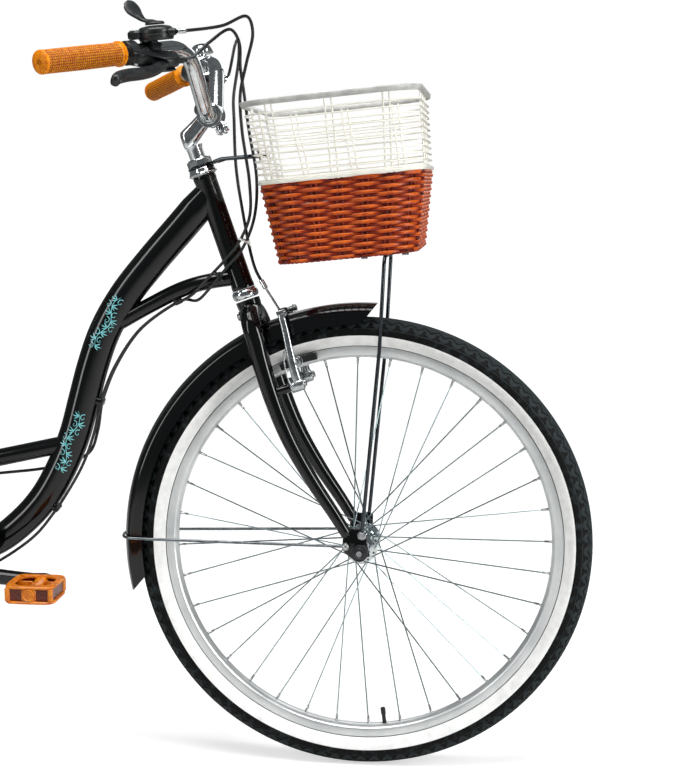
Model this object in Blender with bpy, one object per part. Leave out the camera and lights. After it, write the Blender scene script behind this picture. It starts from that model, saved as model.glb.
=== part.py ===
"""Step-through city bicycle with a front basket.

Frame of the part: +X is forwards, +Y is the rider's left, +Z is up. The ground
is Z = 0 and the origin lies on it, under the middle of the bicycle's length.
Lengths are in metres and angles in degrees until they are used.
"""
import math

import bmesh
import bpy
import numpy as np
from mathutils import Matrix, Vector

# Driving dimensions: frame geometry
wheel_radius = 0.3265
wheelbase = 1.053
bottom_bracket_drop = 0.0435
chain_stay_clearance = 0.1185
head_angle = 70.6
seat_angle = 70.5
fork_offset = 0.042
gap = 0.0003

# What the photograph's own bicycle measures. Places read off it are stored as they are there,
# and by_hub carries them along when the wheels, the fork or the wheelbase change.
photo_wheel_radius = 0.3265
photo_wheelbase = 1.053
photo_crown_height = 0.384
photo_crown_rise = 0.348
photo_brace_level = 0.620
photo_shell_level = 0.314

# Driving dimensions: wheels
tyre_half_width = 0.0235
tyre_height = 0.0410
rim_half_width = 0.0125
rim_depth = 0.0165
rim_wall = 0.0025
tyre_wall = 0.0035
spoke_radius = 0.0009
spokes_per_flange = 18
spoke_crossings = 3
hub_flange_radius = 0.0225
spoke_circle_radius = 0.019
flange_thickness = 0.0036
hub_barrel_radius = 0.0145
front_flange_offset = 0.033
rear_flange_offset = 0.031
front_hub_half = 0.0455
rear_hub_half = 0.0590
axle_radius = 0.0048
valve_radius = 0.0040
wheel_segments = 32
valve_angle = -83.0

# Driving dimensions: tubes and bearings
head_tube_radius = 0.0159
head_tube_bore = 0.0143
head_tube_length = 0.169
steerer_radius = 0.0127
steerer_bore = 0.0114
quill_radius = 0.0110
lower_cup_height = 0.0140
upper_cup_height = 0.0110
locknut_height = 0.0095
bracket_plate = 0.0024
cup_radius = 0.0188
main_tube_height = 0.0460
main_tube_width = 0.0350
brace_radius = 0.0112
cross_brace_radius = 0.0127
seat_tube_radius = 0.0143
seat_tube_rise = 0.1035
seat_post_radius = 0.0125
shell_radius = 0.0200
shell_half_width = 0.0350
shell_bore = 0.0100
crank_axle_radius = 0.0088
stay_radius = 0.0088
dropout_thickness = 0.0050
front_dropout_inner = 0.0500
rear_dropout_inner = 0.0650
front_axle_overhang = 0.0150
rear_axle_overhang = 0.0180

# Driving dimensions: fork
crown_clearance = 0.0370
blade_top_radius = 0.0138
blade_tip_radius = 0.0082
blade_spread = 0.0480

# Driving dimensions: handlebar and stem
stem_rise = 0.0515
stem_reach = 0.038
bar_radius = 0.0111
bar_rise = 0.085
bar_bend_half_width = 0.108
bar_half_width = 0.312
bar_sweep_back = 0.153
grip_length = 0.131
grip_radius = 0.0147

# Driving dimensions: drive train
crank_length = 0.170
chain_pitch = 0.0127
chainring_teeth = 40
sprocket_teeth = 18
chain_line = 0.0470
chain_half_height = 0.0042
chain_half_width = 0.0036
tooth_half_thickness = 0.0011
pedal_length = 0.070
pedal_width = 0.072
pedal_height = 0.026
crank_outer_face = 0.1050

# Driving dimensions: basket, in its own frame that leans back with the floor
basket_lean = 6.0
basket_rear_x = -0.110
basket_floor_z = 0.730
basket_height = 0.2145
basket_band_height = 0.1080
basket_floor = (0.096, 0.132, 0.0)
basket_band = (0.112, 0.152, 0.004)
basket_rim = (0.118, 0.166, 0.0005)
basket_corner = 0.048
basket_wall = 0.0050
basket_rod = 0.0042
basket_rows = 4

# Driving dimensions: fenders, stand and saddle
fender_clearance = 0.0205
fender_half_width = 0.0285
fender_sheet = 0.0014
wire_radius = 0.0021
basket_stay_radius = 0.0042
stand_reach = 0.0365
stand_tube_radius = 0.0075
stand_half_width = 0.1300
saddle_height = 0.640
spring_radius = 0.0130
spring_wire = 0.0021
spring_turns = 4
cable_radius = 0.0024

TAU = 2.0 * math.pi
UP = Vector((0.0, 0.0, 1.0))
LEFT = Vector((0.0, 1.0, 0.0))

# Sizes and places that follow from the driving dimensions
tyre_centre_radius = wheel_radius - tyre_half_width
rim_outer_radius = wheel_radius - tyre_height
fender_radius = wheel_radius + fender_clearance
stand_radius = wheel_radius + stand_reach
fork_crown_height = fender_radius + crown_clearance
rear_reach = fender_radius
half_length = (wheel_radius + wheelbase + rear_reach) / 2.0
front_hub = Vector((half_length - wheel_radius, 0.0, wheel_radius))
rear_hub = front_hub - Vector((wheelbase, 0.0, 0.0))
chain_stay_length = wheel_radius + chain_stay_clearance
seat_tube_length = wheel_radius + seat_tube_rise
stay_run = math.sqrt(chain_stay_length ** 2 - bottom_bracket_drop ** 2)
bottom_bracket = rear_hub + Vector((stay_run, 0.0, -bottom_bracket_drop))
steer_up = Vector((-math.cos(math.radians(head_angle)), 0.0, math.sin(math.radians(head_angle))))
steer_forward = Vector((steer_up.z, 0.0, -steer_up.x))
steer_foot = front_hub - fork_offset * steer_forward
seat_up = Vector((-math.cos(math.radians(seat_angle)), 0.0, math.sin(math.radians(seat_angle))))
seat_forward = Vector((seat_up.z, 0.0, -seat_up.x))
head_bottom = fork_crown_height + 0.002 + lower_cup_height
head_top = head_bottom + head_tube_length
bracket_height = head_top + upper_cup_height + gap
locknut_base = bracket_height + bracket_plate + gap
steerer_top = locknut_base + locknut_height
stem_height = steerer_top + stem_rise
boss_height = rim_outer_radius - 0.0355
fork_stretch = fork_crown_height / photo_crown_height


def by_hub(x, y, z):
    """A place read off the photograph: ahead of the front hub, left of it and above the ground.

    It rises with the fork crown, by its share of the crown's height, and the lower it lies on
    the frame the more it moves with the rear half."""
    climb = min(1.0, max(0.0, (z - photo_wheel_radius) / photo_crown_rise))
    rear = (photo_brace_level - z) / (photo_brace_level - photo_shell_level)
    rear = min(1.0, max(0.0, rear)) if x < 0.0 else 0.0
    place = front_hub + Vector((x, y, z - photo_wheel_radius))
    place.x -= rear * (wheelbase - photo_wheelbase)
    return place + climb * (fork_crown_height - photo_crown_height) * steer_up


def on_steerer(height, forward=0.0, left=0.0):
    """A point on the fork's own axes: up the steering axis, forwards of it and to its left."""
    return steer_foot + height * steer_up + forward * steer_forward + left * LEFT


def on_seat_tube(height, forward=0.0, left=0.0):
    """A point on the seat tube's own axes, counted from the bottom bracket."""
    return bottom_bracket + height * seat_up + forward * seat_forward + left * LEFT


# Geometry helpers. A shape is a pair: a list of points and a list of faces.


def join(*shapes):
    """Several shapes as one, without merging them."""
    points = []
    faces = []
    for shape_points, shape_faces in shapes:
        start = len(points)
        points += list(shape_points)
        faces += [[start + i for i in face] for face in shape_faces]
    return points, faces


def moved(shape, matrix):
    """The shape under a 4 x 4 matrix."""
    return [matrix @ Vector(p) for p in shape[0]], shape[1]


def axes(origin, along, aside=LEFT):
    """A matrix whose local Z is along, and whose local Y lies towards aside."""
    z = Vector(along).normalized()
    y = (Vector(aside) - z * z.dot(Vector(aside))).normalized()
    x = y.cross(z)
    matrix = Matrix((x, y, z)).transposed().to_4x4()
    matrix.translation = origin
    return matrix


def lathe(outline, sides, turn=0.0):
    """A solid turned about local Z from (radius, height) pairs; a radius of 0 closes an end."""
    points = []
    rows = []
    for radius, height in outline:
        count = 1 if radius == 0.0 else sides
        rows.append(list(range(len(points), len(points) + count)))
        for i in range(count):
            angle = turn + TAU * i / sides
            points.append(Vector((radius * math.cos(angle), radius * math.sin(angle), height)))
    return points, strips(rows, sides)


def strips(rows, sides):
    """Faces between neighbouring rows of points; a row of one point is a pole."""
    faces = []
    for low, high in zip(rows[:-1], rows[1:]):
        for i in range(sides):
            j = (i + 1) % sides
            if len(low) == 1:
                faces.append([low[0], high[j], high[i]])
            elif len(high) == 1:
                faces.append([low[i], low[j], high[0]])
            else:
                faces.append([low[i], low[j], high[j], high[i]])
    return faces


def turned(outline, sides, origin, along, aside=LEFT, turn=0.0):
    """A lathed solid whose axis starts at origin and points along a direction."""
    return moved(lathe(outline, sides, turn), axes(origin, along, aside))


def turned_ring(outline, sides, origin, along, aside=LEFT):
    """A ring turned from a closed outline that stays off its axis."""
    points, faces = turned(outline, sides, origin, along, aside)
    last = (len(outline) - 1) * sides
    faces += [[last + i, last + (i + 1) % sides, (i + 1) % sides, i] for i in range(sides)]
    return points, faces


def cylinder(start, end, radius, sides=12, aside=LEFT, turn=0.0):
    """A round bar between two points."""
    length = (end - start).length
    if abs((end - start).normalized().dot(Vector(aside))) > 0.99:
        aside = UP
    outline = [(0.0, 0.0), (radius, 0.0), (radius, length), (0.0, length)]
    return turned(outline, sides, start, end - start, aside, turn)


def tube_ring(start, end, outer, inner, sides=16):
    """A round tube open at both ends."""
    length = (end - start).length
    aside = UP if abs((end - start).normalized().dot(LEFT)) > 0.99 else LEFT
    outline = [(inner, 0.0), (outer, 0.0), (outer, length), (inner, length)]
    return turned_ring(outline, sides, start, end - start, aside)


def box(centre, size, matrix=None):
    """A box with its centre and full sizes, in a local frame if one is given."""
    half = [s / 2.0 for s in size]
    corners = [(x, y, z) for z in (-1, 1) for y in (-1, 1) for x in (-1, 1)]
    points = [Vector((centre[0] + a * half[0], centre[1] + b * half[1], centre[2] + c * half[2]))
              for a, b, c in corners]
    faces = [[0, 2, 3, 1], [4, 5, 7, 6], [0, 1, 5, 4], [2, 6, 7, 3], [0, 4, 6, 2], [1, 3, 7, 5]]
    return moved((points, faces), matrix) if matrix else (points, faces)


def loft(sections, closed=False):
    """A solid skinned over sections of equal point counts, with flat ends unless closed."""
    sides = len(sections[0])
    points = [Vector(p) for section in sections for p in section]
    rows = [list(range(k * sides, (k + 1) * sides)) for k in range(len(sections))]
    faces = strips(rows + rows[:1], sides) if closed else strips(rows, sides)
    if not closed:
        faces += [rows[0][::-1], rows[-1]]
    return points, faces


def plate(outline, thickness, matrix, hole=None):
    """A flat plate: an outline in local X and Y, thick about local Z, with one hole if given."""
    low = [Vector((x, y, -thickness / 2.0)) for x, y in outline]
    high = [Vector((x, y, thickness / 2.0)) for x, y in outline]
    if hole is None:
        return moved(loft([low, high]), matrix)
    inner_low = [Vector((x, y, -thickness / 2.0)) for x, y in hole]
    inner_high = [Vector((x, y, thickness / 2.0)) for x, y in hole]
    return moved(loft([low, high, inner_high, inner_low], closed=True), matrix)


def frames_along(path, closed=False, aside=None):
    """A (normal, binormal) pair at each point; aside keeps the binormal in one direction."""
    count = len(path)
    tangents = []
    for i in range(count):
        before = path[i - 1] if closed or i > 0 else path[i]
        after = path[(i + 1) % count] if closed or i < count - 1 else path[i]
        tangents.append((after - before).normalized())
    pairs = []
    binormal = aside if aside else tangents[0].orthogonal()
    for tangent in tangents:
        binormal = (binormal - tangent * tangent.dot(binormal)).normalized()
        pairs.append((binormal.cross(tangent), binormal))
        if aside:
            binormal = aside
    return pairs


def sweep(path, section, closed=False, aside=None, scale=None):
    """A section of (normal, binormal) offsets carried along a path, scaled point by point."""
    rings = []
    for i, (normal, binormal) in enumerate(frames_along(path, closed, aside)):
        a, b = scale[i] if scale else (1.0, 1.0)
        rings.append([path[i] + normal * (u * a) + binormal * (v * b) for u, v in section])
    return loft(rings, closed)


def circle(sides, radius=1.0, turn=0.0):
    """Points of a regular polygon."""
    return [(radius * math.cos(turn + TAU * i / sides), radius * math.sin(turn + TAU * i / sides))
            for i in range(sides)]


def rod(path, radius, sides=8, closed=False, aside=None, radii=None):
    """A round bar along a path, of one radius or one for each point."""
    scale = [(r, r) for r in radii] if radii else None
    return sweep(path, circle(sides, 1.0 if radii else radius), closed, aside, scale)


def smooth(points, count, pins=(), bend_reach=0.0):
    """A smooth curve through hand-chosen points, read at evenly spaced places.

    The places close up in bends when a bend reach is given, and the points whose numbers are
    pinned are kept as they stand."""
    table = np.array([tuple(p) for p in points])
    steps = np.linalg.norm(np.diff(table, axis=0), axis=1) ** 0.5
    knots = np.concatenate([[0.0], np.cumsum(steps)])
    ends = (2 * table[0] - table[1], 2 * table[-1] - table[-2])
    table = np.vstack([ends[0], table, ends[1]])
    knots = np.concatenate([[-steps[0]], knots, [knots[-1] + steps[-1]]])
    dense = []
    for k in range(1, len(table) - 2):
        t = np.linspace(knots[k], knots[k + 1], 24, endpoint=k == len(table) - 3)[:, None]
        line = [((knots[k + i] - t) * table[k + i - 1] + (t - knots[k + i - 1]) * table[k + i])
                / (knots[k + i] - knots[k + i - 1]) for i in range(3)]
        bend = [((knots[k + i + 1] - t) * line[i] + (t - knots[k + i - 1]) * line[i + 1])
                / (knots[k + i + 1] - knots[k + i - 1]) for i in range(2)]
        dense.append(((knots[k + 1] - t) * bend[0] + (t - knots[k]) * bend[1])
                     / (knots[k + 1] - knots[k]))
    dense = np.vstack(dense)
    runs = np.diff(dense, axis=0)
    lengths = np.linalg.norm(runs, axis=1)
    ways = runs / lengths[:, None]
    turns = np.arccos(np.clip((ways[1:] * ways[:-1]).sum(1), -1.0, 1.0))
    weights = lengths + bend_reach * np.concatenate([[0.0], turns])
    measure = np.concatenate([[0.0], np.cumsum(weights)])
    places = np.linspace(0.0, measure[-1], count)
    if pins:
        fixed = np.array([measure[min(24 * k, len(dense) - 1)] for k in pins])
        clear = np.abs(places[:, None] - fixed[None, :]).min(1) > 0.45 * places[1]
        places = np.sort(np.concatenate([places[clear], fixed]))
    return [Vector([np.interp(s, measure, dense[:, k]) for k in range(3)]) for s in places]


def rounded(points, radii, steps=4):
    """A line of straight runs whose corners are turned into arcs."""
    path = [points[0]]
    for i in range(1, len(points) - 1):
        back = (points[i - 1] - points[i]).normalized()
        ahead = (points[i + 1] - points[i]).normalized()
        half = back.angle(ahead) / 2.0
        radius = radii[i - 1]
        centre = points[i] + (back + ahead).normalized() * (radius / math.sin(half))
        start = points[i] + back * (radius / math.tan(half))
        end = points[i] + ahead * (radius / math.tan(half))
        arm = start - centre
        axis = arm.cross(end - centre).normalized()
        span = arm.angle(end - centre)
        for k in range(steps + 1):
            path.append(centre + Matrix.Rotation(span * k / steps, 3, axis) @ arm)
    return path + [points[-1]]


# Objects


def material(name, colour, roughness, metallic=0.0):
    """A Principled material of one colour, shared by every piece that uses its name."""
    found = bpy.data.materials.get(name)
    if found:
        return found
    made = bpy.data.materials.new(name)
    made.use_nodes = True
    shader = made.node_tree.nodes["Principled BSDF"]
    shader.inputs["Base Color"].default_value = (*colour, 1.0)
    shader.inputs["Roughness"].default_value = roughness
    shader.inputs["Metallic"].default_value = metallic
    made.diffuse_color = (*colour, 1.0)
    return made


def paint():
    return material("gloss_black_paint", (0.008, 0.009, 0.010), 0.18)


def chrome():
    return material("chrome", (0.78, 0.80, 0.82), 0.12, 1.0)


def alloy():
    return material("alloy", (0.56, 0.58, 0.60), 0.32, 1.0)


def dark_steel():
    return material("dark_steel", (0.10, 0.105, 0.11), 0.35, 1.0)


def black_plastic():
    return material("black_plastic", (0.014, 0.015, 0.016), 0.42)


def black_rubber():
    return material("black_rubber", (0.012, 0.014, 0.015), 0.75)


def brown_rubber():
    return material("brown_rubber", (0.50, 0.13, 0.012), 0.55)


def brown_resin():
    return material("brown_resin", (0.52, 0.15, 0.015), 0.40)


def brown_leather():
    return material("brown_leather", (0.26, 0.075, 0.018), 0.50)


def cream_wire():
    return material("cream_wire", (0.86, 0.83, 0.72), 0.38)


def rattan():
    return material("rattan", (0.36, 0.08, 0.02), 0.60)


def mesh_of(shape, name):
    """A closed mesh with its faces pointing out."""
    mesh = bpy.data.meshes.new(name)
    mesh.from_pydata([tuple(p) for p in shape[0]], [], shape[1])
    work = bmesh.new()
    work.from_mesh(mesh)
    bmesh.ops.recalc_face_normals(work, faces=work.faces)
    work.to_mesh(mesh)
    work.free()
    return mesh


def is_closed(mesh):
    """Whether every edge of the triangulated mesh lies between exactly two faces."""
    mesh.calc_loop_triangles()
    corners = np.array([tuple(face.vertices) for face in mesh.loop_triangles])
    edges = np.sort(np.concatenate([corners[:, [0, 1]], corners[:, [1, 2]], corners[:, [2, 0]]]))
    return bool((np.unique(edges, axis=0, return_counts=True)[1] == 2).all())


def carved(name, first, added, cut, solver):
    """The Boolean result of one solver, read off a temporary object."""
    body = bpy.data.objects.new(name, mesh_of(first, name))
    bpy.context.collection.objects.link(body)
    tools = []
    for operation, shapes in (("UNION", added), ("DIFFERENCE", cut)):
        for shape in shapes:
            tool = bpy.data.objects.new("tool", mesh_of(shape, "tool"))
            bpy.context.collection.objects.link(tool)
            step = body.modifiers.new(operation.lower(), "BOOLEAN")
            step.operation = operation
            step.solver = solver
            step.object = tool
            tools.append(tool)
    view = bpy.context.evaluated_depsgraph_get()
    view.update()
    mesh = bpy.data.meshes.new_from_object(body.evaluated_get(view))
    for leftover in [body, *tools]:
        old = leftover.data
        bpy.data.objects.remove(leftover)
        bpy.data.meshes.remove(old)
    return mesh


def combined(name, first, added=(), cut=()):
    """One solid: the first shape, the added shapes united with it, the cut shapes taken away."""
    mesh = carved(name, first, added, cut, "EXACT")
    if not is_closed(mesh):
        mesh = carved(name, first, added, cut, "MANIFOLD")
    return mesh


pivots = {}


def pivot(body, place=(0.0, 0.0, 0.0), axis=None):
    """The empty that carries a body's pieces, on its joint's axis."""
    if body not in pivots:
        empty = bpy.data.objects.new("pivot_" + body, None)
        empty.location = place
        if axis:
            empty.rotation_mode = "QUATERNION"
            empty.rotation_quaternion = Vector(axis).to_track_quat("Z", "Y")
        empty.empty_display_size = 0.05
        bpy.context.collection.objects.link(empty)
        pivots[body] = empty
    return pivots[body]


def place_piece(name, body, mesh, look, smooth_angle=40.0):
    """Link a finished mesh, modelled where it stands, under its body's pivot."""
    carrier = pivots[body]
    rotation = carrier.rotation_quaternion.to_matrix().to_4x4()
    stand = Matrix.Translation(carrier.location) @ rotation
    mesh.transform(stand.inverted())
    mesh.name = name
    mesh.materials.clear()
    mesh.materials.append(look)
    mesh.shade_smooth()
    mesh.set_sharp_from_angle(angle=math.radians(smooth_angle))
    piece = bpy.data.objects.new(name, mesh)
    piece.parent = carrier
    bpy.context.collection.objects.link(piece)
    return piece


def piece(name, body, first, look, added=(), cut=(), smooth_angle=40.0):
    """Build, combine and place one sub-part."""
    mesh = combined(name, first, added, cut) if added or cut else mesh_of(first, name)
    return place_piece(name, body, mesh, look, smooth_angle)


def wire(name, body, path, radius, look):
    """A round wire along a path, as one curve with filled ends."""
    carrier = pivots[body]
    rotation = carrier.rotation_quaternion.to_matrix().to_4x4()
    back = (Matrix.Translation(carrier.location) @ rotation).inverted()
    curve = bpy.data.curves.new(name, "CURVE")
    curve.dimensions = "3D"
    curve.bevel_depth = radius
    curve.bevel_resolution = 1
    curve.use_fill_caps = True
    line = curve.splines.new("POLY")
    line.points.add(len(path) - 1)
    for spot, place in zip(line.points, path):
        spot.co = (*(back @ place), 1.0)
    line.use_smooth = True
    curve.materials.append(look)
    made = bpy.data.objects.new(name, curve)
    made.parent = carrier
    bpy.context.collection.objects.link(made)
    return made


def cable(name, body, route, count, look):
    """A cable housing that the bicycle holds all the way.

    The route is a list of points, and of pairs of points between which it runs straight
    through a guide or a barrel."""
    points = []
    pins = []
    for stop in route:
        if isinstance(stop, tuple):
            pins += [len(points), len(points) + 1]
            points += list(stop)
        else:
            points.append(stop)
    pins += [0, len(points) - 1]
    return wire(name, body, smooth(points, count, sorted(set(pins)), 0.06), cable_radius, look)


# Wheels


def ring_about(hub, outline, segments):
    """A closed ring turned about a hub from (radius, sideways) pairs, a corner at the bottom."""
    sections = []
    for k in range(segments):
        angle = TAU * k / segments - math.pi / 2.0
        sections.append([hub + Vector((r * math.cos(angle), y, r * math.sin(angle)))
                         for r, y in outline])
    return loft(sections, closed=True)


def tyre_outline():
    """The tyre's open section: bulging outside, its inside, and beads held in the rim."""
    bead = rim_half_width - rim_wall - 0.0012
    low = rim_outer_radius - 0.0065
    half = [(low, bead), (rim_outer_radius + 0.0012, bead + 0.0010),
            (rim_outer_radius + 0.0080, 0.0190), (tyre_centre_radius, tyre_half_width),
            (tyre_centre_radius + 0.0145, 0.0178)]
    inside = [(tyre_centre_radius + 0.0165, 0.0), (tyre_centre_radius, tyre_half_width - tyre_wall),
              (rim_outer_radius + 0.0020, bead - 0.0022), (low, bead - 0.0030)]
    outer = half + [(wheel_radius, 0.0)] + [(r, -y) for r, y in reversed(half)]
    return outer + [(r, -y) for r, y in reversed(inside[1:])] + inside


def rim_outline():
    """A box-section alloy rim: brake tracks, sloping bed and the channel for the tyre."""
    out = rim_outer_radius
    half = [(out, rim_half_width), (out - 0.0115, rim_half_width), (out - rim_depth, 0.0060)]
    lip = (out - 0.0004, rim_half_width - 0.0012)
    floor = (out - 0.0090, rim_half_width - rim_wall)
    channel = [floor, lip]
    return half + [(r, -y) for r, y in reversed(half)] + [(r, -y) for r, y in reversed(channel)] \
        + channel


def spoke_shapes(hub, flange_offset):
    """Thirty-six tangent spokes in three-cross lacing, from hub flange to just inside the rim."""
    shapes = []
    hole_step = TAU / spokes_per_flange
    reach = spoke_crossings * hole_step
    bed_radius = (rim_outer_radius - rim_depth) * math.cos(math.pi / wheel_segments)
    end_radius = bed_radius - 2.0 * gap
    for side in (-1.0, 1.0):
        twist = math.radians(valve_angle) + hole_step * (0.25 if side < 0 else 0.75)
        for k in range(spokes_per_flange):
            leading = k % 2 == 0
            at_hub = k * hole_step + twist
            at_rim = at_hub + (reach if leading else -reach)
            face = 0.0016 if leading else -0.0016
            start = Vector((spoke_circle_radius * math.cos(at_hub), side * (flange_offset + face),
                            spoke_circle_radius * math.sin(at_hub)))
            end = Vector((end_radius * math.cos(at_rim), side * 0.0010,
                          end_radius * math.sin(at_rim)))
            shapes.append(rod([hub + start, hub + end], spoke_radius * 1.2, 3))
    return join(*shapes)


def hub_outline(left, right, flange, barrel):
    """A hub shell's outline along its axle, from its right end to its left end."""
    lip = flange_thickness / 2.0
    bore = axle_radius + gap
    shape = []
    for sign, end in ((-1.0, right), (1.0, left)):
        half = [(bore, end), (0.0115, end), (0.0125, flange + 0.0050),
                (hub_flange_radius, flange + lip), (hub_flange_radius, flange - lip),
                (barrel, flange - 0.0060)]
        half = [(r, sign * h) for r, h in half]
        shape += half if sign < 0 else reversed(half)
    return shape


def hub_and_spokes(hub, left, right, flange, barrel):
    """The hub shell, bored for its axle, and its spokes."""
    outline = hub_outline(left, right, flange, barrel)
    return turned_ring(outline, 12, hub, LEFT, Vector((0.3, 0.0, 1.0))), spoke_shapes(hub, flange)


def wheel(name, hub, left, right, flange, barrel):
    """One wheel: tyre, inner tube with its valve, rim, and hub with spokes."""
    body = name + "_wheel"
    pivot(body, hub, LEFT)
    piece(name + "_tyre", body, ring_about(hub, tyre_outline(), wheel_segments), black_rubber())
    angle = math.radians(valve_angle)
    ray = Vector((math.cos(angle), 0.0, math.sin(angle)))
    tube = ring_about(hub, [(tyre_centre_radius - 0.002 + a, b) for a, b in circle(5, 0.0105)], 18)
    valve = cylinder(hub + ray * (tyre_centre_radius - 0.008), hub + ray * (rim_outer_radius - 0.042),
                     valve_radius - 0.0008, 8)
    piece(name + "_inner_tube", body, tube, black_rubber(), added=[valve])
    rim = ring_about(hub, rim_outline(), wheel_segments)
    hole = cylinder(hub + ray * (rim_outer_radius - 0.030), hub + ray * rim_outer_radius,
                    valve_radius, 8)
    piece(name + "_rim", body, rim, alloy(), cut=[hole])
    shell, spokes = hub_and_spokes(hub, left, right, flange, barrel)
    piece(name + "_hub_and_spokes", body, shell, chrome(), added=[spokes])


# Frame


def main_tube_path(count=20):
    """The step-through tube's centre line, from the head tube down and back to the shell."""
    return smooth([by_hub(-0.2205, 0, 0.8245), by_hub(-0.2607, 0, 0.7780), by_hub(-0.3047, 0, 0.7280),
                   by_hub(-0.3440, 0, 0.6790), by_hub(-0.3735, 0, 0.6290), by_hub(-0.3920, 0, 0.5800),
                   by_hub(-0.4065, 0, 0.5290), by_hub(-0.4215, 0, 0.4760), by_hub(-0.4420, 0, 0.4270),
                   by_hub(-0.4700, 0, 0.3800), by_hub(-0.5040, 0, 0.3430), by_hub(-0.5430, 0, 0.3140),
                   bottom_bracket + Vector((-0.004, 0, 0.004))], count)


def main_tube(height, width, count=16, last=16):
    """The tube's solid, oval in section and drawn in where it meets the head tube."""
    path = main_tube_path(count)
    scale = []
    for i in range(count):
        along = i / (count - 1)
        neck = min(1.0, 0.86 + along * 3.0)
        tail = 1.0 - 0.13 * max(0.0, (along - 0.6) / 0.4)
        scale.append((height / 2.0 * neck * tail, width / 2.0 * neck))
    return sweep(path[:last], circle(12), aside=LEFT, scale=scale[:last])


def head_tube(outer):
    return cylinder(on_steerer(head_bottom), on_steerer(head_top), outer, 16)


def seat_tube_solid(outer, start=0.0, extra=0.0):
    return cylinder(on_seat_tube(start), on_seat_tube(seat_tube_length + extra), outer, 14)


def shell_solid(outer, half):
    return cylinder(bottom_bracket - half * LEFT, bottom_bracket + half * LEFT, outer, 16)


def cable_guide(place, along, out, spread, height):
    """A small brazed-on guide, bored for two cable housings."""
    matrix = frame_matrix(place - out * height / 4.0, along, LEFT, along.cross(LEFT))
    block = box((0, 0, 0), (0.011, 2.0 * spread + 0.0090, height), matrix)
    holes = []
    for side in (-spread, spread):
        centre = place + side * LEFT + out * 0.0006
        holes.append(cylinder(centre - along * 0.02, centre + along * 0.02, cable_radius * 1.16 + gap, 6))
    return block, holes


def brace_path():
    """The thin lower brace, from the head tube back to the main tube."""
    return smooth([on_steerer(head_bottom + 0.018), by_hub(-0.2250, 0, 0.6995),
                   by_hub(-0.2620, 0, 0.6880), by_hub(-0.3100, 0, 0.6640),
                   by_hub(-0.3560, 0, 0.6380)], 7)


def guide_places():
    """The three cable guides: centre, direction of the run and direction outwards."""
    places = []
    for path, index, off in ((brace_path(), 3, brace_radius + 0.0030),
                             (main_tube_path(60), 30, main_tube_height / 2.0 + 0.0025),
                             (main_tube_path(60), 44, main_tube_height / 2.0 + 0.0015)):
        along = (path[index + 1] - path[index - 1]).normalized()
        out = along.cross(LEFT)
        places.append((path[index] + out * off, along, out))
    return places


def frame_pieces():
    """The welded frame, as its tube groups."""
    pivot("frame")
    spreads = (0.0031, 0.0052, 0.0052)
    guides = [cable_guide(*place, spread, 0.0150) for place, spread in zip(guide_places(), spreads)]
    brace = rod(brace_path(), brace_radius, 8, aside=LEFT)
    bore = cylinder(on_steerer(head_bottom - 0.01), on_steerer(head_top + 0.01), head_tube_bore, 16)
    cuts = [bore, shell_solid(shell_radius + gap, 0.06), seat_tube_solid(seat_tube_radius + gap)]
    for block, holes in guides:
        cuts += holes
    piece("frame_main_tube", "frame", head_tube(head_tube_radius), paint(),
          added=[main_tube(main_tube_height, main_tube_width), brace] + [g[0] for g in guides],
          cut=cuts)
    seat_bore = cylinder(on_seat_tube(0.060), on_seat_tube(seat_tube_length + 0.01),
                         seat_post_radius + gap, 14)
    cross = cylinder(by_hub(-0.4150, 0, 0.4660), on_seat_tube(0.137), cross_brace_radius, 10)
    piece("frame_seat_tube", "frame", shell_solid(shell_radius, shell_half_width), paint(),
          added=[seat_tube_solid(seat_tube_radius, 0.006), cross],
          cut=[seat_bore, shell_solid(shell_bore, 0.06),
               main_tube(main_tube_height + 2 * gap, main_tube_width + 2 * gap, last=12)])
    stay_pieces()


def chain_stay_path(side):
    end = rear_dropout_inner + dropout_thickness / 2.0
    return smooth([bottom_bracket + Vector((-0.010, side * 0.024, 0.002)),
                   bottom_bracket + Vector((-0.060, side * 0.0310, 0.007)),
                   bottom_bracket + Vector((-0.130, side * 0.0400, 0.014)),
                   bottom_bracket + Vector((-0.260, side * 0.0520, 0.027)),
                   rear_hub + Vector((0.022, side * end, -0.002))], 6)


def seat_stay_direction():
    return (on_seat_tube(seat_tube_length - 0.030) - rear_hub).normalized()


def seat_stay_path(side):
    end = rear_dropout_inner + dropout_thickness / 2.0
    along = seat_stay_direction()
    return smooth([rear_hub + along * 0.018 + Vector((0.0, side * end, 0.0)),
                   rear_hub + along * 0.120 + Vector((0.0, side * 0.0560, 0.0)),
                   rear_hub + along * 0.290 + Vector((0.0, side * 0.0470, 0.0)),
                   rear_hub + along * 0.370 + Vector((0.0, side * 0.0390, 0.0)),
                   on_seat_tube(seat_tube_length - 0.030, 0.0, side * 0.0190)], 7)


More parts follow.
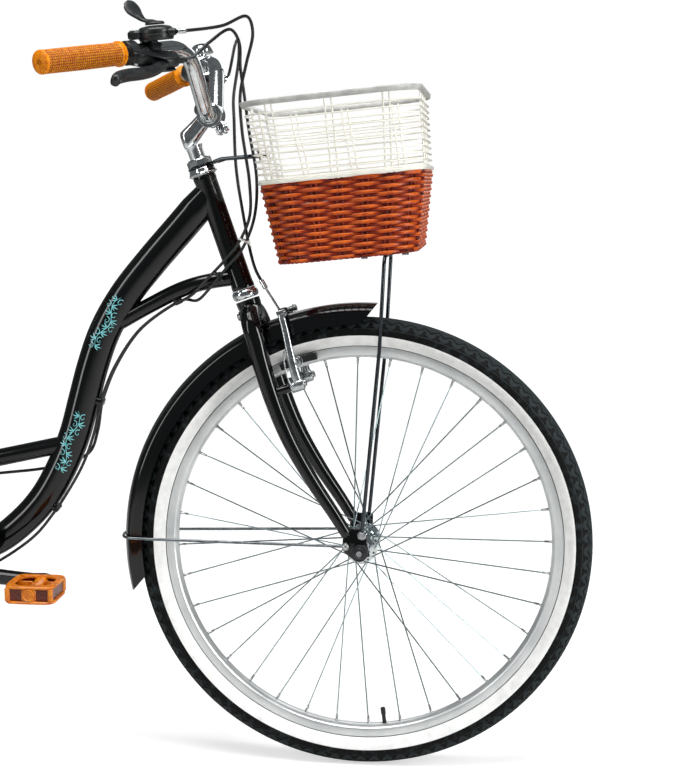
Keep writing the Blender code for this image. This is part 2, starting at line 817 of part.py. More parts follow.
def stay_pieces():
    """Chain stays with the dropouts, and seat stays with their brake studs."""
    dropouts = []
    for side in (-1.0, 1.0):
        centre = rear_hub + side * (rear_dropout_inner + dropout_thickness / 2.0) * LEFT
        outline = [(-0.017, -0.012), (0.018, -0.013), (0.034, -0.009), (0.034, 0.004),
                   (0.016, 0.014), (0.008, 0.021), (-0.010, 0.0215), (-0.0165, 0.0165),
                   (-0.0165, 0.008)]
        dropouts.append(plate(outline, dropout_thickness,
                              frame_matrix(centre, Vector((1.0, 0.0, 0.0)), UP, -LEFT)))
    axle_hole = cylinder(rear_hub - 0.1 * LEFT, rear_hub + 0.1 * LEFT, axle_radius + gap, 10)
    middle = chain_bridge()
    bridge = cylinder(middle - 0.030 * LEFT, middle + 0.030 * LEFT, 0.0070, 8)
    stays = [rod(chain_stay_path(side), stay_radius, 8) for side in (-1.0, 1.0)]
    piece("frame_chain_stays", "frame", stays[0], paint(), added=[stays[1], bridge] + dropouts,
          cut=[shell_solid(shell_radius + gap, 0.06), axle_hole])
    along = seat_stay_direction()
    arch = rear_hub + along * (fender_radius + 0.0062 + 2 * gap)
    upper = [rod(seat_stay_path(side), 0.0072, 8) for side in (-1.0, 1.0)]
    bridge = cylinder(arch - 0.040 * LEFT, arch + 0.040 * LEFT, 0.0062, 8)
    studs = [brake_boss(rear_brake_frame(), side) for side in (-1.0, 1.0)]
    clear = []
    for side in (-1.0, 1.0):
        centre = rear_hub + side * (rear_dropout_inner + dropout_thickness / 2.0) * LEFT
        clear.append(cylinder(centre - 0.02 * LEFT, centre + 0.02 * LEFT, 0.0247, 16))
    piece("frame_seat_stays", "frame", upper[0], paint(), added=[upper[1], bridge] + studs,
          cut=[seat_tube_solid(seat_tube_radius + gap, 0.0, 0.02)] + clear)


def headset_pieces():
    """The two bearing cups pressed on the head tube's ends."""
    bore = steerer_radius + 2 * gap
    low = head_bottom - lower_cup_height
    cup_low = [(bore, low), (cup_radius * 0.90, low), (cup_radius, low + 0.004),
               (cup_radius, head_bottom - 0.004), (head_tube_radius + 0.0012, head_bottom - gap),
               (bore, head_bottom - gap)]
    high = head_top + upper_cup_height
    cup_high = [(bore, head_top + gap), (head_tube_radius + 0.0022, head_top + gap),
                (cup_radius + 0.0016, head_top + 0.0015), (cup_radius, head_top + 0.0040),
                (cup_radius * 0.92, high), (bore, high)]
    for name, outline in (("headset_lower_cup", cup_low), ("headset_upper_cup", cup_high)):
        piece(name, "frame", turned_ring(outline, 16, steer_foot, steer_up), chrome())


# Fork


def blade_path():
    """Both fork blades in one line: up one side, over the crown and down the other."""
    top = fork_crown_height - 0.0175
    shoulder = rounded([on_steerer(top, 0.001, 0.0), on_steerer(top, 0.001, 0.0425),
                        on_steerer(top - 0.0415, 0.0, 0.0450)], [0.030], 3)
    lower = smooth([on_steerer(height * fork_stretch, ahead, left) for height, ahead, left in
                    ((0.300, -0.0025, 0.0462), (0.241, -0.0044, 0.0480), (0.180, -0.001, 0.0500),
                     (0.117, 0.0105, 0.0515), (0.060, 0.0250, 0.0525), (0.025, 0.0330, 0.0525))], 7)
    left = shoulder[1:-1] + lower
    right = [Vector((p.x, -p.y, p.z)) for p in reversed(left)]
    return right + [shoulder[0]] + left


def front_brake_frame():
    """Origin on the wheel's axle line, then the directions along the blades and out of them."""
    return steer_foot, steer_up, steer_forward


def rear_brake_frame():
    along = seat_stay_direction()
    out = Vector((-along.z, 0.0, along.x))
    return rear_hub, along, out


boss_out = 0.0400
boss_half_width = 0.0490
arm_out = 0.0370
pad_gap = 0.0016
pad_thickness = 0.0085


def brake_boss(brake_frame, side):
    """The pivot stud that carries one brake arm, standing out of its blade."""
    origin, along, out = brake_frame
    root = origin + along * boss_height + side * boss_half_width * LEFT
    return cylinder(root, root + out * boss_out, 0.0055, 8)


def fork_pieces():
    """The welded fork: steerer, crown, two blades, dropouts and brake bosses."""
    path = blade_path()
    half = len(path) // 2
    drop = blade_top_radius - blade_tip_radius
    radii = [blade_top_radius - drop * max(0.0, abs(i - half) - 4) / (half - 4)
             for i in range(len(path))]
    shapes = [rod(path, None, 8, aside=steer_forward, radii=radii)]
    for side in (-1.0, 1.0):
        centre = front_hub + side * (front_dropout_inner + dropout_thickness / 2.0) * LEFT
        outline = [(-0.011, -0.011), (0.011, -0.011), (0.0125, 0.006), (0.0165, 0.018),
                   (0.0100, 0.030), (-0.002, 0.036), (-0.013, 0.034), (-0.020, 0.018),
                   (-0.023, 0.011), (-0.020, 0.003)]
        shapes.append(plate(outline, dropout_thickness,
                            frame_matrix(centre, steer_forward, steer_up, -LEFT)))
        shapes.append(brake_boss(front_brake_frame(), side))
    steerer = cylinder(on_steerer(fork_crown_height - 0.026), on_steerer(steerer_top),
                       steerer_radius, 14)
    race = cylinder(on_steerer(fork_crown_height - 0.012), on_steerer(fork_crown_height), 0.0172, 14)
    bore = cylinder(on_steerer(fork_crown_height + 0.004), on_steerer(head_top + 0.05),
                    steerer_bore, 12)
    axle_hole = cylinder(front_hub - 0.1 * LEFT, front_hub + 0.1 * LEFT, axle_radius + gap, 10)
    piece("fork", "steering", steerer, paint(), added=[race] + shapes, cut=[bore, axle_hole])


def axle(name, body, hub, inner, overhang, hub_ends):
    """A threaded axle: locknuts inside the dropouts and nuts outside, right side then left."""
    shape = []
    end = inner + dropout_thickness + overhang
    for sign, hub_end in zip((-1.0, 1.0), hub_ends):
        half = [(0.0, end), (axle_radius, end), (axle_radius, end - 0.003), (0.0082, end - 0.003),
                (0.0082, end - 0.0115), (axle_radius, end - 0.0115), (axle_radius, inner - gap),
                (0.0080, inner - gap), (0.0080, hub_end + gap), (axle_radius, hub_end + gap)]
        half = [(r, sign * h) for r, h in half]
        shape += half if sign < 0 else reversed(half)
    piece(name, body, moved(lathe(shape, 8), axes(hub, LEFT, UP)), dark_steel())


# Handlebar


def bar_points():
    """The bar's corners on the left: clamp, foot of the rise, top of the rise and the end."""
    clamp = on_steerer(stem_height, stem_reach)
    return [clamp, clamp + Vector((0.0, 0.034, 0.0)),
            clamp + Vector((-0.011, bar_bend_half_width, bar_rise)),
            clamp + Vector((-bar_sweep_back, bar_half_width, bar_rise - 0.035))]


def grip_direction():
    points = bar_points()
    return (points[3] - points[2]).normalized()


def on_bar(side, inboard, rise=0.0, forward=0.0):
    """A point by the swept part of the bar, counted inboard from the grip's inner end."""
    outward = grip_direction()
    ahead = outward.cross(UP).normalized()
    over = ahead.cross(outward)
    if over.z < 0:
        over = -over
    if ahead.x < 0:
        ahead = -ahead
    place = bar_points()[3] - outward * (grip_length + inboard) + over * rise + ahead * forward
    return Vector((place.x, side * place.y, place.z))


def bar_axes(side, inboard):
    """The bar's frame at a place: local Z outboard, with local Y over the top."""
    here = on_bar(side, inboard)
    outward = on_bar(side, inboard - 0.01) - here
    over = on_bar(side, inboard, 0.01) - here
    return axes(here, outward, over)


def bar_pieces():
    """Handlebar, stem, grips and the locknut over the headset."""
    corners = bar_points()
    left = rounded(corners, [0.030, 0.058], 3)
    left[-1] = left[-1] - grip_direction() * 0.0035
    right = [Vector((p.x, -p.y, p.z)) for p in left]
    sleeve = cylinder(corners[0] - 0.0235 * LEFT, corners[0] + 0.0235 * LEFT, 0.0127, 14)
    piece("handlebar", "steering", rod(right[:0:-1] + left[1:], bar_radius, 10), chrome(),
          added=[sleeve])
    clamp = corners[0]
    root = on_steerer(stem_height - 0.012)
    barrel = cylinder(clamp - 0.0190 * LEFT, clamp + 0.0190 * LEFT, 0.0172, 14)
    arm = loft([[on_steerer(h, f, s) for f, s, h in ring] for ring in stem_rings()])
    quill = cylinder(on_steerer(head_top - 0.070), root, quill_radius, 12)
    pinch = frame_matrix(clamp - steer_up * 0.021 + steer_forward * 0.007, steer_forward, LEFT,
                         steer_up)
    ears = box((0, 0, 0), (0.012, 0.024, 0.018), pinch)
    bolt = cylinder(on_steerer(stem_height - 0.014), on_steerer(stem_height + 0.002), 0.0062, 8)
    hole = cylinder(clamp - 0.05 * LEFT, clamp + 0.05 * LEFT, 0.0127 + gap, 14)
    slit = box((0, 0, 0), (0.0018, 0.06, 0.030), pinch)
    piece("stem", "steering", quill, chrome(), added=[arm, barrel, ears, bolt], cut=[hole, slit])
    nut = cylinder(on_steerer(locknut_base), on_steerer(steerer_top), 0.0180, 8)
    bore = cylinder(on_steerer(locknut_base - 0.01), on_steerer(steerer_top + 0.01),
                    steerer_radius + gap, 14)
    piece("headset_locknut", "steering", nut, chrome(), cut=[bore])
    for name, side in (("grip_right", -1.0), ("grip_left", 1.0)):
        grip(name, side)


def stem_rings():
    """Sections of the stem's arm from its quill forwards to the clamp, as (forward, left, height)."""
    rings = []
    for forward, width, low, high in ((-0.0125, 0.008, -0.034, -0.012), (-0.006, 0.0125, -0.036, -0.006),
                                      (0.010, 0.0125, -0.026, 0.001), (0.030, 0.0110, -0.012, 0.011)):
        low += stem_height
        high += stem_height
        middle = (low + high) / 2.0
        ring = [(forward, -width * 0.7, low), (forward, width * 0.7, low), (forward, width, middle),
                (forward, width * 0.7, high), (forward, -width * 0.7, high), (forward, -width, middle)]
        rings.append(ring)
    return rings


def grip(name, side):
    """A rubber grip: sleeve with a flange at its inner end and a rounded, closed outer end."""
    bore = bar_radius / math.cos(math.pi / 12) + gap
    outline = [(0.0, grip_length - 0.0030), (bore, grip_length - 0.0030), (bore, 0.0),
               (grip_radius + 0.0018, 0.0), (grip_radius + 0.0018, 0.0040),
               (grip_radius - 0.0004, 0.0046), (grip_radius, grip_length * 0.5),
               (grip_radius - 0.0004, grip_length - 0.0060), (grip_radius - 0.0030, grip_length),
               (0.0, grip_length + 0.0004)]
    piece(name, "steering", moved(lathe(outline, 12), bar_axes(side, 0.0)), brown_rubber())


# Brake levers, shifter and bell


def lever_frame(side):
    """Where a brake lever stands: clamp centre, outboard, forward-down and upright directions."""
    inboard = 0.016 if side < 0 else 0.030
    tilt = math.radians(30.0 if side < 0 else 48.0)
    centre = on_bar(side, inboard)
    outward = (on_bar(side, inboard - 0.01) - centre).normalized()
    ahead = (on_bar(side, inboard, 0.0, 0.01) - centre).normalized()
    down = (on_bar(side, inboard, -0.01) - centre).normalized()
    reach = ahead * math.cos(tilt) + down * math.sin(tilt)
    return centre, outward, reach, reach.cross(outward).normalized()


def lever_pieces():
    """Lever brackets clamped to the bar, each with its lever on a pin."""
    for word, side in (("right", -1.0), ("left", 1.0)):
        centre, outward, reach, upright = lever_frame(side)

        def at(out, ahead, over=0.0):
            return centre + outward * out + reach * ahead + upright * over

        hinge = at(-0.036, 0.030)
        pivot("brake_lever_" + word, hinge, upright)
        band = tube_ring(at(-0.0075, 0), at(0.0075, 0), 0.0158, bar_radius + gap, 14)
        tall = 0.0072
        rings = []
        for near, far, ahead, half in ((-0.0072, 0.0072, 0.0125, 0.0060), (-0.050, -0.010, 0.0240, tall),
                                       (-0.0555, -0.016, 0.0310, tall), (-0.052, -0.027, 0.0390, tall)):
            rings.append([at(near, ahead, -half), at(far, ahead, -half), at(far, ahead, half),
                          at(near, ahead, half)])
        barrel = cylinder(at(-0.048, 0.0293), at(-0.071, 0.0300), 0.0048, 8)
        slot = box((0, 0, 0), (0.046, 0.060, 0.0096),
                   frame_matrix(at(-0.0235, 0.0505), outward, reach, upright))
        wire = cylinder(at(-0.040, 0.0290), at(-0.080, 0.0303), 0.0031, 8)
        pin_hole = cylinder(at(-0.036, 0.030, -0.02), at(-0.036, 0.030, 0.02), 0.0026, 8)
        piece("brake_bracket_" + word, "steering", band, black_plastic(), added=[loft(rings), barrel],
              cut=[slot, pin_hole, wire])
        blade_points = [(-0.036, 0.030), (-0.020, 0.0395), (0.000, 0.0480), (0.022, 0.0515),
                        (0.046, 0.0515), (0.066, 0.0550), (0.077, 0.0620)]
        widths = [0.0056, 0.0060, 0.0056, 0.0052, 0.0052, 0.0052, 0.0044]
        heights = [0.0040, 0.0042, 0.0054, 0.0064, 0.0068, 0.0066, 0.0056]
        blade = sweep([at(o, a) for o, a in blade_points], circle(8, 1.0, TAU / 16), aside=upright,
                      scale=list(zip(widths, heights)))
        eye = cylinder(hinge - upright * 0.0043, hinge + upright * 0.0043, 0.0072, 10)
        pin = cylinder(hinge - upright * 0.0072, hinge + upright * 0.0072, 0.0023, 8)
        piece("brake_lever_" + word, "brake_lever_" + word, blade, black_plastic(),
              added=[eye, pin])


def frame_matrix(origin, x, y, z):
    """A matrix from an origin and three directions."""
    matrix = Matrix((x, y, z)).transposed().to_4x4()
    matrix.translation = origin
    return matrix


shifter_inboard = 0.052


def shifter_frame():
    """The shifter's frame: origin on the bar, local Z up through its round pod."""
    here = on_bar(-1.0, shifter_inboard)
    over = (on_bar(-1.0, shifter_inboard, 0.01) - here).normalized()
    ahead = (on_bar(-1.0, shifter_inboard, 0.0, 0.01) - here).normalized()
    return here, over, ahead, ahead.cross(over).normalized()


def shifter_pieces():
    """The thumb shifter on the right: band, round pod, window and paddle lever."""
    here, over, ahead, aside = shifter_frame()
    outward = (on_bar(-1.0, shifter_inboard - 0.01) - here).normalized()
    pod_base = here + over * 0.0130 + ahead * 0.0150
    pod = turned([(0.0, -0.001), (0.0218, 0.0), (0.0228, 0.0040), (0.0228, 0.0130),
                  (0.0195, 0.0165), (0.0, 0.0185)], 16, pod_base, over, outward)
    band = tube_ring(here - outward * 0.008, here + outward * 0.008, 0.0152, bar_radius + gap, 14)
    rib = box((0, 0, 0), (0.012, 0.012, 0.014),
              frame_matrix(here + over * 0.0140 + ahead * 0.006, ahead, outward, over))
    window_at = pod_base - ahead * 0.014 + outward * 0.019 + over * 0.008
    window = box((0, 0, 0), (0.020, 0.024, 0.011), frame_matrix(window_at, ahead, outward, over))
    out_at = pod_base + ahead * 0.020 - outward * 0.004 + over * 0.0085
    barrel = cylinder(out_at - ahead * 0.006, out_at + ahead * 0.014, 0.0046, 10)
    piece("shifter_body", "steering", pod, black_plastic(), added=[band, rib, window, barrel],
          cut=[cylinder(here - outward * 0.03, here + outward * 0.03, bar_radius + gap, 14, over)])
    top = pod_base + over * (0.0185 + 2 * gap)
    pivot("shift_lever", top, over)
    boss = turned([(0.0, 0.0), (0.0125, 0.0), (0.0125, 0.003), (0.0, 0.005)], 12, top, over, outward)
    path = [top + over * 0.002 - ahead * 0.004, top + over * 0.0060 - ahead * 0.014 + outward * 0.004,
            top + over * 0.0120 - ahead * 0.020 + outward * 0.007,
            top + over * 0.0200 - ahead * 0.026 + outward * 0.010,
            top + over * 0.0290 - ahead * 0.031 + outward * 0.013,
            top + over * 0.0330 - ahead * 0.034 + outward * 0.015]
    paddle = sweep(path, circle(8), aside=outward,
                   scale=[(0.0022, 0.0050), (0.0024, 0.0045), (0.0026, 0.0095),
                          (0.0026, 0.0132), (0.0024, 0.0110), (0.0016, 0.0040)])
    piece("shift_lever", "shift_lever", boss, black_plastic(), added=[paddle])


def bell_pieces():
    """The small bell on the left: band, dome and its thumb striker."""
    inboard = 0.070
    here = on_bar(1.0, inboard)
    over = (on_bar(1.0, inboard, 0.01) - here).normalized()
    outward = (on_bar(1.0, inboard - 0.01) - here).normalized()
    ahead = (on_bar(1.0, inboard, 0.0, 0.01) - here).normalized()
    band = tube_ring(here - outward * 0.0048, here + outward * 0.0048, 0.0140, bar_radius + gap, 14)
    stalk = cylinder(here + over * 0.0130, here + over * 0.0230, 0.0038, 8)
    dome = turned([(0.0, 0.0210), (0.0168, 0.0202), (0.0160, 0.0262), (0.0100, 0.0320),
                   (0.0, 0.0342)], 14, here, over, outward)
    piece("bell", "steering", band, chrome(), added=[stalk, dome])
    low = here + over * 0.0152
    pivot("bell_striker", low, over)
    collar = tube_ring(low, low + over * 0.0022, 0.0066, 0.0038 + gap, 8)
    arm = rod([low + over * 0.0011 - ahead * 0.0050, low + over * 0.0011 - ahead * 0.0150,
               low + over * 0.0016 - ahead * 0.0215 + outward * 0.004], 0.0013, 5)
    tip = low - ahead * 0.0225 + outward * 0.0045
    knob = turned([(0.0, -0.0022), (0.0034, -0.0010), (0.0034, 0.0036), (0.0, 0.0048)], 8, tip, over,
                  outward)
    piece("bell_striker", "bell_striker", collar, chrome(), added=[arm, knob])


# Brakes


def brake_pieces(name, brake_frame, hub, noodle_side):
    """One linear-pull brake: two arms on their studs, each with a pad beside the rim."""
    origin, along, out = brake_frame
    hub_out = (hub - origin).dot(out)
    for word, side in (("right", -1.0), ("left", 1.0)):

        def at(height, aside, ahead=arm_out):
            return origin + along * height + side * aside * LEFT + out * ahead

        foot = at(boss_height, boss_half_width)
        pivot(name + "_brake_arm_" + word, foot, side * LEFT.cross(along))
        line = [(boss_height - 0.006, boss_half_width, arm_out),
                (boss_height + 0.018, 0.0505, arm_out + 0.001),
                (boss_height + 0.050, 0.0490, arm_out + 0.004),
                (boss_height + 0.080, 0.0445, arm_out + 0.007),
                (boss_height + 0.102, 0.0405, arm_out + 0.008)]
        arm = sweep([at(*p) for p in line], circle(6, 1.0, TAU / 12), aside=out,
                    scale=[(0.0056, 0.0058), (0.0064, 0.0060), (0.0054, 0.0054), (0.0046, 0.0050),
                           (0.0040, 0.0046)])
        eye = cylinder(foot - out * 0.0110, foot + out * 0.0085, 0.0092, 8)
        bore = cylinder(foot - out * 0.05, foot + out * 0.0046, 0.0055 + gap, 8)
        pad_ahead = arm_out + 0.006
        pad_up = math.sqrt((rim_outer_radius - 0.0058) ** 2 - (pad_ahead - hub_out) ** 2)
        holder = box((0, 0, 0), (0.0120, 0.020, 0.0130),
                     frame_matrix(at(pad_up, 0.0380, arm_out + 0.001), out, LEFT, along))
        post = cylinder(at(pad_up, 0.0180, pad_ahead), at(pad_up, 0.0560, pad_ahead), 0.0033, 6)
        ray = (at(pad_up, 0.0, pad_ahead) - hub).normalized()
        face = rim_half_width + pad_gap
        outline = [(-0.027, -0.0035), (-0.024, -0.0052), (0.024, -0.0052), (0.027, -0.0035),
                   (0.027, 0.0035), (0.024, 0.0050), (-0.024, 0.0050), (-0.027, 0.0035)]
        pad_at = at(pad_up, face + pad_thickness / 2.0, pad_ahead)
        tangent = LEFT.cross(ray)
        pad = plate(outline, pad_thickness, frame_matrix(pad_at, tangent, ray, tangent.cross(ray)))
        added = [eye, holder, post]
        if side == noodle_side:
            head = at(boss_height + 0.103, 0.0405, arm_out + 0.008)
            added.append(box((0, 0, 0), (0.0110, 0.0200, 0.0070),
                             frame_matrix(head - side * 0.004 * LEFT, out, LEFT, along)))
        else:
            head = at(boss_height + 0.100, 0.0410, arm_out + 0.008)
            added.append(cylinder(head - out * 0.0100, head + out * 0.0125, 0.0046, 6))
        cuts = [bore, larger_pad(pad_at, tangent, ray)]
        if name == "rear":
            added.append(pad)
            cuts = [bore]
        else:
            piece(name + "_brake_pad_" + word, name + "_brake_arm_" + word, pad, black_rubber())
        piece(name + "_brake_arm_" + word, name + "_brake_arm_" + word, arm, alloy(),
              added=added, cut=cuts)


def larger_pad(place, tangent, ray):
    """The space of a brake pad with the usual gap round it."""
    return box((0, 0, 0), (0.054 + 2 * gap, 0.0104 + 2 * gap, pad_thickness + 2 * gap),
               frame_matrix(place, tangent, ray, tangent.cross(ray)))


# Drive train


def gear_outline(teeth, addendum=0.0028, root=0.0042):
    """A toothed wheel's outline: a tip and a hollow for each tooth, round its pitch circle."""
    outline = []
    for k in range(2 * teeth):
        radius = pitch_circle(teeth) + (addendum if k % 2 == 0 else -root)
        angle = math.pi * k / teeth
        outline.append((radius * math.cos(angle), radius * math.sin(angle)))
    return outline


def pitch_circle(teeth):
    return chain_pitch / (2.0 * math.sin(math.pi / teeth))


def ring_plate(outline, hole_radius, half, place):
    """A flat ring between a toothed outline and a round hole, sharing its corner count."""
    hole = [(hole_radius * math.cos(math.atan2(y, x)), hole_radius * math.sin(math.atan2(y, x)))
            for x, y in outline]
    return plate(outline, 2.0 * half, axes(place, LEFT, UP), hole)


def crank_arm(side):
    """A crank arm kicked outwards from the axle to the pedal, along +X on the right side."""
    forward = 1.0 if side < 0 else -1.0
    near = crank_outer_face - 0.0270
    stations = [(-0.012, near - 0.013, 0.0150, 0.0110), (0.010, near - 0.013, 0.0155, 0.0110),
                (0.050, near - 0.006, 0.0125, 0.0080), (0.110, near + 0.010, 0.0105, 0.0070),
                (0.152, crank_outer_face - 0.0075, 0.0098, 0.0068),
                (0.178, crank_outer_face - 0.0070, 0.0088, 0.0062)]
    rings = []
    for x, y, tall, thick in stations:
        ring = []
        for a, b in ((1, 0.55), (0.6, 1), (-0.6, 1), (-1, 0.55), (-1, -0.55), (-0.6, -1), (0.6, -1),
                     (1, -0.55)):
            ring.append(bottom_bracket + Vector((forward * x, side * (y + thick * b), tall * a)))
        rings.append(ring)
    return loft(rings)


def crank_pieces():
    """The crank axle with the left arm, the right arm with the chainring, and the pedals."""
    pivot("crank", bottom_bracket, LEFT)
    axle_half = crank_outer_face - 0.045
    spindle = cylinder(bottom_bracket - axle_half * LEFT, bottom_bracket + axle_half * LEFT,
                       crank_axle_radius, 12)
    added = {}
    for side in (-1.0, 1.0):
        boss = cylinder(bottom_bracket + side * (shell_half_width + 0.005) * LEFT,
                        bottom_bracket + side * (crank_outer_face - 0.028) * LEFT, 0.0165, 14)
        root = pedal_place(side)
        stub = cylinder(root - side * 0.008 * LEFT, root + side * 0.0600 * LEFT, 0.0050, 8)
        collar = cylinder(root - side * 0.008 * LEFT, root + side * 0.0045 * LEFT, 0.0085, 8)
        added[side] = [boss, crank_arm(side), stub, collar]
    socket = cylinder(bottom_bracket, bottom_bracket - (axle_half + gap) * LEFT,
                      crank_axle_radius + gap, 12)
    piece("crank_left", "crank", spindle, paint(), added=added[1.0])
    ring_at = bottom_bracket - chain_line * LEFT
    ring = plate(gear_outline(chainring_teeth), 2.0 * tooth_half_thickness, axes(ring_at, LEFT, UP))
    holes = []
    for k in range(5):
        angle = TAU * (k + 0.5) / 5.0
        centre = ring_at + 0.0450 * Vector((math.cos(angle), 0.0, math.sin(angle)))
        holes.append(cylinder(centre - 0.0025 * LEFT, centre + 0.0020 * LEFT, 0.0175, 8))
    disc = cylinder(ring_at - 0.0032 * LEFT, ring_at + 0.0032 * LEFT, 0.0215, 14)
    piece("crank_right", "crank", ring, paint(), added=[disc] + added[-1.0], cut=[socket] + holes)
    for word, side in (("right", -1.0), ("left", 1.0)):
        pedal(word, side)


def pedal_place(side):
    """The pedal's centre line where it leaves the crank's outer face."""
    forward = 1.0 if side < 0 else -1.0
    return bottom_bracket + Vector((forward * crank_length, side * crank_outer_face, 0.0))


def pedal(word, side):
    """A resin pedal cage round its spindle tube."""
    root = pedal_place(side)
    pivot("pedal_" + word, root, LEFT)
    middle = root + side * (0.0048 + pedal_width / 2.0) * LEFT
    half = pedal_length / 2.0
    tall = pedal_height / 2.0
    profile = [(half - 0.008, tall), (half, tall - 0.003), (half, -tall + 0.003), (half - 0.008, -tall),
               (-half + 0.008, -tall), (-half, -tall + 0.003), (-half, tall - 0.003),
               (-half + 0.008, tall)]
    block = plate(profile, pedal_width, axes(middle, LEFT, UP))
    cuts = []
    for x in (-1.0, 1.0):
        cuts.append(box((x * 0.0205, 0, 0), (0.0170, pedal_width - 0.012, 0.06),
                        Matrix.Translation(middle)))
        cuts.append(box((x * 0.0330, 0, 0), (0.020, pedal_width - 0.012, 0.0165),
                        Matrix.Translation(middle)))
        cuts.append(box((x * 0.0215, side * pedal_width / 2.0, 0), (0.0125, 0.03, 0.0130),
                        Matrix.Translation(middle)))
    spindle_hole = cylinder(root, root + side * 0.0604 * LEFT, 0.0050 / math.cos(math.pi / 8) + gap, 8)
    piece("pedal_" + word, "pedal_" + word, block, brown_resin(), cut=cuts + [spindle_hole])


def chain_piece():
    """The chain as a channel that runs round the chainring and the sprocket's teeth."""
    front = bottom_bracket - chain_line * LEFT
    back = rear_hub - chain_line * LEFT
    run = back - front
    turn = math.atan2(run.z, run.x)
    lean = math.acos((pitch_circle(chainring_teeth) - pitch_circle(sprocket_teeth)) / run.length)
    path = []
    for centre, teeth, first, last, steps in ((front, chainring_teeth, lean, TAU - lean, 14),
                                              (back, sprocket_teeth, -lean, lean, 9)):
        step = (last - first) / steps
        radius = pitch_circle(teeth) / math.cos(step / 2.0) ** 0.8
        for k in range(steps + 1):
            angle = turn + first + step * k
            path.append(centre + Vector((radius * math.cos(angle), 0.0, radius * math.sin(angle))))
    high = chain_half_height
    wide = chain_half_width
    slot = tooth_half_thickness + 0.0007
    section = [(high, -wide), (high, wide), (-high, wide), (-high, slot), (high - 0.0008, slot),
               (high - 0.0008, -slot), (-high, -slot), (-high, -wide)]
    outward = frames_along(path, True, LEFT)[3][0].dot(path[3] - front) > 0
    section = section if outward else [(-a, b) for a, b in section]
    piece("chain", "frame", sweep(path, section, closed=True, aside=LEFT), dark_steel())


def sprocket_piece():
    """The driven sprocket with its collar, turning on the rear axle beside the hub."""
    pivot("sprocket", rear_hub, LEFT)
    place = rear_hub - chain_line * LEFT
    ring = ring_plate(gear_outline(sprocket_teeth), axle_radius + 0.0040, tooth_half_thickness, place)
    piece("sprocket", "sprocket", ring, dark_steel())


# Basket


def basket_frame():
    """The basket's own frame: origin in the middle of its floor, leaning with the floor."""
    lean = math.radians(basket_lean)
    forward = Vector((math.cos(lean), 0.0, math.sin(lean)))
    upwards = Vector((-math.sin(lean), 0.0, math.cos(lean)))
    corner = by_hub(basket_rear_x, 0.0, basket_floor_z)
    return frame_matrix(corner + forward * basket_floor[0], forward, LEFT, upwards)


def basket_ring(level, height, inset=0.0):
    """A rounded rectangle at a height; a level holds half length, half width and forward shift."""
    matrix = basket_frame()
    a = level[0] - inset
    b = level[1] - inset
    corner = basket_corner - inset
    ring = []
    for quarter, (sx, sy) in enumerate(((1, 1), (-1, 1), (-1, -1), (1, -1))):
        for k in range(4):
            angle = math.radians(90.0 * quarter + 30.0 * k)
            ring.append(matrix @ Vector((sx * (a - corner) + corner * math.cos(angle) + level[2],
                                         sy * (b - corner) + corner * math.sin(angle), height)))
    return ring


def basket_openings():
    """What is cut from the wire walls: a plain grid between rods and uprights.

    One set of boxes runs through both long walls, one through front and rear, and one
    through each rounded corner."""
    matrix = basket_frame()
    low = basket_band_height + gap + basket_rod
    pitch = (basket_height - 0.008 - low) / basket_rows
    tall = pitch - basket_rod
    a = basket_band[0] - basket_corner
    b = basket_band[1] - basket_corner
    wide = 2.0 * basket_rim[1] + 0.04
    long = 2.0 * basket_rim[0] + 0.04
    sides, ends, corners = [], [], []
    for row in range(basket_rows):
        height = low + pitch * row + tall / 2.0
        for k in (-0.5, 0.5):
            x = a * k + basket_band[2]
            sides.append(box((x, 0, height), (a - basket_rod, wide, tall), matrix))
        for k in (-1, 0, 1):
            y = b * k * 2.0 / 3.0
            ends.append(box((basket_band[2], y, height), (long, b * 2.0 / 3.0 - basket_rod, tall), matrix))
        for sx, sy in ((1, 1), (-1, 1), (-1, -1), (1, -1)):
            turn = math.atan2(sy, sx)
            reach = basket_corner + 0.004
            place = Vector((sx * a + basket_band[2] + reach * math.cos(turn),
                            sy * b + reach * math.sin(turn), height))
            spot = matrix @ Matrix.Translation(place) @ Matrix.Rotation(turn, 4, "Z")
            corners.append(box((0, 0, 0), (0.030, basket_corner, tall), spot))
    return [join(*sides), join(*ends), join(*corners)]


def basket_rear(height, side_y):
    """A point on the outside of the basket's rear wall, in its wire half."""
    share = (height - basket_band_height) / (basket_height - 0.008 - basket_band_height)
    half = basket_band[0] + (basket_rim[0] - basket_band[0]) * share
    shift = basket_band[2] + (basket_rim[2] - basket_band[2]) * share
    return basket_frame() @ Vector((shift - half, side_y, height))


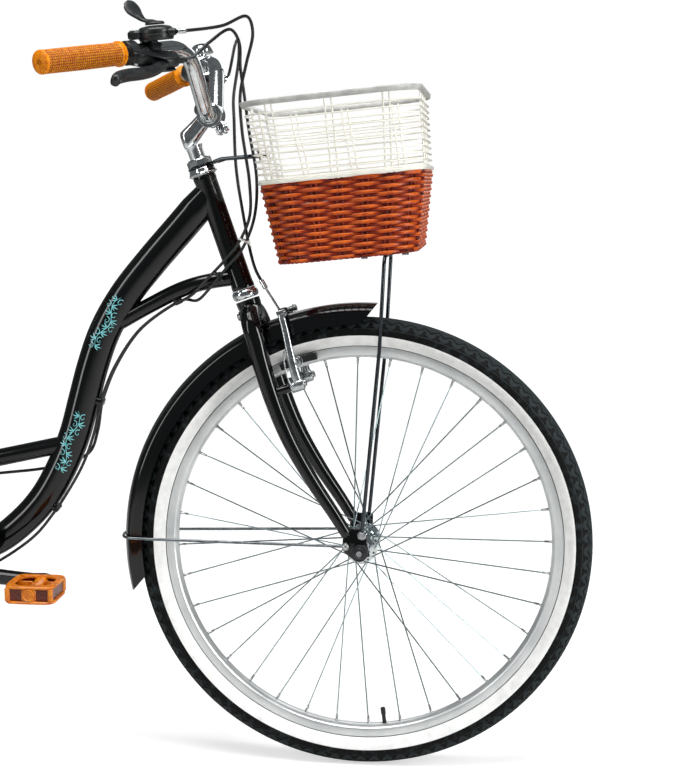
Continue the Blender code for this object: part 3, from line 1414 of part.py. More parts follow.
def basket_pieces():
    """Woven lower basket, wire upper basket, bracket to the headset and the two stays."""
    wall = basket_wall
    sections = [basket_ring(basket_floor, 0.0), basket_ring(basket_band, basket_band_height),
                basket_ring(basket_band, basket_band_height, wall),
                basket_ring(basket_floor, wall, wall)]
    piece("basket_lower", "steering", loft(sections), rattan())
    start = basket_band_height + gap
    top = basket_height
    sections = [basket_ring(basket_band, start), basket_ring(basket_rim, top - 0.008),
                basket_ring(basket_rim, top, -0.003), basket_ring(basket_rim, top + 0.004),
                basket_ring(basket_rim, top, 0.007), basket_ring(basket_rim, top - 0.008, 0.0040),
                basket_ring(basket_band, start, 0.0040)]
    piece("basket_upper", "steering", loft(sections, closed=True), cream_wire(),
          cut=basket_openings())
    base = on_steerer(bracket_height)
    ring = tube_ring(base, base + steer_up * bracket_plate, 0.0185, steerer_radius + gap, 16)
    tongue = frame_matrix(base + steer_up * (bracket_plate / 2.0) + steer_forward * 0.0205,
                          steer_forward, LEFT, steer_up)
    shapes = [box((0, 0, 0), (0.013, 0.0370, bracket_plate), tongue)]
    for side in (-1.0, 1.0):
        spot = basket_rear(0.150, side * 0.040)
        climb = (basket_rear(0.160, side * 0.040) - basket_rear(0.140, side * 0.040)).normalized()
        normal = climb.cross(LEFT)
        if normal.x < 0:
            normal = -normal
        foot = spot - normal * (gap + 0.0009)
        shapes.append(box((0, 0, 0), (0.0018, 0.016, 0.022), frame_matrix(foot, normal, LEFT, climb)))
        start = base + steer_up * (bracket_plate / 2.0) + side * 0.0155 * LEFT
        shapes.append(rod([start + steer_forward * 0.0235,
                           start + steer_forward * 0.0340 + side * 0.004 * LEFT,
                           foot - normal * 0.0002], 0.0022, 6))
    piece("basket_bracket", "steering", ring, dark_steel(), added=shapes)
    low = front_hub + Vector((0.003, 0.0, 0.0245))
    side_y = front_dropout_inner + dropout_thickness + 0.0008 + basket_stay_radius
    forward_x = 0.0320
    floor_z = basket_floor_z + (forward_x - basket_rear_x) * math.tan(math.radians(basket_lean))
    cross_z = floor_z - (basket_stay_radius + gap) / math.cos(math.radians(basket_lean))
    left = [low + side_y * LEFT - Vector((0.0005, 0.0, 0.004)), by_hub(0.026, 0.064, 0.613),
            by_hub(forward_x, 0.066, cross_z)]
    right = [Vector((p.x, -p.y, p.z)) for p in reversed(left)]
    stay = rod(rounded(left + right, [0.30, 0.014, 0.014, 0.30], 2), basket_stay_radius, 7)
    bolts = [cylinder(low + side * (front_dropout_inner + dropout_thickness + gap) * LEFT,
                      low + side * (side_y + 0.0062) * LEFT, 0.0036, 8) for side in (-1.0, 1.0)]
    piece("basket_stays", "steering", stay, dark_steel(), added=bolts)


# Fenders and stand


def fender_outline():
    """The fender's thin section: rounded crown, creased shoulder and straight skirt."""
    shoulder = [(0.0, 0.0), (-0.0025, 0.0145), (-0.0090, 0.0240), (-0.0290, fender_half_width)]
    inner = [(a - fender_sheet, b - (0.0 if b == 0.0 else fender_sheet)) for a, b in shoulder]
    inner[-1] = (shoulder[-1][0], fender_half_width - fender_sheet)
    outer = [(a, -b) for a, b in reversed(shoulder[1:])] + shoulder
    return outer + list(reversed(inner)) + [(a, -b) for a, b in inner[1:]]


def fender(centre, first, last, steps):
    """A fender's shell over part of a turn round a hub, its skirt towards the hub."""
    sections = []
    outline = fender_outline()
    for k in range(steps + 1):
        angle = math.radians(first + (last - first) * k / steps)
        ray = Vector((math.cos(angle), 0.0, math.sin(angle)))
        sections.append([centre + ray * (fender_radius + a) + b * LEFT for a, b in outline])
    return loft(sections)


def fender_crown(angle, first, last, steps):
    """The fender's real radius at an angle, where the flat between two of its rings lies."""
    step = math.radians((last - first) / steps)
    off = math.radians(angle - first) % step - step / 2.0
    return fender_radius * math.cos(step / 2.0) / math.cos(off)


def stay_wire(hub, angle, eye, eye_y, crown):
    """A wire stay: from one eye, over the fender's crown radius, to the other eye."""
    ray = Vector((math.cos(math.radians(angle)), 0.0, math.sin(math.radians(angle))))
    half = [hub + ray * crown]
    for back, aside in ((0.0014, 0.0125), (-0.0030, 0.0238), (-0.0110, 0.0298), (-0.0290, 0.0320)):
        half.append(hub + ray * (fender_radius + back) + aside * LEFT)
    half += [eye + (eye_y * LEFT) + (half[-1] - eye - eye_y * LEFT).normalized() * 0.002]
    right = [Vector((p.x, -p.y, p.z)) for p in reversed(half[1:])]
    return rod(right + half, wire_radius, 6, aside=LEFT.cross(ray))


def fender_pieces():
    """Front fender with its wire stay, and rear fender with a fixed stay."""
    tab = frame_matrix(on_steerer(fork_crown_height - 0.0290, -0.0170), steer_forward, LEFT, steer_up)
    bolt_height = fork_crown_height - 0.0200
    bolt = cylinder(on_steerer(bolt_height, -0.0165), on_steerer(bolt_height, -0.0215), 0.0038, 6)
    piece("front_fender", "steering", fender(front_hub, 86.8, 193.4, 12), paint(),
          added=[box((0, 0, 0), (0.0016, 0.0150, 0.0330), tab), bolt], smooth_angle=35)
    eye = front_hub + Vector((-0.0200, 0.0, 0.0075))
    face = front_dropout_inner + dropout_thickness + gap
    wire = stay_wire(front_hub, 179.2, eye, face + 0.0022, fender_radius + wire_radius + gap + 0.0001)
    eyes = [cylinder(eye + side * face * LEFT, eye + side * (face + 0.0044) * LEFT, 0.0048, 8)
            for side in (-1.0, 1.0)]
    piece("front_fender_stay", "steering", wire, dark_steel(), added=eyes)
    eye = rear_hub + Vector((-0.0150, 0.0, 0.0130))
    face = rear_dropout_inner + dropout_thickness + gap
    eyes = [cylinder(eye + side * face * LEFT, eye + side * (face + 0.0044) * LEFT, 0.0042, 8)
            for side in (-1.0, 1.0)]
    span = (4.0, 205.0, 18)
    crown = fender_crown(190.0, *span)
    wire = stay_wire(rear_hub, 190.0, eye, face + 0.0022, crown + wire_radius - 0.0003)
    rise = math.radians(4.3)
    end = rear_hub + (fender_radius - 0.0016) * Vector((math.cos(rise), 0.0, math.sin(rise)))
    bridge = chain_bridge() + Vector((-0.0088, 0.0, -0.004))
    middle = (end + bridge) / 2.0
    along = (end - bridge).normalized()
    tab = box((0, 0, 0), (0.0016, 0.0150, (end - bridge).length),
              frame_matrix(middle, LEFT.cross(along), LEFT, along))
    piece("rear_fender", "frame", fender(rear_hub, *span), paint(),
          added=[wire, tab] + eyes, smooth_angle=35)


def chain_bridge():
    """The middle of the short tube that joins the chain stays ahead of the wheel."""
    return bottom_bracket + Vector((-0.072, 0.0, 0.008))


def stand_pieces():
    """The rear stand: a hoop pivoting on the rear axle, its feet flat on the ground."""
    pivot("stand", rear_hub, LEFT)
    forward = math.sqrt(stand_radius ** 2 - wheel_radius ** 2)
    foot = Vector((rear_hub.x + forward, 0.0, stand_tube_radius + gap))
    down = (foot - rear_hub).normalized()
    eye_in = rear_dropout_inner + dropout_thickness + gap
    left = [rear_hub + down * 0.004 + (eye_in + stand_tube_radius + 0.0012) * LEFT,
            rear_hub + down * 0.090 + 0.0860 * LEFT, foot + stand_half_width * LEFT]
    right = [Vector((p.x, -p.y, p.z)) for p in reversed(left)]
    hoop = rod(rounded(left + right, [0.080, 0.030, 0.030, 0.080], 2), stand_tube_radius, 8)
    shapes = []
    bores = []
    for side in (-1.0, 1.0):
        inner = rear_hub + side * eye_in * LEFT
        shapes.append(cylinder(inner, inner + side * 0.0050 * LEFT, 0.0115, 10))
        shapes.append(box((foot.x, side * 0.085, 0.0070), (0.030, 0.040, 0.014)))
        bores.append(cylinder(rear_hub + side * 0.06 * LEFT, inner + side * 0.0050 * LEFT,
                              axle_radius + gap, 10))
        outer = inner + side * 0.0050 * LEFT
        bores.append(cylinder(outer, outer + side * 0.03 * LEFT, 0.0090, 10))
    piece("stand", "stand", hoop, paint(), added=shapes, cut=bores)


# Saddle


def saddle_point(x, y, z):
    """A point by the saddle: forwards, left and up from where its top meets the seat line."""
    return on_seat_tube(saddle_height) + Vector((x, y, z))


cushion_stations = ((0.150, 0.011, -0.013, -0.029), (0.145, 0.019, -0.004, -0.036),
                    (0.120, 0.0240, 0.001, -0.040), (0.070, 0.0300, 0.000, -0.043),
                    (0.020, 0.0470, -0.002, -0.046), (-0.030, 0.0800, 0.001, -0.050),
                    (-0.070, 0.1005, 0.008, -0.053), (-0.095, 0.1000, 0.010, -0.053),
                    (-0.108, 0.0860, 0.004, -0.048), (-0.112, 0.0600, -0.008, -0.040))


def cushion():
    """The saddle's soft top: crowned, with drawn-in sides and a shallow channel."""
    half = [(0.45, 1.0), (0.80, 0.87), (1.0, 0.52), (0.97, 0.20), (0.84, 0.0)]
    outline = [(0.0, 0.93)] + half + [(0.0, 0.0)] + [(-a, b) for a, b in reversed(half)]
    sections = [[saddle_point(x, a * wide, low + b * (high - low)) for a, b in outline]
                for x, wide, high, low in cushion_stations]
    return loft(sections)


def saddle_pan():
    """The stiff pan under the cushion."""
    sections = []
    for x, wide, high, low in cushion_stations[1:-1]:
        top = low - gap
        sections.append([saddle_point(x, a * wide * 0.80, top - b)
                         for a, b in ((1, 0.0), (1, 0.0040), (-1, 0.0040), (-1, 0.0))])
    return loft(sections)


def seat_pieces():
    """Seat post, cushion, pan, rails and the two coil springs, on the sliding post."""
    pivot("seat", on_seat_tube(seat_tube_length), seat_up)
    clamp = on_seat_tube(saddle_height - 0.080)
    local = clamp - on_seat_tube(saddle_height)
    rails = []
    discs = []
    for side in (-1.0, 1.0):
        line = [saddle_point(0.122, side * 0.0080, -0.0500), saddle_point(0.062, side * 0.0215, local.z),
                saddle_point(-0.014, side * 0.0215, local.z),
                saddle_point(-0.058, side * 0.0440, -0.1095), saddle_point(-0.086, side * 0.0520, -0.1095)]
        rails.append(rounded(line, [0.040, 0.030, 0.020], 2))
        discs.append(cylinder(saddle_point(-0.082, side * 0.0520, -0.1075),
                              saddle_point(-0.082, side * 0.0520, -0.1045), 0.0165, 10))
    hook = box((0, 0, 0), (0.012, 0.026, 0.0080), Matrix.Translation(saddle_point(0.121, 0, -0.0490)))
    piece("saddle_rails", "seat", rod(rails[0], 0.0034, 6), dark_steel(),
          added=[rod(rails[1], 0.0034, 6), hook] + discs)
    post = cylinder(on_seat_tube(0.250), clamp, seat_post_radius, 14)
    yoke = cylinder(clamp - 0.031 * LEFT, clamp + 0.031 * LEFT, 0.0150, 14)
    piece("seat_post", "seat", post, chrome(), added=[yoke],
          cut=[rod(line, 0.0034 + 2 * gap, 6) for line in rails])
    piece("saddle_cushion", "seat", cushion(), brown_leather(), smooth_angle=70)
    piece("saddle_pan", "seat", saddle_pan(), black_plastic())
    low = saddle_point(-0.082, 0.0, -0.1045 + gap)
    high = saddle_point(-0.082, 0.0, -0.0530 - gap - 0.0040 - gap)
    for word, side in (("right", -1.0), ("left", 1.0)):
        coil("saddle_spring_" + word, low + side * 0.052 * LEFT, high + side * 0.052 * LEFT)
    base = on_seat_tube(seat_tube_length - 0.016)
    ring = tube_ring(base, base + seat_up * 0.015, seat_tube_radius + 0.0042,
                     seat_tube_radius + gap, 16)
    ears = box((0, 0, 0), (0.014, 0.018, 0.0120),
               frame_matrix(base + seat_up * 0.0075 - seat_forward * 0.0215, seat_forward, LEFT, seat_up))
    bolt = cylinder(base + seat_up * 0.0075 - seat_forward * 0.0230 - 0.016 * LEFT,
                    base + seat_up * 0.0075 - seat_forward * 0.0230 + 0.016 * LEFT, 0.0040, 8)
    slit = box((0, 0, 0), (0.030, 0.0020, 0.0300),
               frame_matrix(base + seat_up * 0.0075 - seat_forward * 0.0285, seat_forward, LEFT, seat_up))
    piece("seat_clamp", "frame", ring, chrome(), added=[ears], cut=[slit])


def coil(name, low, high):
    """A compression spring: one unbroken wire with close end turns and an open middle."""
    per_turn = 8
    count = spring_turns * per_turn + 1
    rise = (high - low).length - 2.0 * spring_wire - 2.0 * gap
    end_pitch = 0.0052
    points = []
    for i in range(count):
        turn = i / per_turn
        middle = spring_turns - 2.0
        inner_pitch = (rise - 2.0 * end_pitch) / middle
        height = end_pitch * min(turn, 1.0) + inner_pitch * min(max(turn - 1.0, 0.0), middle)
        height += end_pitch * max(turn - 1.0 - middle, 0.0)
        angle = TAU * turn
        points.append(low + Vector((spring_radius * math.cos(angle), spring_radius * math.sin(angle),
                                    height + spring_wire + gap)))
    nearest = min((points[i] - points[j]).length for i in range(count)
                  for j in range(i + per_turn - 2, count))
    print(name, "least gap to itself (mm):", round((nearest - 2.0 * spring_wire) * 1000.0, 2))
    wire(name, "seat", points, spring_wire, chrome())


# Cables


def lever_exit(side, out):
    """A point on the line along which a cable leaves a brake lever's barrel."""
    centre, outward, reach, upright = lever_frame(side)
    return centre - outward * out + reach * (0.0290 + (out - 0.040) * 0.0325)


def shifter_exit(out):
    here, over, ahead, aside = shifter_frame()
    outward = (on_bar(-1.0, shifter_inboard - 0.01) - here).normalized()
    return here + over * 0.0215 + ahead * (0.0350 + out) - outward * 0.004


def under_tube(share, off, left):
    """A point below the main tube, a share of the way along it and off from its centre line."""
    path = main_tube_path(60)
    k = round(share * 59)
    along = (path[k + 1] - path[k - 1]).normalized()
    return path[k] + along.cross(LEFT) * off + left * LEFT


def cable_pieces():
    """Three housings, each whole along its real route and held by guides on the frame."""

    def through(place, along, out, left):
        middle = place + out * 0.0006 + left * LEFT
        return middle - along * 0.0080, middle + along * 0.0080

    brace_low, tube_high, tube_low = guide_places()
    below = main_tube_height / 2.0 + 0.0045
    shift = [(shifter_exit(0.0143), shifter_exit(0.026)), by_hub(-0.180, -0.118, 1.044),
             by_hub(-0.154, -0.072, 1.060), by_hub(-0.150, -0.053, 1.040), by_hub(-0.160, -0.047, 1.000),
             by_hub(-0.169, -0.044, 0.959), by_hub(-0.167, -0.043, 0.911), by_hub(-0.162, -0.0415, 0.875),
             by_hub(-0.158, -0.0360, 0.840), by_hub(-0.160, -0.0242, 0.792),
             by_hub(-0.178, -0.0200, 0.753),
             by_hub(-0.198, -0.0198, 0.729), by_hub(-0.226, -0.0175, 0.7000),
             by_hub(-0.243, -0.0125, 0.6830), through(*brace_low, -0.0031),
             by_hub(-0.323, -0.0031, 0.630), by_hub(-0.360, -0.0045, 0.576),
             through(*tube_high, -0.0052), under_tube(0.58, below, -0.0052),
             under_tube(0.65, below, -0.0052), through(*tube_low, -0.0052),
             under_tube(0.82, below, -0.0052), under_tube(0.90, below, -0.0060),
             bottom_bracket + Vector((0.012, -0.008, -0.0262)),
             bottom_bracket + Vector((-0.020, -0.009, -0.0250)),
             bottom_bracket + Vector((-0.060, -0.016, -0.0200)),
             bottom_bracket + Vector((-0.130, -0.0400, 0.0008)),
             bottom_bracket + Vector((-0.260, -0.0520, 0.0140)),
             rear_hub + Vector((0.080, -0.0720, -0.0150)), rear_hub + Vector((0.036, -0.0900, -0.0020))]
    cable("shift_cable", "frame", shift, 44, black_plastic())
    rear = [(lever_exit(-1.0, 0.067), lever_exit(-1.0, 0.080)), by_hub(-0.200, -0.112, 1.022),
            by_hub(-0.178, -0.064, 1.044), by_hub(-0.170, -0.044, 1.028), by_hub(-0.170, -0.036, 0.996),
            by_hub(-0.166, -0.031, 0.962), by_hub(-0.160, -0.026, 0.911), by_hub(-0.150, -0.0230, 0.845),
            by_hub(-0.154, -0.0212, 0.790), by_hub(-0.172, -0.0196, 0.7460),
            by_hub(-0.192, -0.0192, 0.7225), by_hub(-0.219, -0.0165, 0.6905),
            by_hub(-0.2380, -0.0080, 0.6735), through(*brace_low, 0.0031),
            by_hub(-0.323, 0.0031, 0.630), by_hub(-0.360, 0.0045, 0.576), through(*tube_high, 0.0052),
            by_hub(-0.3905, 0.0120, 0.4800), by_hub(-0.4060, 0.0215, 0.4460),
            by_hub(-0.4400, 0.0222, 0.4290), by_hub(-0.474, 0.0120, 0.4220),
            by_hub(-0.537, 0.0050, 0.4150), on_seat_tube(0.1126, 0.0506, 0.0110),
            on_seat_tube(0.1500, 0.0, 0.0182), on_seat_tube(0.2100, 0.0, 0.0182),
            on_seat_tube(seat_tube_length - 0.140, -0.004, 0.0186),
            on_seat_tube(seat_tube_length - 0.085, -0.020, 0.0140),
            on_seat_tube(seat_tube_length - 0.040, -0.045, 0.0080), on_brake(0.1800, 0.030, 0.012),
            on_brake(0.1620, 0.060, 0.030), on_brake(0.1350, 0.055, 0.041),
            on_brake(0.1120, 0.045, 0.0405)]
    cable("rear_brake_cable", "frame", rear, 46, black_plastic())
    front = [(lever_exit(1.0, 0.067), lever_exit(1.0, 0.080)), by_hub(-0.196, 0.075, 1.036),
             by_hub(-0.186, 0.046, 1.040), by_hub(-0.184, 0.034, 1.012), by_hub(-0.190, 0.024, 0.958),
             by_hub(-0.188, 0.016, 0.927), by_hub(-0.184, 0.006, 0.864), by_hub(-0.176, -0.002, 0.815),
             by_hub(-0.155, -0.012, 0.722), by_hub(-0.142, -0.018, 0.699),
             by_hub(-0.123, -0.034, 0.674), front_noodle_end()]
    cable("front_brake_cable", "steering", front, 20, black_plastic())


def on_brake(height, ahead, aside):
    """A point by the rear brake, counted up from its studs."""
    origin, along, out = rear_brake_frame()
    return origin + along * (boss_height + height) + out * ahead + aside * LEFT


def front_noodle_end():
    """Where the front brake's cable meets the top of the right arm."""
    origin, along, out = front_brake_frame()
    return origin + along * (boss_height + 0.1078) + out * (arm_out + 0.008) - 0.0405 * LEFT


def build():
    """Clear the scene and model the bicycle."""
    for old in list(bpy.data.objects):
        bpy.data.objects.remove(old)
    frame_pieces()
    headset_pieces()
    pivot("steering", steer_foot + steer_up * head_bottom, steer_up)
    fork_pieces()
    axle("front_axle", "steering", front_hub, front_dropout_inner, front_axle_overhang,
         (front_hub_half, front_hub_half))
    axle("rear_axle", "frame", rear_hub, rear_dropout_inner, rear_axle_overhang,
         (chain_line - 0.0030, rear_hub_half))
    bar_pieces()
    lever_pieces()
    shifter_pieces()
    bell_pieces()
    brake_pieces("front", front_brake_frame(), front_hub, -1.0)
    brake_pieces("rear", rear_brake_frame(), rear_hub, 1.0)
    crank_pieces()
    chain_piece()
    sprocket_piece()
    basket_pieces()
    fender_pieces()
    stand_pieces()
    seat_pieces()
    cable_pieces()
    wheel("front", front_hub, front_hub_half, front_hub_half, front_flange_offset, hub_barrel_radius)
    wheel("rear", rear_hub, rear_hub_half, chain_line - 0.0030, rear_flange_offset, 0.0240)


build()
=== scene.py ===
# %% [markdown]
# # A step-through city bicycle with a front basket
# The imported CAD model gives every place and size. This file dresses it: each visible piece is
# made again as a smooth surface worked out with numpy, and every finish is a node material.
# Lengths are metres, +X is forwards, +Y is the rider's left and +Z is up. Functions whose own
# text says millimetres take those instead, as on a workshop drawing.

# %%
import math

import bpy
import bmesh
import numpy as np
from mathutils import Matrix, Vector


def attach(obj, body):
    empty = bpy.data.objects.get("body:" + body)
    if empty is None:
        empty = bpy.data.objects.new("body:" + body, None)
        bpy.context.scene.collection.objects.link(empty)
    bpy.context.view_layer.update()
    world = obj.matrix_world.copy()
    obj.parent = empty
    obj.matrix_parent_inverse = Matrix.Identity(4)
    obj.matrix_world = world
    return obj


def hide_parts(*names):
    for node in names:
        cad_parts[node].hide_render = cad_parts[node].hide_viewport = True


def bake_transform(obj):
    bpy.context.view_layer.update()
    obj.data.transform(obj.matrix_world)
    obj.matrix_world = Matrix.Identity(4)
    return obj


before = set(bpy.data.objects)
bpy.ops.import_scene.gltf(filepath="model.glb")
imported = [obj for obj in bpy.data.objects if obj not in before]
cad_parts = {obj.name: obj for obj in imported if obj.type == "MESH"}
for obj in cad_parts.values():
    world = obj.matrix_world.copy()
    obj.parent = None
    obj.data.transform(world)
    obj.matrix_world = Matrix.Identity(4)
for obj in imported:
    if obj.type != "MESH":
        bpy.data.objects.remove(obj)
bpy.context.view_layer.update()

# %% [markdown]
# ## Places on the bicycle
# A bicycle is laid out from three lines: the wheel axles, the steering axis and the seat tube.
# The same named values as in the CAD source give every other place by a height along one of
# these lines and a distance away from it.

# %%
wheel_radius = 0.3265
front_hub = np.array([0.53675, 0.0, wheel_radius])
rear_hub = front_hub - [1.053, 0, 0]
bottom_bracket = rear_hub + [math.sqrt(0.445 ** 2 - 0.0435 ** 2), 0, -0.0435]
LEFT = np.array([0.0, 1.0, 0.0])
UP = np.array([0.0, 0.0, 1.0])
AHEAD = np.array([1.0, 0.0, 0.0])


def mm(rows):
    """Millimetres as an array of metres."""
    return np.array(rows, float) / 1000


def leaning(degrees):
    """The two directions of a tube that leans back: (-cos a, 0, sin a) up it, and ahead of it."""
    a = math.radians(degrees)
    return np.array([-math.cos(a), 0.0, math.sin(a)]), np.array([math.sin(a), 0.0, math.cos(a)])


steer_up, steer_forward = leaning(70.6)
seat_up, seat_forward = leaning(70.5)
fork_rake = 0.042
steer_foot = front_hub - fork_rake * steer_forward
print("steering axis foot", np.round(steer_foot, 4))


# %%
def by_hub(x, y, z):
    """Millimetres forwards and leftwards of the front hub, and up from the ground."""
    return mm([x, y, z]) + [front_hub[0], 0, 0]


def on_steerer(height, forward=0.0, left=0.0):
    """Foot of the steering axis + millimetres up it, ahead of it and to the left."""
    return steer_foot + mm([height, forward, left]) @ np.array([steer_up, steer_forward, LEFT])


def on_seat_tube(height, forward=0.0, left=0.0):
    """The same, counted from the bottom bracket along the seat tube."""
    return bottom_bracket + mm([height, forward, left]) @ np.array([seat_up, seat_forward, LEFT])


# %% [markdown]
# ## Shapes as arrays
# Nearly everything on a bicycle is a tube, a turned part or a flat plate. All three are one
# idea: a row of closed rings with a skin between them. A ring is an array of points, a shape
# is the skin's points and faces, and a piece is one or more shapes in one mesh.

# %%
def unit(v):
    """v / |v|, for one direction or for many."""
    return v / np.linalg.norm(v, axis=-1, keepdims=True)


def skin(rings, closed=False):
    """Quads between neighbouring rings of an (n, m, 3) array; polygons close its two ends."""
    n, m = rings.shape[:2]
    i = np.arange(n if closed else n - 1)[:, None]
    j = np.arange(m)[None, :]
    a, b = i * m, (i + 1) % n * m
    quads = np.stack([a + j, a + (j + 1) % m, b + (j + 1) % m, b + j], -1).reshape(-1, 4)
    faces = quads.tolist()
    if not closed:
        faces += [list(range(m))[::-1], list(range((n - 1) * m, n * m))]
    return rings.reshape(-1, 3), faces


def steps_round(count):
    """Angles at even steps of one turn."""
    return np.arange(count) * 2 * np.pi / count


def circle(sides, radius=1.0):
    """radius * (cos t, sin t) at even steps of t."""
    t = steps_round(sides)
    return radius * np.stack([np.cos(t), np.sin(t)], 1)


def smooth(points, count):
    """A centripetal Catmull-Rom curve through the points, read at even lengths along it."""
    table = np.array([tuple(p) for p in points])
    steps = np.linalg.norm(np.diff(table, axis=0), axis=1) ** 0.5
    knots = np.concatenate([[0.0], np.cumsum(steps)])
    table = np.vstack([2 * table[0] - table[1], table, 2 * table[-1] - table[-2]])
    knots = np.concatenate([[-steps[0]], knots, [knots[-1] + steps[-1]]])
    dense = []
    for k in range(1, len(table) - 2):
        t = np.linspace(knots[k], knots[k + 1], 24, endpoint=k == len(table) - 3)[:, None]
        line = [((knots[k + i] - t) * table[k + i - 1] + (t - knots[k + i - 1]) * table[k + i])
                / (knots[k + i] - knots[k + i - 1]) for i in range(3)]
        bend = [((knots[k + i + 1] - t) * line[i] + (t - knots[k + i - 1]) * line[i + 1])
                / (knots[k + i + 1] - knots[k + i - 1]) for i in range(2)]
        dense.append(((knots[k + 1] - t) * bend[0] + (t - knots[k]) * bend[1]) / (knots[k + 1] - knots[k]))
    dense = np.vstack(dense)
    return evenly(dense, count)


def evenly(line, count):
    """The same line read at even lengths."""
    run = np.concatenate([[0.0], np.cumsum(np.linalg.norm(np.diff(line, axis=0), axis=1))])
    at = np.linspace(0.0, run[-1], count)
    return np.stack([np.interp(at, run, line[:, k]) for k in range(line.shape[1])], 1)


def rounded(points, radii, steps=8):
    """Straight runs joined by arcs: an arc of radius r starts r / tan(half angle) before a corner."""
    path = [points[0]]
    for i in range(1, len(points) - 1):
        back, ahead = unit(points[i - 1] - points[i]), unit(points[i + 1] - points[i])
        half = math.acos(np.clip(back @ ahead, -1, 1)) / 2
        centre = points[i] + unit(back + ahead) * radii[i - 1] / math.sin(half)
        a = points[i] + back * radii[i - 1] / math.tan(half) - centre
        b = points[i] + ahead * radii[i - 1] / math.tan(half) - centre
        span = math.pi - 2 * half
        t = np.linspace(0.0, 1.0, steps + 1)[:, None]
        path.append(centre + (np.sin((1 - t) * span) * a + np.sin(t * span) * b) / math.sin(span))
    path.append(points[-1])
    return np.vstack([np.atleast_2d(p) for p in path])


# %%
def frames(path, aside=None, closed=False):
    """Normal and binormal at each point. With aside, the binormal stays as near to it as the
    tangent allows; without it, the frame is carried along without twisting."""
    if closed:
        tangent = unit(np.roll(path, -1, 0) - np.roll(path, 1, 0))
    else:
        tangent = unit(np.gradient(path, axis=0))
    if aside is None:
        binormal = np.empty_like(path)
        last = np.cross(tangent[0], [0.31, 0.52, 0.8])
        for i, t in enumerate(tangent):
            last = unit(last - t * (last @ t))
            binormal[i] = last
    else:
        binormal = unit(aside - tangent * (tangent @ np.asarray(aside))[:, None])
    return np.cross(binormal, tangent), binormal


def sweep(path, section, aside=None, scale=None, closed=False):
    """path(s) + u * normal(s) + v * binormal(s) for each (u, v) of the section, times a scale."""
    path = np.asarray(path, float)
    normal, binormal = frames(path, aside, closed)
    size = np.ones((len(path), 2)) if scale is None else np.asarray(scale, float)
    uv = np.asarray(section)[None] * size[:, None]
    rings = path[:, None] + uv[..., :1] * normal[:, None] + uv[..., 1:] * binormal[:, None]
    return skin(rings, closed)


def rod(path, radius, sides=12, aside=None, closed=False):
    """A round bar along a path, of one radius or of one for each point."""
    radius = np.broadcast_to(radius, len(path))
    return sweep(path, circle(sides), aside, np.stack([radius, radius], 1), closed)


def about(origin, along, aside=LEFT):
    """Three unit directions, the last one along, and their origin."""
    z = unit(np.asarray(along, float))
    if abs(z @ unit(np.asarray(aside, float))) > 0.99:
        aside = UP if abs(z[2]) < 0.9 else AHEAD
    y = unit(aside - z * (z @ aside))
    return np.asarray(origin, float), np.cross(y, z), y, z


def turned(outline, origin, along, sides=32, closed=False, aside=LEFT):
    """origin + z * h + r * (x cos t + y sin t) for each (r, h) of an outline in millimetres."""
    o, x, y, z = about(origin, along, aside)
    line = mm(outline)
    ring = circle(sides)
    flat = ring[:, :1] * x + ring[:, 1:] * y
    rings = o + line[:, 1, None, None] * z + line[:, 0, None, None] * flat[None]
    return skin(rings, closed)


def bar(start, end, radius, sides=16, bevel=0.0):
    """A straight round bar; its radius and the chamfer at its ends are in millimetres."""
    length = 1000 * np.linalg.norm(end - start)
    line = [(radius - bevel, 0.0), (radius, bevel), (radius, length - bevel), (radius - bevel, length)]
    return turned(line if bevel else [line[1], line[2]], start, end - start, sides)


def collar(start, end, outer, inner, sides=24, bevel=0.4):
    """A tube open at both ends with chamfered outer rims; radii and chamfer in millimetres."""
    length = 1000 * np.linalg.norm(end - start)
    line = [(inner, 0.0), (outer - bevel, 0.0), (outer, bevel), (outer, length - bevel),
            (outer - bevel, length), (inner, length)]
    return turned(line, start, end - start, sides, closed=True)


def plate(outline, thickness, origin, x, y, bevel=0.5):
    """A flat plate about its origin: outline in metres, thickness and chamfer in millimetres."""
    line, half, bevel = np.array(outline, float), thickness / 2000, bevel / 1000
    ahead, back = unit(np.roll(line, -1, 0) - line), unit(line - np.roll(line, 1, 0))
    out = np.stack([ahead[:, 1] + back[:, 1], -ahead[:, 0] - back[:, 0]], 1)
    out = out / np.maximum(1.0, (out ** 2).sum(1, keepdims=True) / 2.0)
    area = (line[:, 0] * np.roll(line[:, 1], -1) - line[:, 1] * np.roll(line[:, 0], -1)).sum()
    inner = line - np.sign(area) * out * bevel
    z = np.cross(x, y)
    rings = [origin + p[:, :1] * x + p[:, 1:] * y + h * z for p, h in ((inner, -half), (line, bevel - half),
        (line, half - bevel), (inner, half))]
    return skin(np.array(rings))


def slab(size, origin, x, y, bevel=0.8, corner=0.25):
    """A block with clipped corners: a plate whose outline is a rectangle, in millimetres."""
    a, b = size[0] / 2000, size[1] / 2000
    c = corner * min(a, b)
    outline = [(a, b - c), (a - c, b), (c - a, b), (-a, b - c), (-a, c - b), (c - a, -b), (a - c, -b),
               (a, c - b)]
    return plate(outline[::-1], size[2], origin, x, y, bevel)


print("shape helpers ready")

# %% [markdown]
# ## From arrays to pieces
# A piece joins its shapes in one mesh at the origin, turns its faces outwards, rides on its
# CAD body and hides the CAD nodes it stands for. Where a pattern needs them, named numbers on
# its points say how deep in a groove or how far out of the weave they lie.

# %%
made = {}


def joined(shapes):
    """The shapes' points one after another, with each shape's faces counted on from there."""
    starts = np.cumsum([0] + [len(s[0]) for s in shapes])
    points = np.vstack([s[0] for s in shapes])
    faces = [[start + i for i in face] for start, s in zip(starts, shapes) for face in s[1]]
    return points, faces


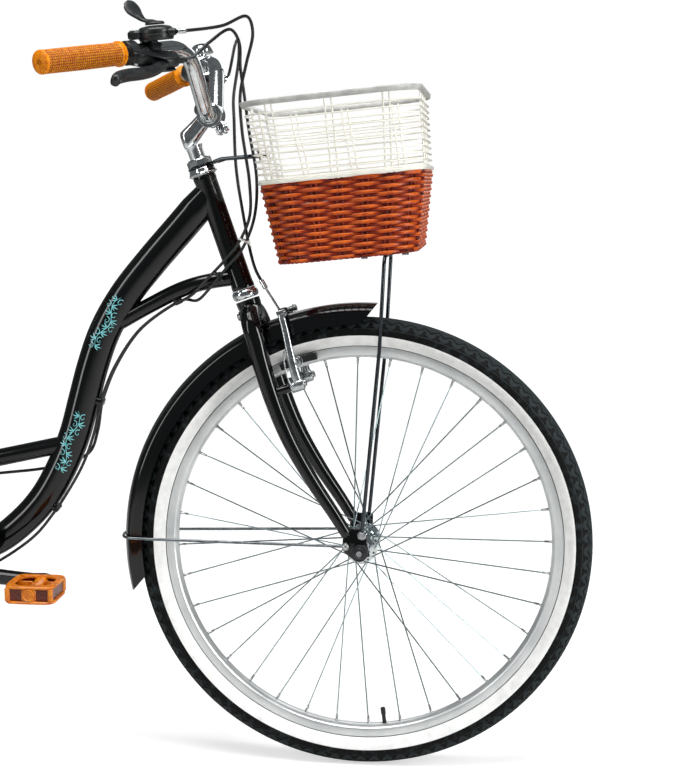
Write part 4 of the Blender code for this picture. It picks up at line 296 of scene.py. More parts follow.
def piece(name, shapes, look, body, stands_for=(), slot=None, sharp=38.0, outward=True):
    """One object from its shapes: mesh, finish, shading, ride and the nodes it replaces."""
    slot = slot or slot_of[look]
    points, faces = joined(shapes)
    mesh = bpy.data.meshes.new(name)
    mesh.from_pydata(points, [], faces)
    if outward:
        work = bmesh.new()
        work.from_mesh(mesh)
        bmesh.ops.recalc_face_normals(work, faces=work.faces)
        work.to_mesh(mesh)
        work.free()
    mesh.shade_smooth()
    mesh.set_sharp_from_angle(angle=math.radians(sharp))
    thing = bpy.data.objects.new(name, mesh)
    bpy.context.scene.collection.objects.link(thing)
    mesh.materials.append(look)
    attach(thing, body)
    if stands_for:
        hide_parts(*stands_for)
    made[name] = thing
    return thing


def float_layer(thing, name, values):
    """A named number on each point, which a material reads with an Attribute node."""
    layer = thing.data.attributes.new(name, "FLOAT", "POINT")
    layer.data.foreach_set("value", np.asarray(values, np.float32).ravel())


print("piece helpers ready")

# %% [markdown]
# ## Finishes
# A finish starts from what the real surface is. One function turns a hex colour to the linear
# numbers a shader wants, one adds a node with its settings and links, and one makes a named
# material whose colour, roughness and fine relief vary a little, as every real surface does.

# %%
def linear(hex_colour):
    """sRGB to linear: c / 12.92 up to 0.04045, and ((c + 0.055) / 1.055) ** 2.4 above it."""
    c = np.array([int(hex_colour[i:i + 2], 16) for i in (1, 3, 5)]) / 255.0
    return (*np.where(c <= 0.04045, c / 12.92, ((c + 0.055) / 1.055) ** 2.4).tolist(), 1.0)


def add(tree, kind, inputs=None, **settings):
    """One node with its settings; an input is a value, or another node's output to link."""
    node = tree.nodes.new(kind)
    for key, value in settings.items():
        setattr(node, key, value)
    for socket, value in (inputs or {}).items():
        if isinstance(value, bpy.types.NodeSocket):
            tree.links.new(value, node.inputs[socket])
        else:
            node.inputs[socket].default_value = value
    return node


def finish(name, roughness, metallic=0.0, **sockets):
    """A new material with constants on its shader; returns it with its tree and its shader."""
    look = bpy.data.materials.new(name)
    look.use_nodes = True
    tree = look.node_tree
    shader = tree.nodes["Principled BSDF"]
    shader.inputs["Roughness"].default_value = roughness
    shader.inputs["Metallic"].default_value = metallic
    for socket, value in sockets.items():
        shader.inputs[socket.replace("_", " ")].default_value = value
    return look, tree, shader


def blotches(tree, size, detail=3.0, stretch=None):
    """Noise whose blotches are about this many metres across, on the object's own places."""
    place = add(tree, "ShaderNodeTexCoord").outputs["Object"]
    if stretch:
        place = add(tree, "ShaderNodeMapping", {"Vector": place, "Scale": stretch}).outputs["Vector"]
    return add(tree, "ShaderNodeTexNoise", {"Vector": place, "Scale": 1.0 / size,
        "Detail": detail}).outputs["Fac"]


def two_tone(tree, factor, low, high, a=0.35, b=0.65):
    """A ramp between two hex colours, from a to b of a factor."""
    ramp = add(tree, "ShaderNodeValToRGB", {"Fac": factor})
    ramp.color_ramp.elements[0].position = a
    ramp.color_ramp.elements[1].position = b
    ramp.color_ramp.elements[0].color = linear(low)
    ramp.color_ramp.elements[1].color = linear(high)
    return ramp.outputs["Color"]


def spread(tree, factor, low, high, first=0.0, last=1.0):
    """The factor spread from first..last to low..high, and held there outside."""
    return add(tree, "ShaderNodeMapRange", {"Value": factor, "From Min": first, "From Max": last,
        "To Min": low, "To Max": high}).outputs["Result"]


def maths(tree, operation, *terms):
    """One maths node on two or three numbers or outputs."""
    return add(tree, "ShaderNodeMath", dict(enumerate(terms)), operation=operation).outputs["Value"]


def carried(tree, layer):
    """The named number that each point of the mesh carries."""
    return add(tree, "ShaderNodeAttribute", attribute_name=layer).outputs["Fac"]


def plug(tree, shader, **outputs):
    """Link outputs to the shader's sockets; a low line stands for a space in a socket's name."""
    for socket, output in outputs.items():
        tree.links.new(output, shader.inputs[socket.replace("_", " ")])


def relief(tree, shader, height, strength, distance):
    """Bump of a real height in metres under the shader."""
    bump = add(tree, "ShaderNodeBump", {"Height": height, "Strength": strength, "Distance": distance})
    plug(tree, shader, Normal=bump.outputs["Normal"])


def plain(name, low, high, roughness, metallic=0.0, mottle=0.02, grain=0.0006, grain_depth=0.00002,
          **sockets):
    """A finish of two near tones in blotches, roughness that wanders, and a fine grain."""
    look, tree, shader = finish(name, roughness, metallic, **sockets)
    broad = blotches(tree, mottle)
    plug(tree, shader, Base_Color=two_tone(tree, broad, low, high),
         Roughness=spread(tree, broad, roughness * 0.8, roughness * 1.2))
    relief(tree, shader, blotches(tree, grain, 2.0), 0.5, grain_depth)
    return look


print("finish helpers ready")

# %% [markdown]
# The frame is stove enamel: black powder fused to a glassy film, with the faint orange peel
# that a clear coat shows. Its depth comes from a dark base under a coat.

# %%
enamel = plain("black_stove_enamel", "#030404", "#060708", 0.14, mottle=0.08, grain=0.0016,
               grain_depth=0.000015, Specular_IOR_Level=0.25, Coat_Weight=0.5, Coat_Roughness=0.04)

# %% [markdown]
# Handlebar, stem, bell, headset and hubs are chromium plate on steel: nearly a mirror, with
# soft smears of polish. The fenders' wires are zinc plated, greyer and duller, the spokes are
# stainless, and the basket's stays and rods and the saddle's rails have a dark nickel plate.

# %%
chrome = plain("chromium_plate", "#C9CDD0", "#E4E7E8", 0.09, 1.0, mottle=0.012, grain=0.0012,
               grain_depth=0.000008)
zinc = plain("zinc_plated_wire", "#6E7376", "#8F9598", 0.3, 1.0, mottle=0.01)
nickel = plain("dark_nickel_plate", "#3E4246", "#50555A", 0.16, 1.0, mottle=0.03, grain_depth=0.000006)
spoke_steel = plain("stainless_spoke_wire", "#7D8C90", "#98A6A8", 0.32, 1.0, mottle=0.03)

# %% [markdown]
# Rims and brake arms are aluminium, bolts and nuts bright zinc. The rim is brushed along its
# turning: noise on the distance from the hub alone gives fine rings round the wheel.

# %%
cast_alloy = plain("polished_cast_aluminium", "#A9ADB0", "#D2D5D7", 0.22, 1.0, mottle=0.006)
bolt_steel = plain("zinc_plated_bolt_steel", "#9A9DA0", "#C8CACC", 0.24, 1.0, mottle=0.004)


def from_hub(tree, hub):
    """Distance from a wheel's axle, from the object's own places: |(x, 0, z) - hub|."""
    place = add(tree, "ShaderNodeTexCoord").outputs["Object"]
    moved = add(tree, "ShaderNodeMapping", {"Vector": place, "Location": (-hub[0], 0.0, -hub[2]),
        "Scale": (1.0, 0.0, 1.0)}).outputs["Vector"]
    return add(tree, "ShaderNodeVectorMath", {0: moved}, operation="LENGTH").outputs["Value"]


def brushed_rim(name, hub):
    """Aluminium turned on a lathe: rings 0.4 mm apart in tone, roughness and relief."""
    look, tree, shader = finish(name, 0.3, 0.75)
    radius = from_hub(tree, hub)
    rings = add(tree, "ShaderNodeTexNoise", {"W": radius, "Scale": 2500.0, "Detail": 2.0},
                noise_dimensions="1D").outputs["Fac"]
    cloudy = blotches(tree, 0.05)
    both = maths(tree, "MULTIPLY_ADD", rings, cloudy, 0.25)
    plug(tree, shader, Base_Color=two_tone(tree, both, "#D2D5D6", "#F0F2F2"),
         Roughness=spread(tree, rings, 0.24, 0.38))
    relief(tree, shader, rings, 0.4, 0.00003)
    return look


# %% [markdown]
# The tyre is one black rubber moulding with a white rubber band bonded to each sidewall. The
# band runs between two radii, so its colour needs only the distance from the hub. Moulded
# rubber is dull. Its crests carry painted light and its grooves painted shade, so each point
# carries how lit it is. The white band has faint grey marks.

# %%
def tyre_rubber(name, hub, white_from=0.2862, white_to=0.3016, edge=0.0003):
    """White between two radii with soft edges, black elsewhere, greyer where light is painted on the crests.
    """
    look, tree, shader = finish(name, 0.62, 0.0, Specular_IOR_Level=0.18)
    radius = from_hub(tree, hub)
    band = maths(tree, "MULTIPLY", spread(tree, radius, 0, 1, white_from, white_from + edge),
                 spread(tree, radius, 0, 1, white_to + edge, white_to))
    dust = blotches(tree, 0.01, 4.0)
    # Painted light: tread crests are lighter, and grooves stay black as painted shade; the dust is real.
    dust_and_crest_light = maths(tree, "MULTIPLY_ADD", carried(tree, "painted_crest_light"), 0.8, dust)
    black = two_tone(tree, dust_and_crest_light, "#010202", "#252C2E", 0.8, 1.0)
    speck = blotches(tree, 0.012, 3.0)
    white = two_tone(tree, speck, "#E8E8E6", "#F8F8F6", 0.25, 0.6)
    mix = add(tree, "ShaderNodeMix", {"Factor": band, "A": black, "B": white}, data_type="RGBA")
    plug(tree, shader, Base_Color=mix.outputs[2], Roughness=spread(tree, dust, 0.5, 0.75))
    relief(tree, shader, speck, 0.3, 0.00005)
    return look


front_rubber = tyre_rubber("moulded_tyre_rubber_front", front_hub)
rear_rubber = tyre_rubber("moulded_tyre_rubber_rear", rear_hub)
front_rim_look = brushed_rim("turned_rim_aluminium_front", front_hub)
rear_rim_look = brushed_rim("turned_rim_aluminium_rear", rear_hub)

# %% [markdown]
# Levers and shifter are glass-filled nylon with a fine spark texture. The cable housings are
# smoother extruded vinyl. Brake pads and the valve are plain rubber.

# %%
nylon = plain("moulded_black_nylon", "#101213", "#1E2224", 0.36, mottle=0.01, grain=0.0005,
              grain_depth=0.00003)
vinyl = plain("extruded_black_vinyl", "#0B0D0E", "#15181A", 0.3, mottle=0.01, Specular_IOR_Level=0.6)
pad_rubber = plain("moulded_pad_rubber", "#101213", "#1C1F20", 0.7, mottle=0.004)
window_glass = plain("clear_polycarbonate_window", "#B8C2C4", "#DDE4E6", 0.08, mottle=0.01)

# %% [markdown]
# Grips and pedals are dyed a warm orange to match the basket. The grip is soft rubber with a
# satin skin and painted shade in its grooves, the pedal a glossy resin that lets a little light in.

# %%
grip_rubber = plain("dyed_brown_grip_rubber", "#E07400", "#F89A06", 0.38, mottle=0.006, grain=0.0008,
                    grain_depth=0.00008, Specular_IOR_Level=0.25)
pedal_resin = plain("dyed_brown_pedal_resin", "#C4600E", "#E88C1A", 0.24, mottle=0.008,
                    Subsurface_Weight=0.06, Subsurface_Scale=0.004)


def shaded_grooves(look, colour):
    """Painted shade: mix the base colour towards a darker one by 0.70 * the groove layer."""
    tree = look.node_tree
    shader = next(node for node in tree.nodes if node.type == "BSDF_PRINCIPLED")
    painted_groove_shade = spread(tree, carried(tree, "groove"), 0.0, 0.7)
    clean = shader.inputs["Base Color"].links[0].from_socket
    mix = add(tree, "ShaderNodeMix", {"Factor": painted_groove_shade, "A": clean, "B": linear(colour)}, data_type="RGBA")
    plug(tree, shader, Base_Color=mix.outputs["Result"])


# The dark brown is painted shade in the grip's grooves and in its cap's hole.
shaded_grooves(grip_rubber, "#3A1604")

# %% [markdown]
# The lower basket is woven from poly-rattan: extruded plastic cane in mixed red browns, glossy
# on its crowns. Each strand's tone drifts along its length, with painted shade where it dips
# behind a stake and painted light on its top, so its points carry how far out and how high on
# the strand they lie.
# The upper basket is steel wire in a cream enamel.

# %%
def cane(name, woven=False):
    """Browns from a ramp: on woven strands 0.42 * crown paints shade in the dips and 0.30 * top paints light
    from above, plus streaks; else streaks.
    """
    look, tree, shader = finish(name, 0.3, 0.0, Specular_IOR_Level=0.3, Coat_Weight=0.12,
                                Coat_Roughness=0.2)
    drift = blotches(tree, 0.012, 3.0, (1.0, 1.0, 2.2))
    streak = blotches(tree, 0.0016, 2.0, (0.25, 0.25, 1.6))
    tone = spread(tree, maths(tree, "ADD", drift, streak), 0.0, 0.4 if woven else 0.75, 0.7, 1.3)
    # On woven strands the crown layer paints shade where a strand dips behind a stake, and the top layer
    # paints light on its upper side.
    for layer, weight in (("crown", 0.42), ("top", 0.3)) if woven else ():
        tone = maths(tree, "MULTIPLY_ADD", carried(tree, layer), weight, tone)
    # On woven strands the dark end of this ramp is the painted shade in the dips.
    ramp = add(tree, "ShaderNodeValToRGB", {"Fac": tone})
    ramp.color_ramp.elements.new(0.55)
    for stop, place, colour in zip(ramp.color_ramp.elements, (0.1, 0.52, 0.96),
                                   ("#1C0300", "#8E2006", "#E46A16")):
        stop.position = place
        stop.color = linear(colour)
    plug(tree, shader, Base_Color=ramp.outputs["Color"], Roughness=spread(tree, streak, 0.24, 0.4))
    relief(tree, shader, streak, 0.5, 0.0002)
    return look


woven_cane = cane("woven_poly_rattan", woven=True)
rattan = cane("poly_rattan_cane")
cream = plain("cream_wire_enamel", "#F1EFE2", "#FAF8F0", 0.3, mottle=0.02, Coat_Weight=0.3,
              Coat_Roughness=0.1)
rim_white = plain("grey_moulded_edging", "#A9A9A6", "#C6C6C2", 0.36, mottle=0.015)
leather = plain("brown_vinyl_leather", "#7A3A18", "#94491F", 0.48, mottle=0.012, grain=0.0016,
                grain_depth=0.00025)
steel_dark = plain("oiled_chain_steel", "#3B3D3F", "#5A5D60", 0.34, 1.0, mottle=0.004)
tie_white = plain("white_nylon_tie", "#E6E6E2", "#F4F4F0", 0.35, mottle=0.005)
teal = plain("teal_transfer_film", "#6FC8CE", "#8FDDE0", 0.4, mottle=0.006)
# Painted shade: these amber panels are made dark to stand for the shade inside the pedal's windows.
amber_window_shade = plain("amber_resin_painted_window_shade", "#4A1606", "#7A2C0A", 0.16, mottle=0.003, grain=0.0012,
              grain_depth=0.0003)
slots = {"chrome": (chrome, zinc, spoke_steel), "dark_steel": (nickel, bolt_steel, steel_dark),
         "alloy": (cast_alloy, front_rim_look, rear_rim_look),
         "black_rubber": (front_rubber, rear_rubber, pad_rubber),
         "black_plastic": (nylon, vinyl, window_glass, tie_white), "brown_rubber": (grip_rubber,),
         "brown_resin": (pedal_resin, amber_window_shade), "brown_leather": (leather,), "rattan": (woven_cane, rattan),
         "cream_wire": (cream, rim_white), "gloss_black_paint": (enamel, teal)}
slot_of = {look: slot for slot, looks in slots.items() for look in looks}
print(len(slot_of), "finishes made")

# %% [markdown]
# ## Wheels
# The tyre's section is measured from the bead to the crown. Across it runs the distance w from
# the centre line, and round it runs s. The tread is a depth at each (s, w): a wavy groove each
# side of the centre, a deep zigzag further out, and half-moon lugs down both shoulders.

# %%
valve_angle = math.radians(-83.0)
tread_lugs, tread_radius, tread_edge = 104, 0.3263, 0.0284
tread_pitch = 2 * math.pi * tread_radius / tread_lugs


def on_wheel(hub, radius, angle, aside=0.0):
    """A place at a radius and an angle round an axle, and aside of its middle."""
    return hub + radius * np.array([math.cos(angle), 0.0, math.sin(angle)]) + aside * LEFT


def wave(x):
    """A triangle wave of period 1 between -1 and 1."""
    return 4.0 * np.abs(x - np.floor(x + 0.5)) - 1.0


def tread_depth(s, w):
    """Metres below the crown at s round the tyre and w across it."""
    off, turn = np.abs(w), s / tread_pitch + 0.5 * (w > 0)
    ribs = 0.001 * np.exp(-((off - 0.004 - 0.0009 * wave(2 * turn)) / 0.0009) ** 2)
    zigzag = 0.0022 * np.exp(-((off - 0.015 - 0.0036 * wave(turn)) / 0.0014) ** 2)
    along = (turn - np.floor(turn) - 0.5) * tread_pitch
    lug = np.hypot(along / 0.0078, (off - 0.018) / 0.0092)
    shoulder = np.clip((off - 0.017) / 0.0012, 0, 1) * np.clip((0.0282 - off) / 0.0014, 0, 1)
    moon = 0.0016 * np.clip((lug - 0.92) / 0.14, 0, 1) * shoulder
    return np.maximum(np.maximum(ribs, zigzag), moon)


def tyre(hub, name, body, look, rim_middle=0.303):
    """Hub + ray(s) * (r(w) - depth * nr) + LEFT * (y(w) - depth * ny), closed under the rim."""
    half = mm([(284.6, 9.4), (286.5, 12), (289.5, 16.2), (294, 20), (299.5, 22.8), (304, 23.4), (309, 22.9),
               (313.5, 21.2), (317.5, 18.4), (321.3, 14.2), (324.3, 9), (325.9, 4.2), (326.4, 0)])
    line = smooth(np.vstack([half, half[-2::-1] * [1, -1]]), 400)
    run = np.concatenate([[0.0], np.cumsum(np.linalg.norm(np.diff(line, axis=0), axis=1))])
    run -= run[-1] / 2
    edge = 0.029
    w = np.concatenate([np.linspace(run[0], -edge, 8)[:-1], np.linspace(-edge, edge, 73),
                        np.linspace(edge, run[-1], 8)[1:]])
    flat = np.stack([np.interp(w, run, line[:, 0]), np.interp(w, run, line[:, 1])], 1)
    tangent = unit(np.gradient(flat, axis=0))
    normal = np.stack([-tangent[:, 1], tangent[:, 0]], 1)
    normal *= np.sign((normal * (flat - [rim_middle, 0.0])).sum(1))[:, None]
    t = steps_round(tread_lugs * 10)
    depth = tread_depth(t[:, None] * tread_radius, w[None])
    radius = flat[None, :, 0] - depth * normal[None, :, 0]
    aside = flat[None, :, 1] - depth * normal[None, :, 1]
    rings = hub + np.stack([radius * np.cos(t)[:, None], aside, radius * np.sin(t)[:, None]], 2)
    thing = piece(name, [skin(rings, closed=True)], look, body, (body.replace("wheel", "tyre"),), sharp=60)
    # Painted light on the tread: 1 on the crests, falling to 0 in the grooves as painted shade, 0.35 on the
    # sidewalls.
    painted_crest_light = np.where(np.abs(w)[None] < tread_edge, 1.0 - np.clip(depth / 0.0014, 0, 1), 0.35)
    float_layer(thing, "painted_crest_light", painted_crest_light)


def rim(hub, name, body, look):
    """A box section turned about the axle: hooked edges, brake tracks and a rounded bed."""
    half = [(279.5, 8.5), (280.5, 9.9), (284.6, 9.9), (285.4, 10.6), (285.4, 11.8), (284.8, 12.4),
            (274.6, 12.5), (273.6, 12.1), (271.6, 10), (270, 6.4), (269.1, 3), (268.9, 0)]
    outline = half + [(r, -y) for r, y in half[-2::-1]]
    shell = turned(outline, hub, LEFT, 240, closed=True)
    piece(name, [shell], look, body, (body.replace("wheel", "rim"),), sharp=30)


tyre(front_hub, "tyre_front_with_tread", "front_wheel", front_rubber)
tyre(rear_hub, "tyre_rear_with_tread", "rear_wheel", rear_rubber)
rim(front_hub, "rim_front_turned", "front_wheel", front_rim_look)
rim(rear_hub, "rim_rear_turned", "rear_wheel", rear_rim_look)
print("tyres and rims:", [len(thing.data.polygons) for thing in made.values()])

# %% [markdown]
# Thirty-six spokes are laced three-cross. Each leaves a flange hole nearly along the flange,
# passes three others and screws into a nipple in the rim. Odd holes lead and even ones trail.

# %%
def laced(hub, flange):
    """Spoke paths from (19 mm, a) on a flange to the rim at a + or - three holes."""
    step = math.pi / 9
    for side in (-1, 1):
        twist = valve_angle + step * (0.25 if side < 0 else 0.75)
        for k in range(18):
            way = 1.0 if k % 2 == 0 else -1.0
            a, b = k * step + twist, k * step + twist + way * 3 * step
            head = on_wheel(hub, 0.019, a, side * (flange - way * 0.0024))
            elbow = on_wheel(hub, 0.019, a, side * (flange + way * 0.0022))
            yield head, elbow, on_wheel(hub, 0.2688, b, side * 0.001), -side * way * LEFT


def lacing(hub, flange, name, body):
    """All spokes of a wheel in one piece, and all its nipples in another."""
    wires, nipples = [], []
    for head, elbow, bed, outward in laced(hub, flange):
        wires += [rod(rounded([head, elbow, bed], [0.001], 2), 0.001, 6),
                  turned([(0.4, 0), (1.8, -0.3), (1.5, -1.2), (0.4, -1.6)], head, -outward, 8)]
        inward = unit(elbow - bed)
        nipples.append(turned([(2.4, -0.8), (2.4, 1), (1.9, 1.6), (1.6, 10), (1.1, 11.2)], bed, inward, 8))
    piece("spokes_" + name, wires, spoke_steel, body)
    piece("nipples_" + name, nipples, bolt_steel, body)


def hub_shell(hub, ends, flange, barrel, name, body):
    """A hub turned about the axle: dust caps, flanges with rounded rims and a waisted barrel."""
    right, left = ends
    line = []
    for sign, end in ((-1, right), (1, left)):
        half = [(5.2, end), (8.6, end), (10.8, end - 0.6), (11.6, end - 1.8), (11.8, flange + 5.2),
                (13.2, flange + 3.2), (17, flange + 2.2), (21.6, flange + 1.8), (22.4, flange + 1),
                (22.4, flange - 1), (21.6, flange - 1.8), (17.5, flange - 2.4), (barrel + 1.6, flange - 4),
                (barrel, flange - 7), (barrel - 1.2, flange * 0.4)]
        half = [(r, sign * h) for r, h in half]
        line += half if sign < 0 else half[::-1]
    piece(name, [turned(line, hub, LEFT, 56, closed=True, aside=UP)], chrome, body,
          (body.replace("wheel", "hub_and_spokes"),), sharp=32)


def valve(hub, name, body):
    """A rubber stem with a narrower neck and a ridged cap, from the rim towards the hub."""
    foot = on_wheel(hub, 0.27, valve_angle)
    ray = unit(foot - hub)
    stem = turned([(1, 0), (3.6, 0), (3.4, 2), (2.8, 3), (2.8, 13), (2.4, 14), (1, 14)], foot, -ray, 20)
    ridges = [(3.6 - 0.3 * (i % 2), 14.2 + 0.8 * i) for i in range(12)]
    cap = turned([(1, 14), (3.4, 14.1), *ridges, (2.8, 24), (0.8, 24.6)], foot, -ray, 20)
    piece(name, [stem, cap], pad_rubber, body, (body.replace("wheel", "inner_tube"),))


for hub, word, ends, flange, barrel in ((front_hub, "front", (45.4, 45.4), 33, 14.5),
                                        (rear_hub, "rear", (58.8, 43.8), 31, 24.0)):
    body = word + "_wheel"
    lacing(hub, flange / 1000, word, body)
    hub_shell(hub, ends, flange, barrel, "hub_" + word + "_turned", body)
    valve(hub, "valve_" + word, body)
print("wheels done,", len(made), "pieces")

# %% [markdown]
# ## Basket
# The basket stands on a floor that leans back six degrees. A level is a rounded rectangle, and
# its half length, half width and forward shift change evenly from floor to band to rim. A
# woven strand goes round a level, 3 mm - 2 mm * cos(28 pi t) inside it, so it passes outside
# one pair of stakes and inside the next, and each row is one pair on from the row below it.

# %%
lean = math.radians(6.0)
basket_ahead = np.array([math.cos(lean), 0.0, math.sin(lean)])
basket_up = np.array([-math.sin(lean), 0.0, math.cos(lean)])
basket_origin = by_hub(-110, 0, 730) + basket_ahead * 0.096
basket_floor = np.array([0.096, 0.132, 0.0])
basket_band = np.array([0.112, 0.152, 0.004])
basket_rim = np.array([0.118, 0.166, 0.0005])
band_height, rim_height = 0.108, 0.2065
stake_pairs, woven_rows = 28, 22


def level(height):
    """Half length, half width and forward shift of the basket's outside at a height."""
    if height <= band_height:
        return basket_floor + (basket_band - basket_floor) * height / band_height
    share = min(1.0, (height - band_height) / (rim_height - band_height))
    return basket_band + (basket_rim - basket_band) * share


def around(height, count, inset, start=0.0):
    """Points at even lengths round a level, and their outward directions; inset may vary."""
    a, b, shift = level(height)
    corner = 0.048
    dense = []
    for quarter, (sx, sy) in enumerate(((1, 1), (-1, 1), (-1, -1), (1, -1))):
        t = (quarter + np.linspace(0, 1, 25)) * math.pi / 2
        dense.append(np.stack([sx * (a - corner) + corner * np.cos(t),
                               sy * (b - corner) + corner * np.sin(t), np.cos(t), np.sin(t)], 1))
    dense = np.vstack([*dense, dense[0][:1]])
    run = np.concatenate([[0.0], np.cumsum(np.linalg.norm(np.diff(dense[:, :2], axis=0), axis=1))])
    at = (start + np.arange(count) / count) % 1.0 * run[-1]
    x, y, nx, ny = (np.interp(at, run, dense[:, k]) for k in range(4))
    out = unit(nx[:, None] * basket_ahead + ny[:, None] * LEFT)
    place = basket_origin + (x + shift)[:, None] * basket_ahead + y[:, None] * LEFT + height * basket_up
    return place - out * np.reshape(inset, (-1, 1)), out


def strand(row):
    """One row of weaving. Its share outside is 0.5 + 0.5 cos a: out over one pair of stakes, and
    behind the next; it tapers like a spindle towards the place where the stakes hide it."""
    count = stake_pairs * 12
    t = np.arange(count) / count
    share = 0.5 + 0.5 * np.cos(stake_pairs * np.pi * t + np.pi * row)
    # Painted shade: 1 on the crown, falling to 0 where the strand dips behind a stake.
    lit = np.clip(1.2 * share, 0, 1)
    height = 0.0032 + row * (band_height - 0.0066) / (woven_rows - 1)
    path, out = around(height, count, 0.005 - 0.004 * share)
    path = path + 0.0002 * np.sin(3 * 2 * np.pi * t + 1.7 * row)[:, None] * basket_up
    high = 0.0021 + 0.0006 * share
    deep = 0.0012 + 0.0006 * share
    ring = circle(8)
    rings = (path[:, None] + ring[None, :, :1] * deep[:, None, None] * out[:, None] + ring[None, :, 1:]
             * high[:, None, None] * basket_up)
    # The last layer is painted light from above: 1 on the strand's top, 0 on its underside.
    return skin(rings, closed=True), np.repeat(lit, 8), np.tile((ring[:, 1] + 1) / 2, count)


shapes, painted_crown_light, painted_top_light = zip(*[strand(row) for row in range(woven_rows)])
weave = piece("basket_woven_rows", shapes, woven_cane, "steering", ("basket_lower",), sharp=80)
# The crown and top layers carry the painted shade in the dips and the painted light from above.
float_layer(weave, "crown", np.concatenate(painted_crown_light))
float_layer(weave, "top", np.concatenate(painted_top_light))
print("woven rows:", len(weave.data.polygons))


# %%
def up_the_wall(t, inset, low, high, count=6):
    """A path up the wall at a share t of the way round."""
    return np.vstack([around(h, 1, inset, t)[0] for h in np.linspace(low, high, count)])


stakes = [rod(up_the_wall(k / stake_pairs + off, 0.0032, 0.001, band_height - 0.001), 0.0015,
              8) for k in range(stake_pairs) for off in (-0.0036, 0.0036)]
piece("basket_stakes", stakes, rattan, "steering", sharp=80)


def hoop(height, inset, radius, sides=8, count=160):
    """A ring of wire round a level."""
    path, out = around(height, count, inset)
    ring = circle(sides, radius)
    return skin(path[:, None] + ring[None, :, :1] * out[:, None] + ring[None, :, 1:] * basket_up,
                closed=True)


def plait(height, inset, radius, turns, phase, swing):
    """A cane that winds round a level: offset (cos, sin) of its turns out and up."""
    count = 360
    t = np.arange(count) / count * 2 * np.pi * turns + phase
    path, out = around(height, count, inset)
    path = path + swing * np.cos(t)[:, None] * out + swing * np.sin(t)[:, None] * basket_up
    ring = circle(6)
    rings = path[:, None] + radius * (ring[None, :, :1] * out[:, None] + ring[None, :, 1:] * basket_up)
    return skin(rings, closed=True)


border = [plait(band_height - 0.004, 0.0034, 0.0014, 40, phase, 0.0014) for phase in (0.0, 2.1, 4.2)]
border += [plait(0.002, 0.003, 0.0014, 36, phase, 0.0012) for phase in (0.0, 2.1, 4.2)]
piece("basket_plaited_borders", border, rattan, "steering", sharp=80)

floor_canes = []
for i in range(15):
    y = -0.119 + i * 0.017
    x = np.linspace(-0.09, 0.09, 80)
    wavy = 0.003 + 0.0011 * np.cos(np.pi * (x / 0.0128) + np.pi * i)
    path = basket_origin + x[:, None] * basket_ahead + y * LEFT + wavy[:, None] * basket_up
    floor_canes.append(rod(path, 0.0015, 6, aside=LEFT))
for i in range(15):
    x = -0.0896 + i * 0.0128
    middle = basket_origin + x * basket_ahead + 0.003 * basket_up
    floor_canes.append(rod(middle + np.linspace(-0.126, 0.126, 2)[:, None] * LEFT, 0.0013, 6, aside=UP))
piece("basket_woven_floor", floor_canes, rattan, "steering", sharp=80)

# %% [markdown]
# The upper half is cream wire: eleven hoops, twelve pairs of uprights inside them, a flat
# moulded edging along the top and a thin white strip where the two halves meet.

# %%
wires = [hoop(band_height + 0.0046 + 0.0086 * k, 0.0016, 0.0012) for k in range(11)]
for t in (0.076, 0.148, 0.223, 0.332, 0.393, 0.455, 0.563, 0.638, 0.71, 0.832, 0.893, 0.955):
    for off in (-0.0044, 0.0044):
        wires.append(rod(up_the_wall(t + off, 0.004, band_height, rim_height + 0.004), 0.0013, 8))
piece("basket_cream_wires", wires, cream, "steering", ("basket_upper",))


def edging(low, high, out_low, out_high, deep, name, look):
    """A flat strip round a level with rounded edges, from one height to another."""
    section = np.array([(0, -1.0), (0.7, -0.92), (1.0, -0.7), (1.0, 0.7), (0.7, 0.92), (0, 1.0),
                        (-0.7, 0.92), (-1.0, 0.7), (-1.0, -0.7), (-0.7, -0.92)])
    base, out = around(low, 200, 0.0)
    top, _ = around(high, 200, 0.0)
    share = (section[None, :, 1:] + 1) / 2
    wall = base[:, None] * (1 - share) + top[:, None] * share
    reach = out_low * (1 - share) + out_high * share
    rings = wall + (reach + section[None, :, :1] * deep / 2) * out[:, None]
    piece(name, [skin(rings, closed=True)], look, "steering", sharp=50)


edging(rim_height + 0.0025, rim_height + 0.0105, -0.0008, 0.0012, 0.0052, "basket_top_edging", rim_white)
edging(band_height - 0.001, band_height + 0.0034, -0.0012, -0.001, 0.0046, "basket_white_strip", cream)
print("basket done,", len(made), "pieces")

# %% [markdown]
# ## Frame
# The step-through tube follows thirteen places read off the photo. It is an oval 46 mm deep and
# 35 mm wide, drawn in at the head tube. Every other tube is round.

# %%
def main_tube_line(count):
    """The smooth centre line from the head tube down and back to the bottom bracket."""
    tube_places = [(-220.5, 824.5), (-260.7, 778), (-304.7, 728), (-344, 679), (-373.5, 629), (-392, 580),
                   (-406.5, 529), (-421.5, 476), (-442, 427), (-470, 380), (-504, 343), (-543, 314)]
    return smooth([by_hub(x, 0, z) for x, z in tube_places] + [bottom_bracket + [-0.004, 0, 0.004]], count)


def main_tube_sizes(count):
    """Half depth and half width at even shares t of the length: necked in near t = 0."""
    t = np.linspace(0.0, 1.0, count)
    neck = np.minimum(1.0, 0.86 + 3.0 * t)
    tail = 1.0 - 0.13 * np.clip((t - 0.6) / 0.4, 0, None)
    return np.stack([0.023 * neck * tail, 0.0175 * neck], 1)


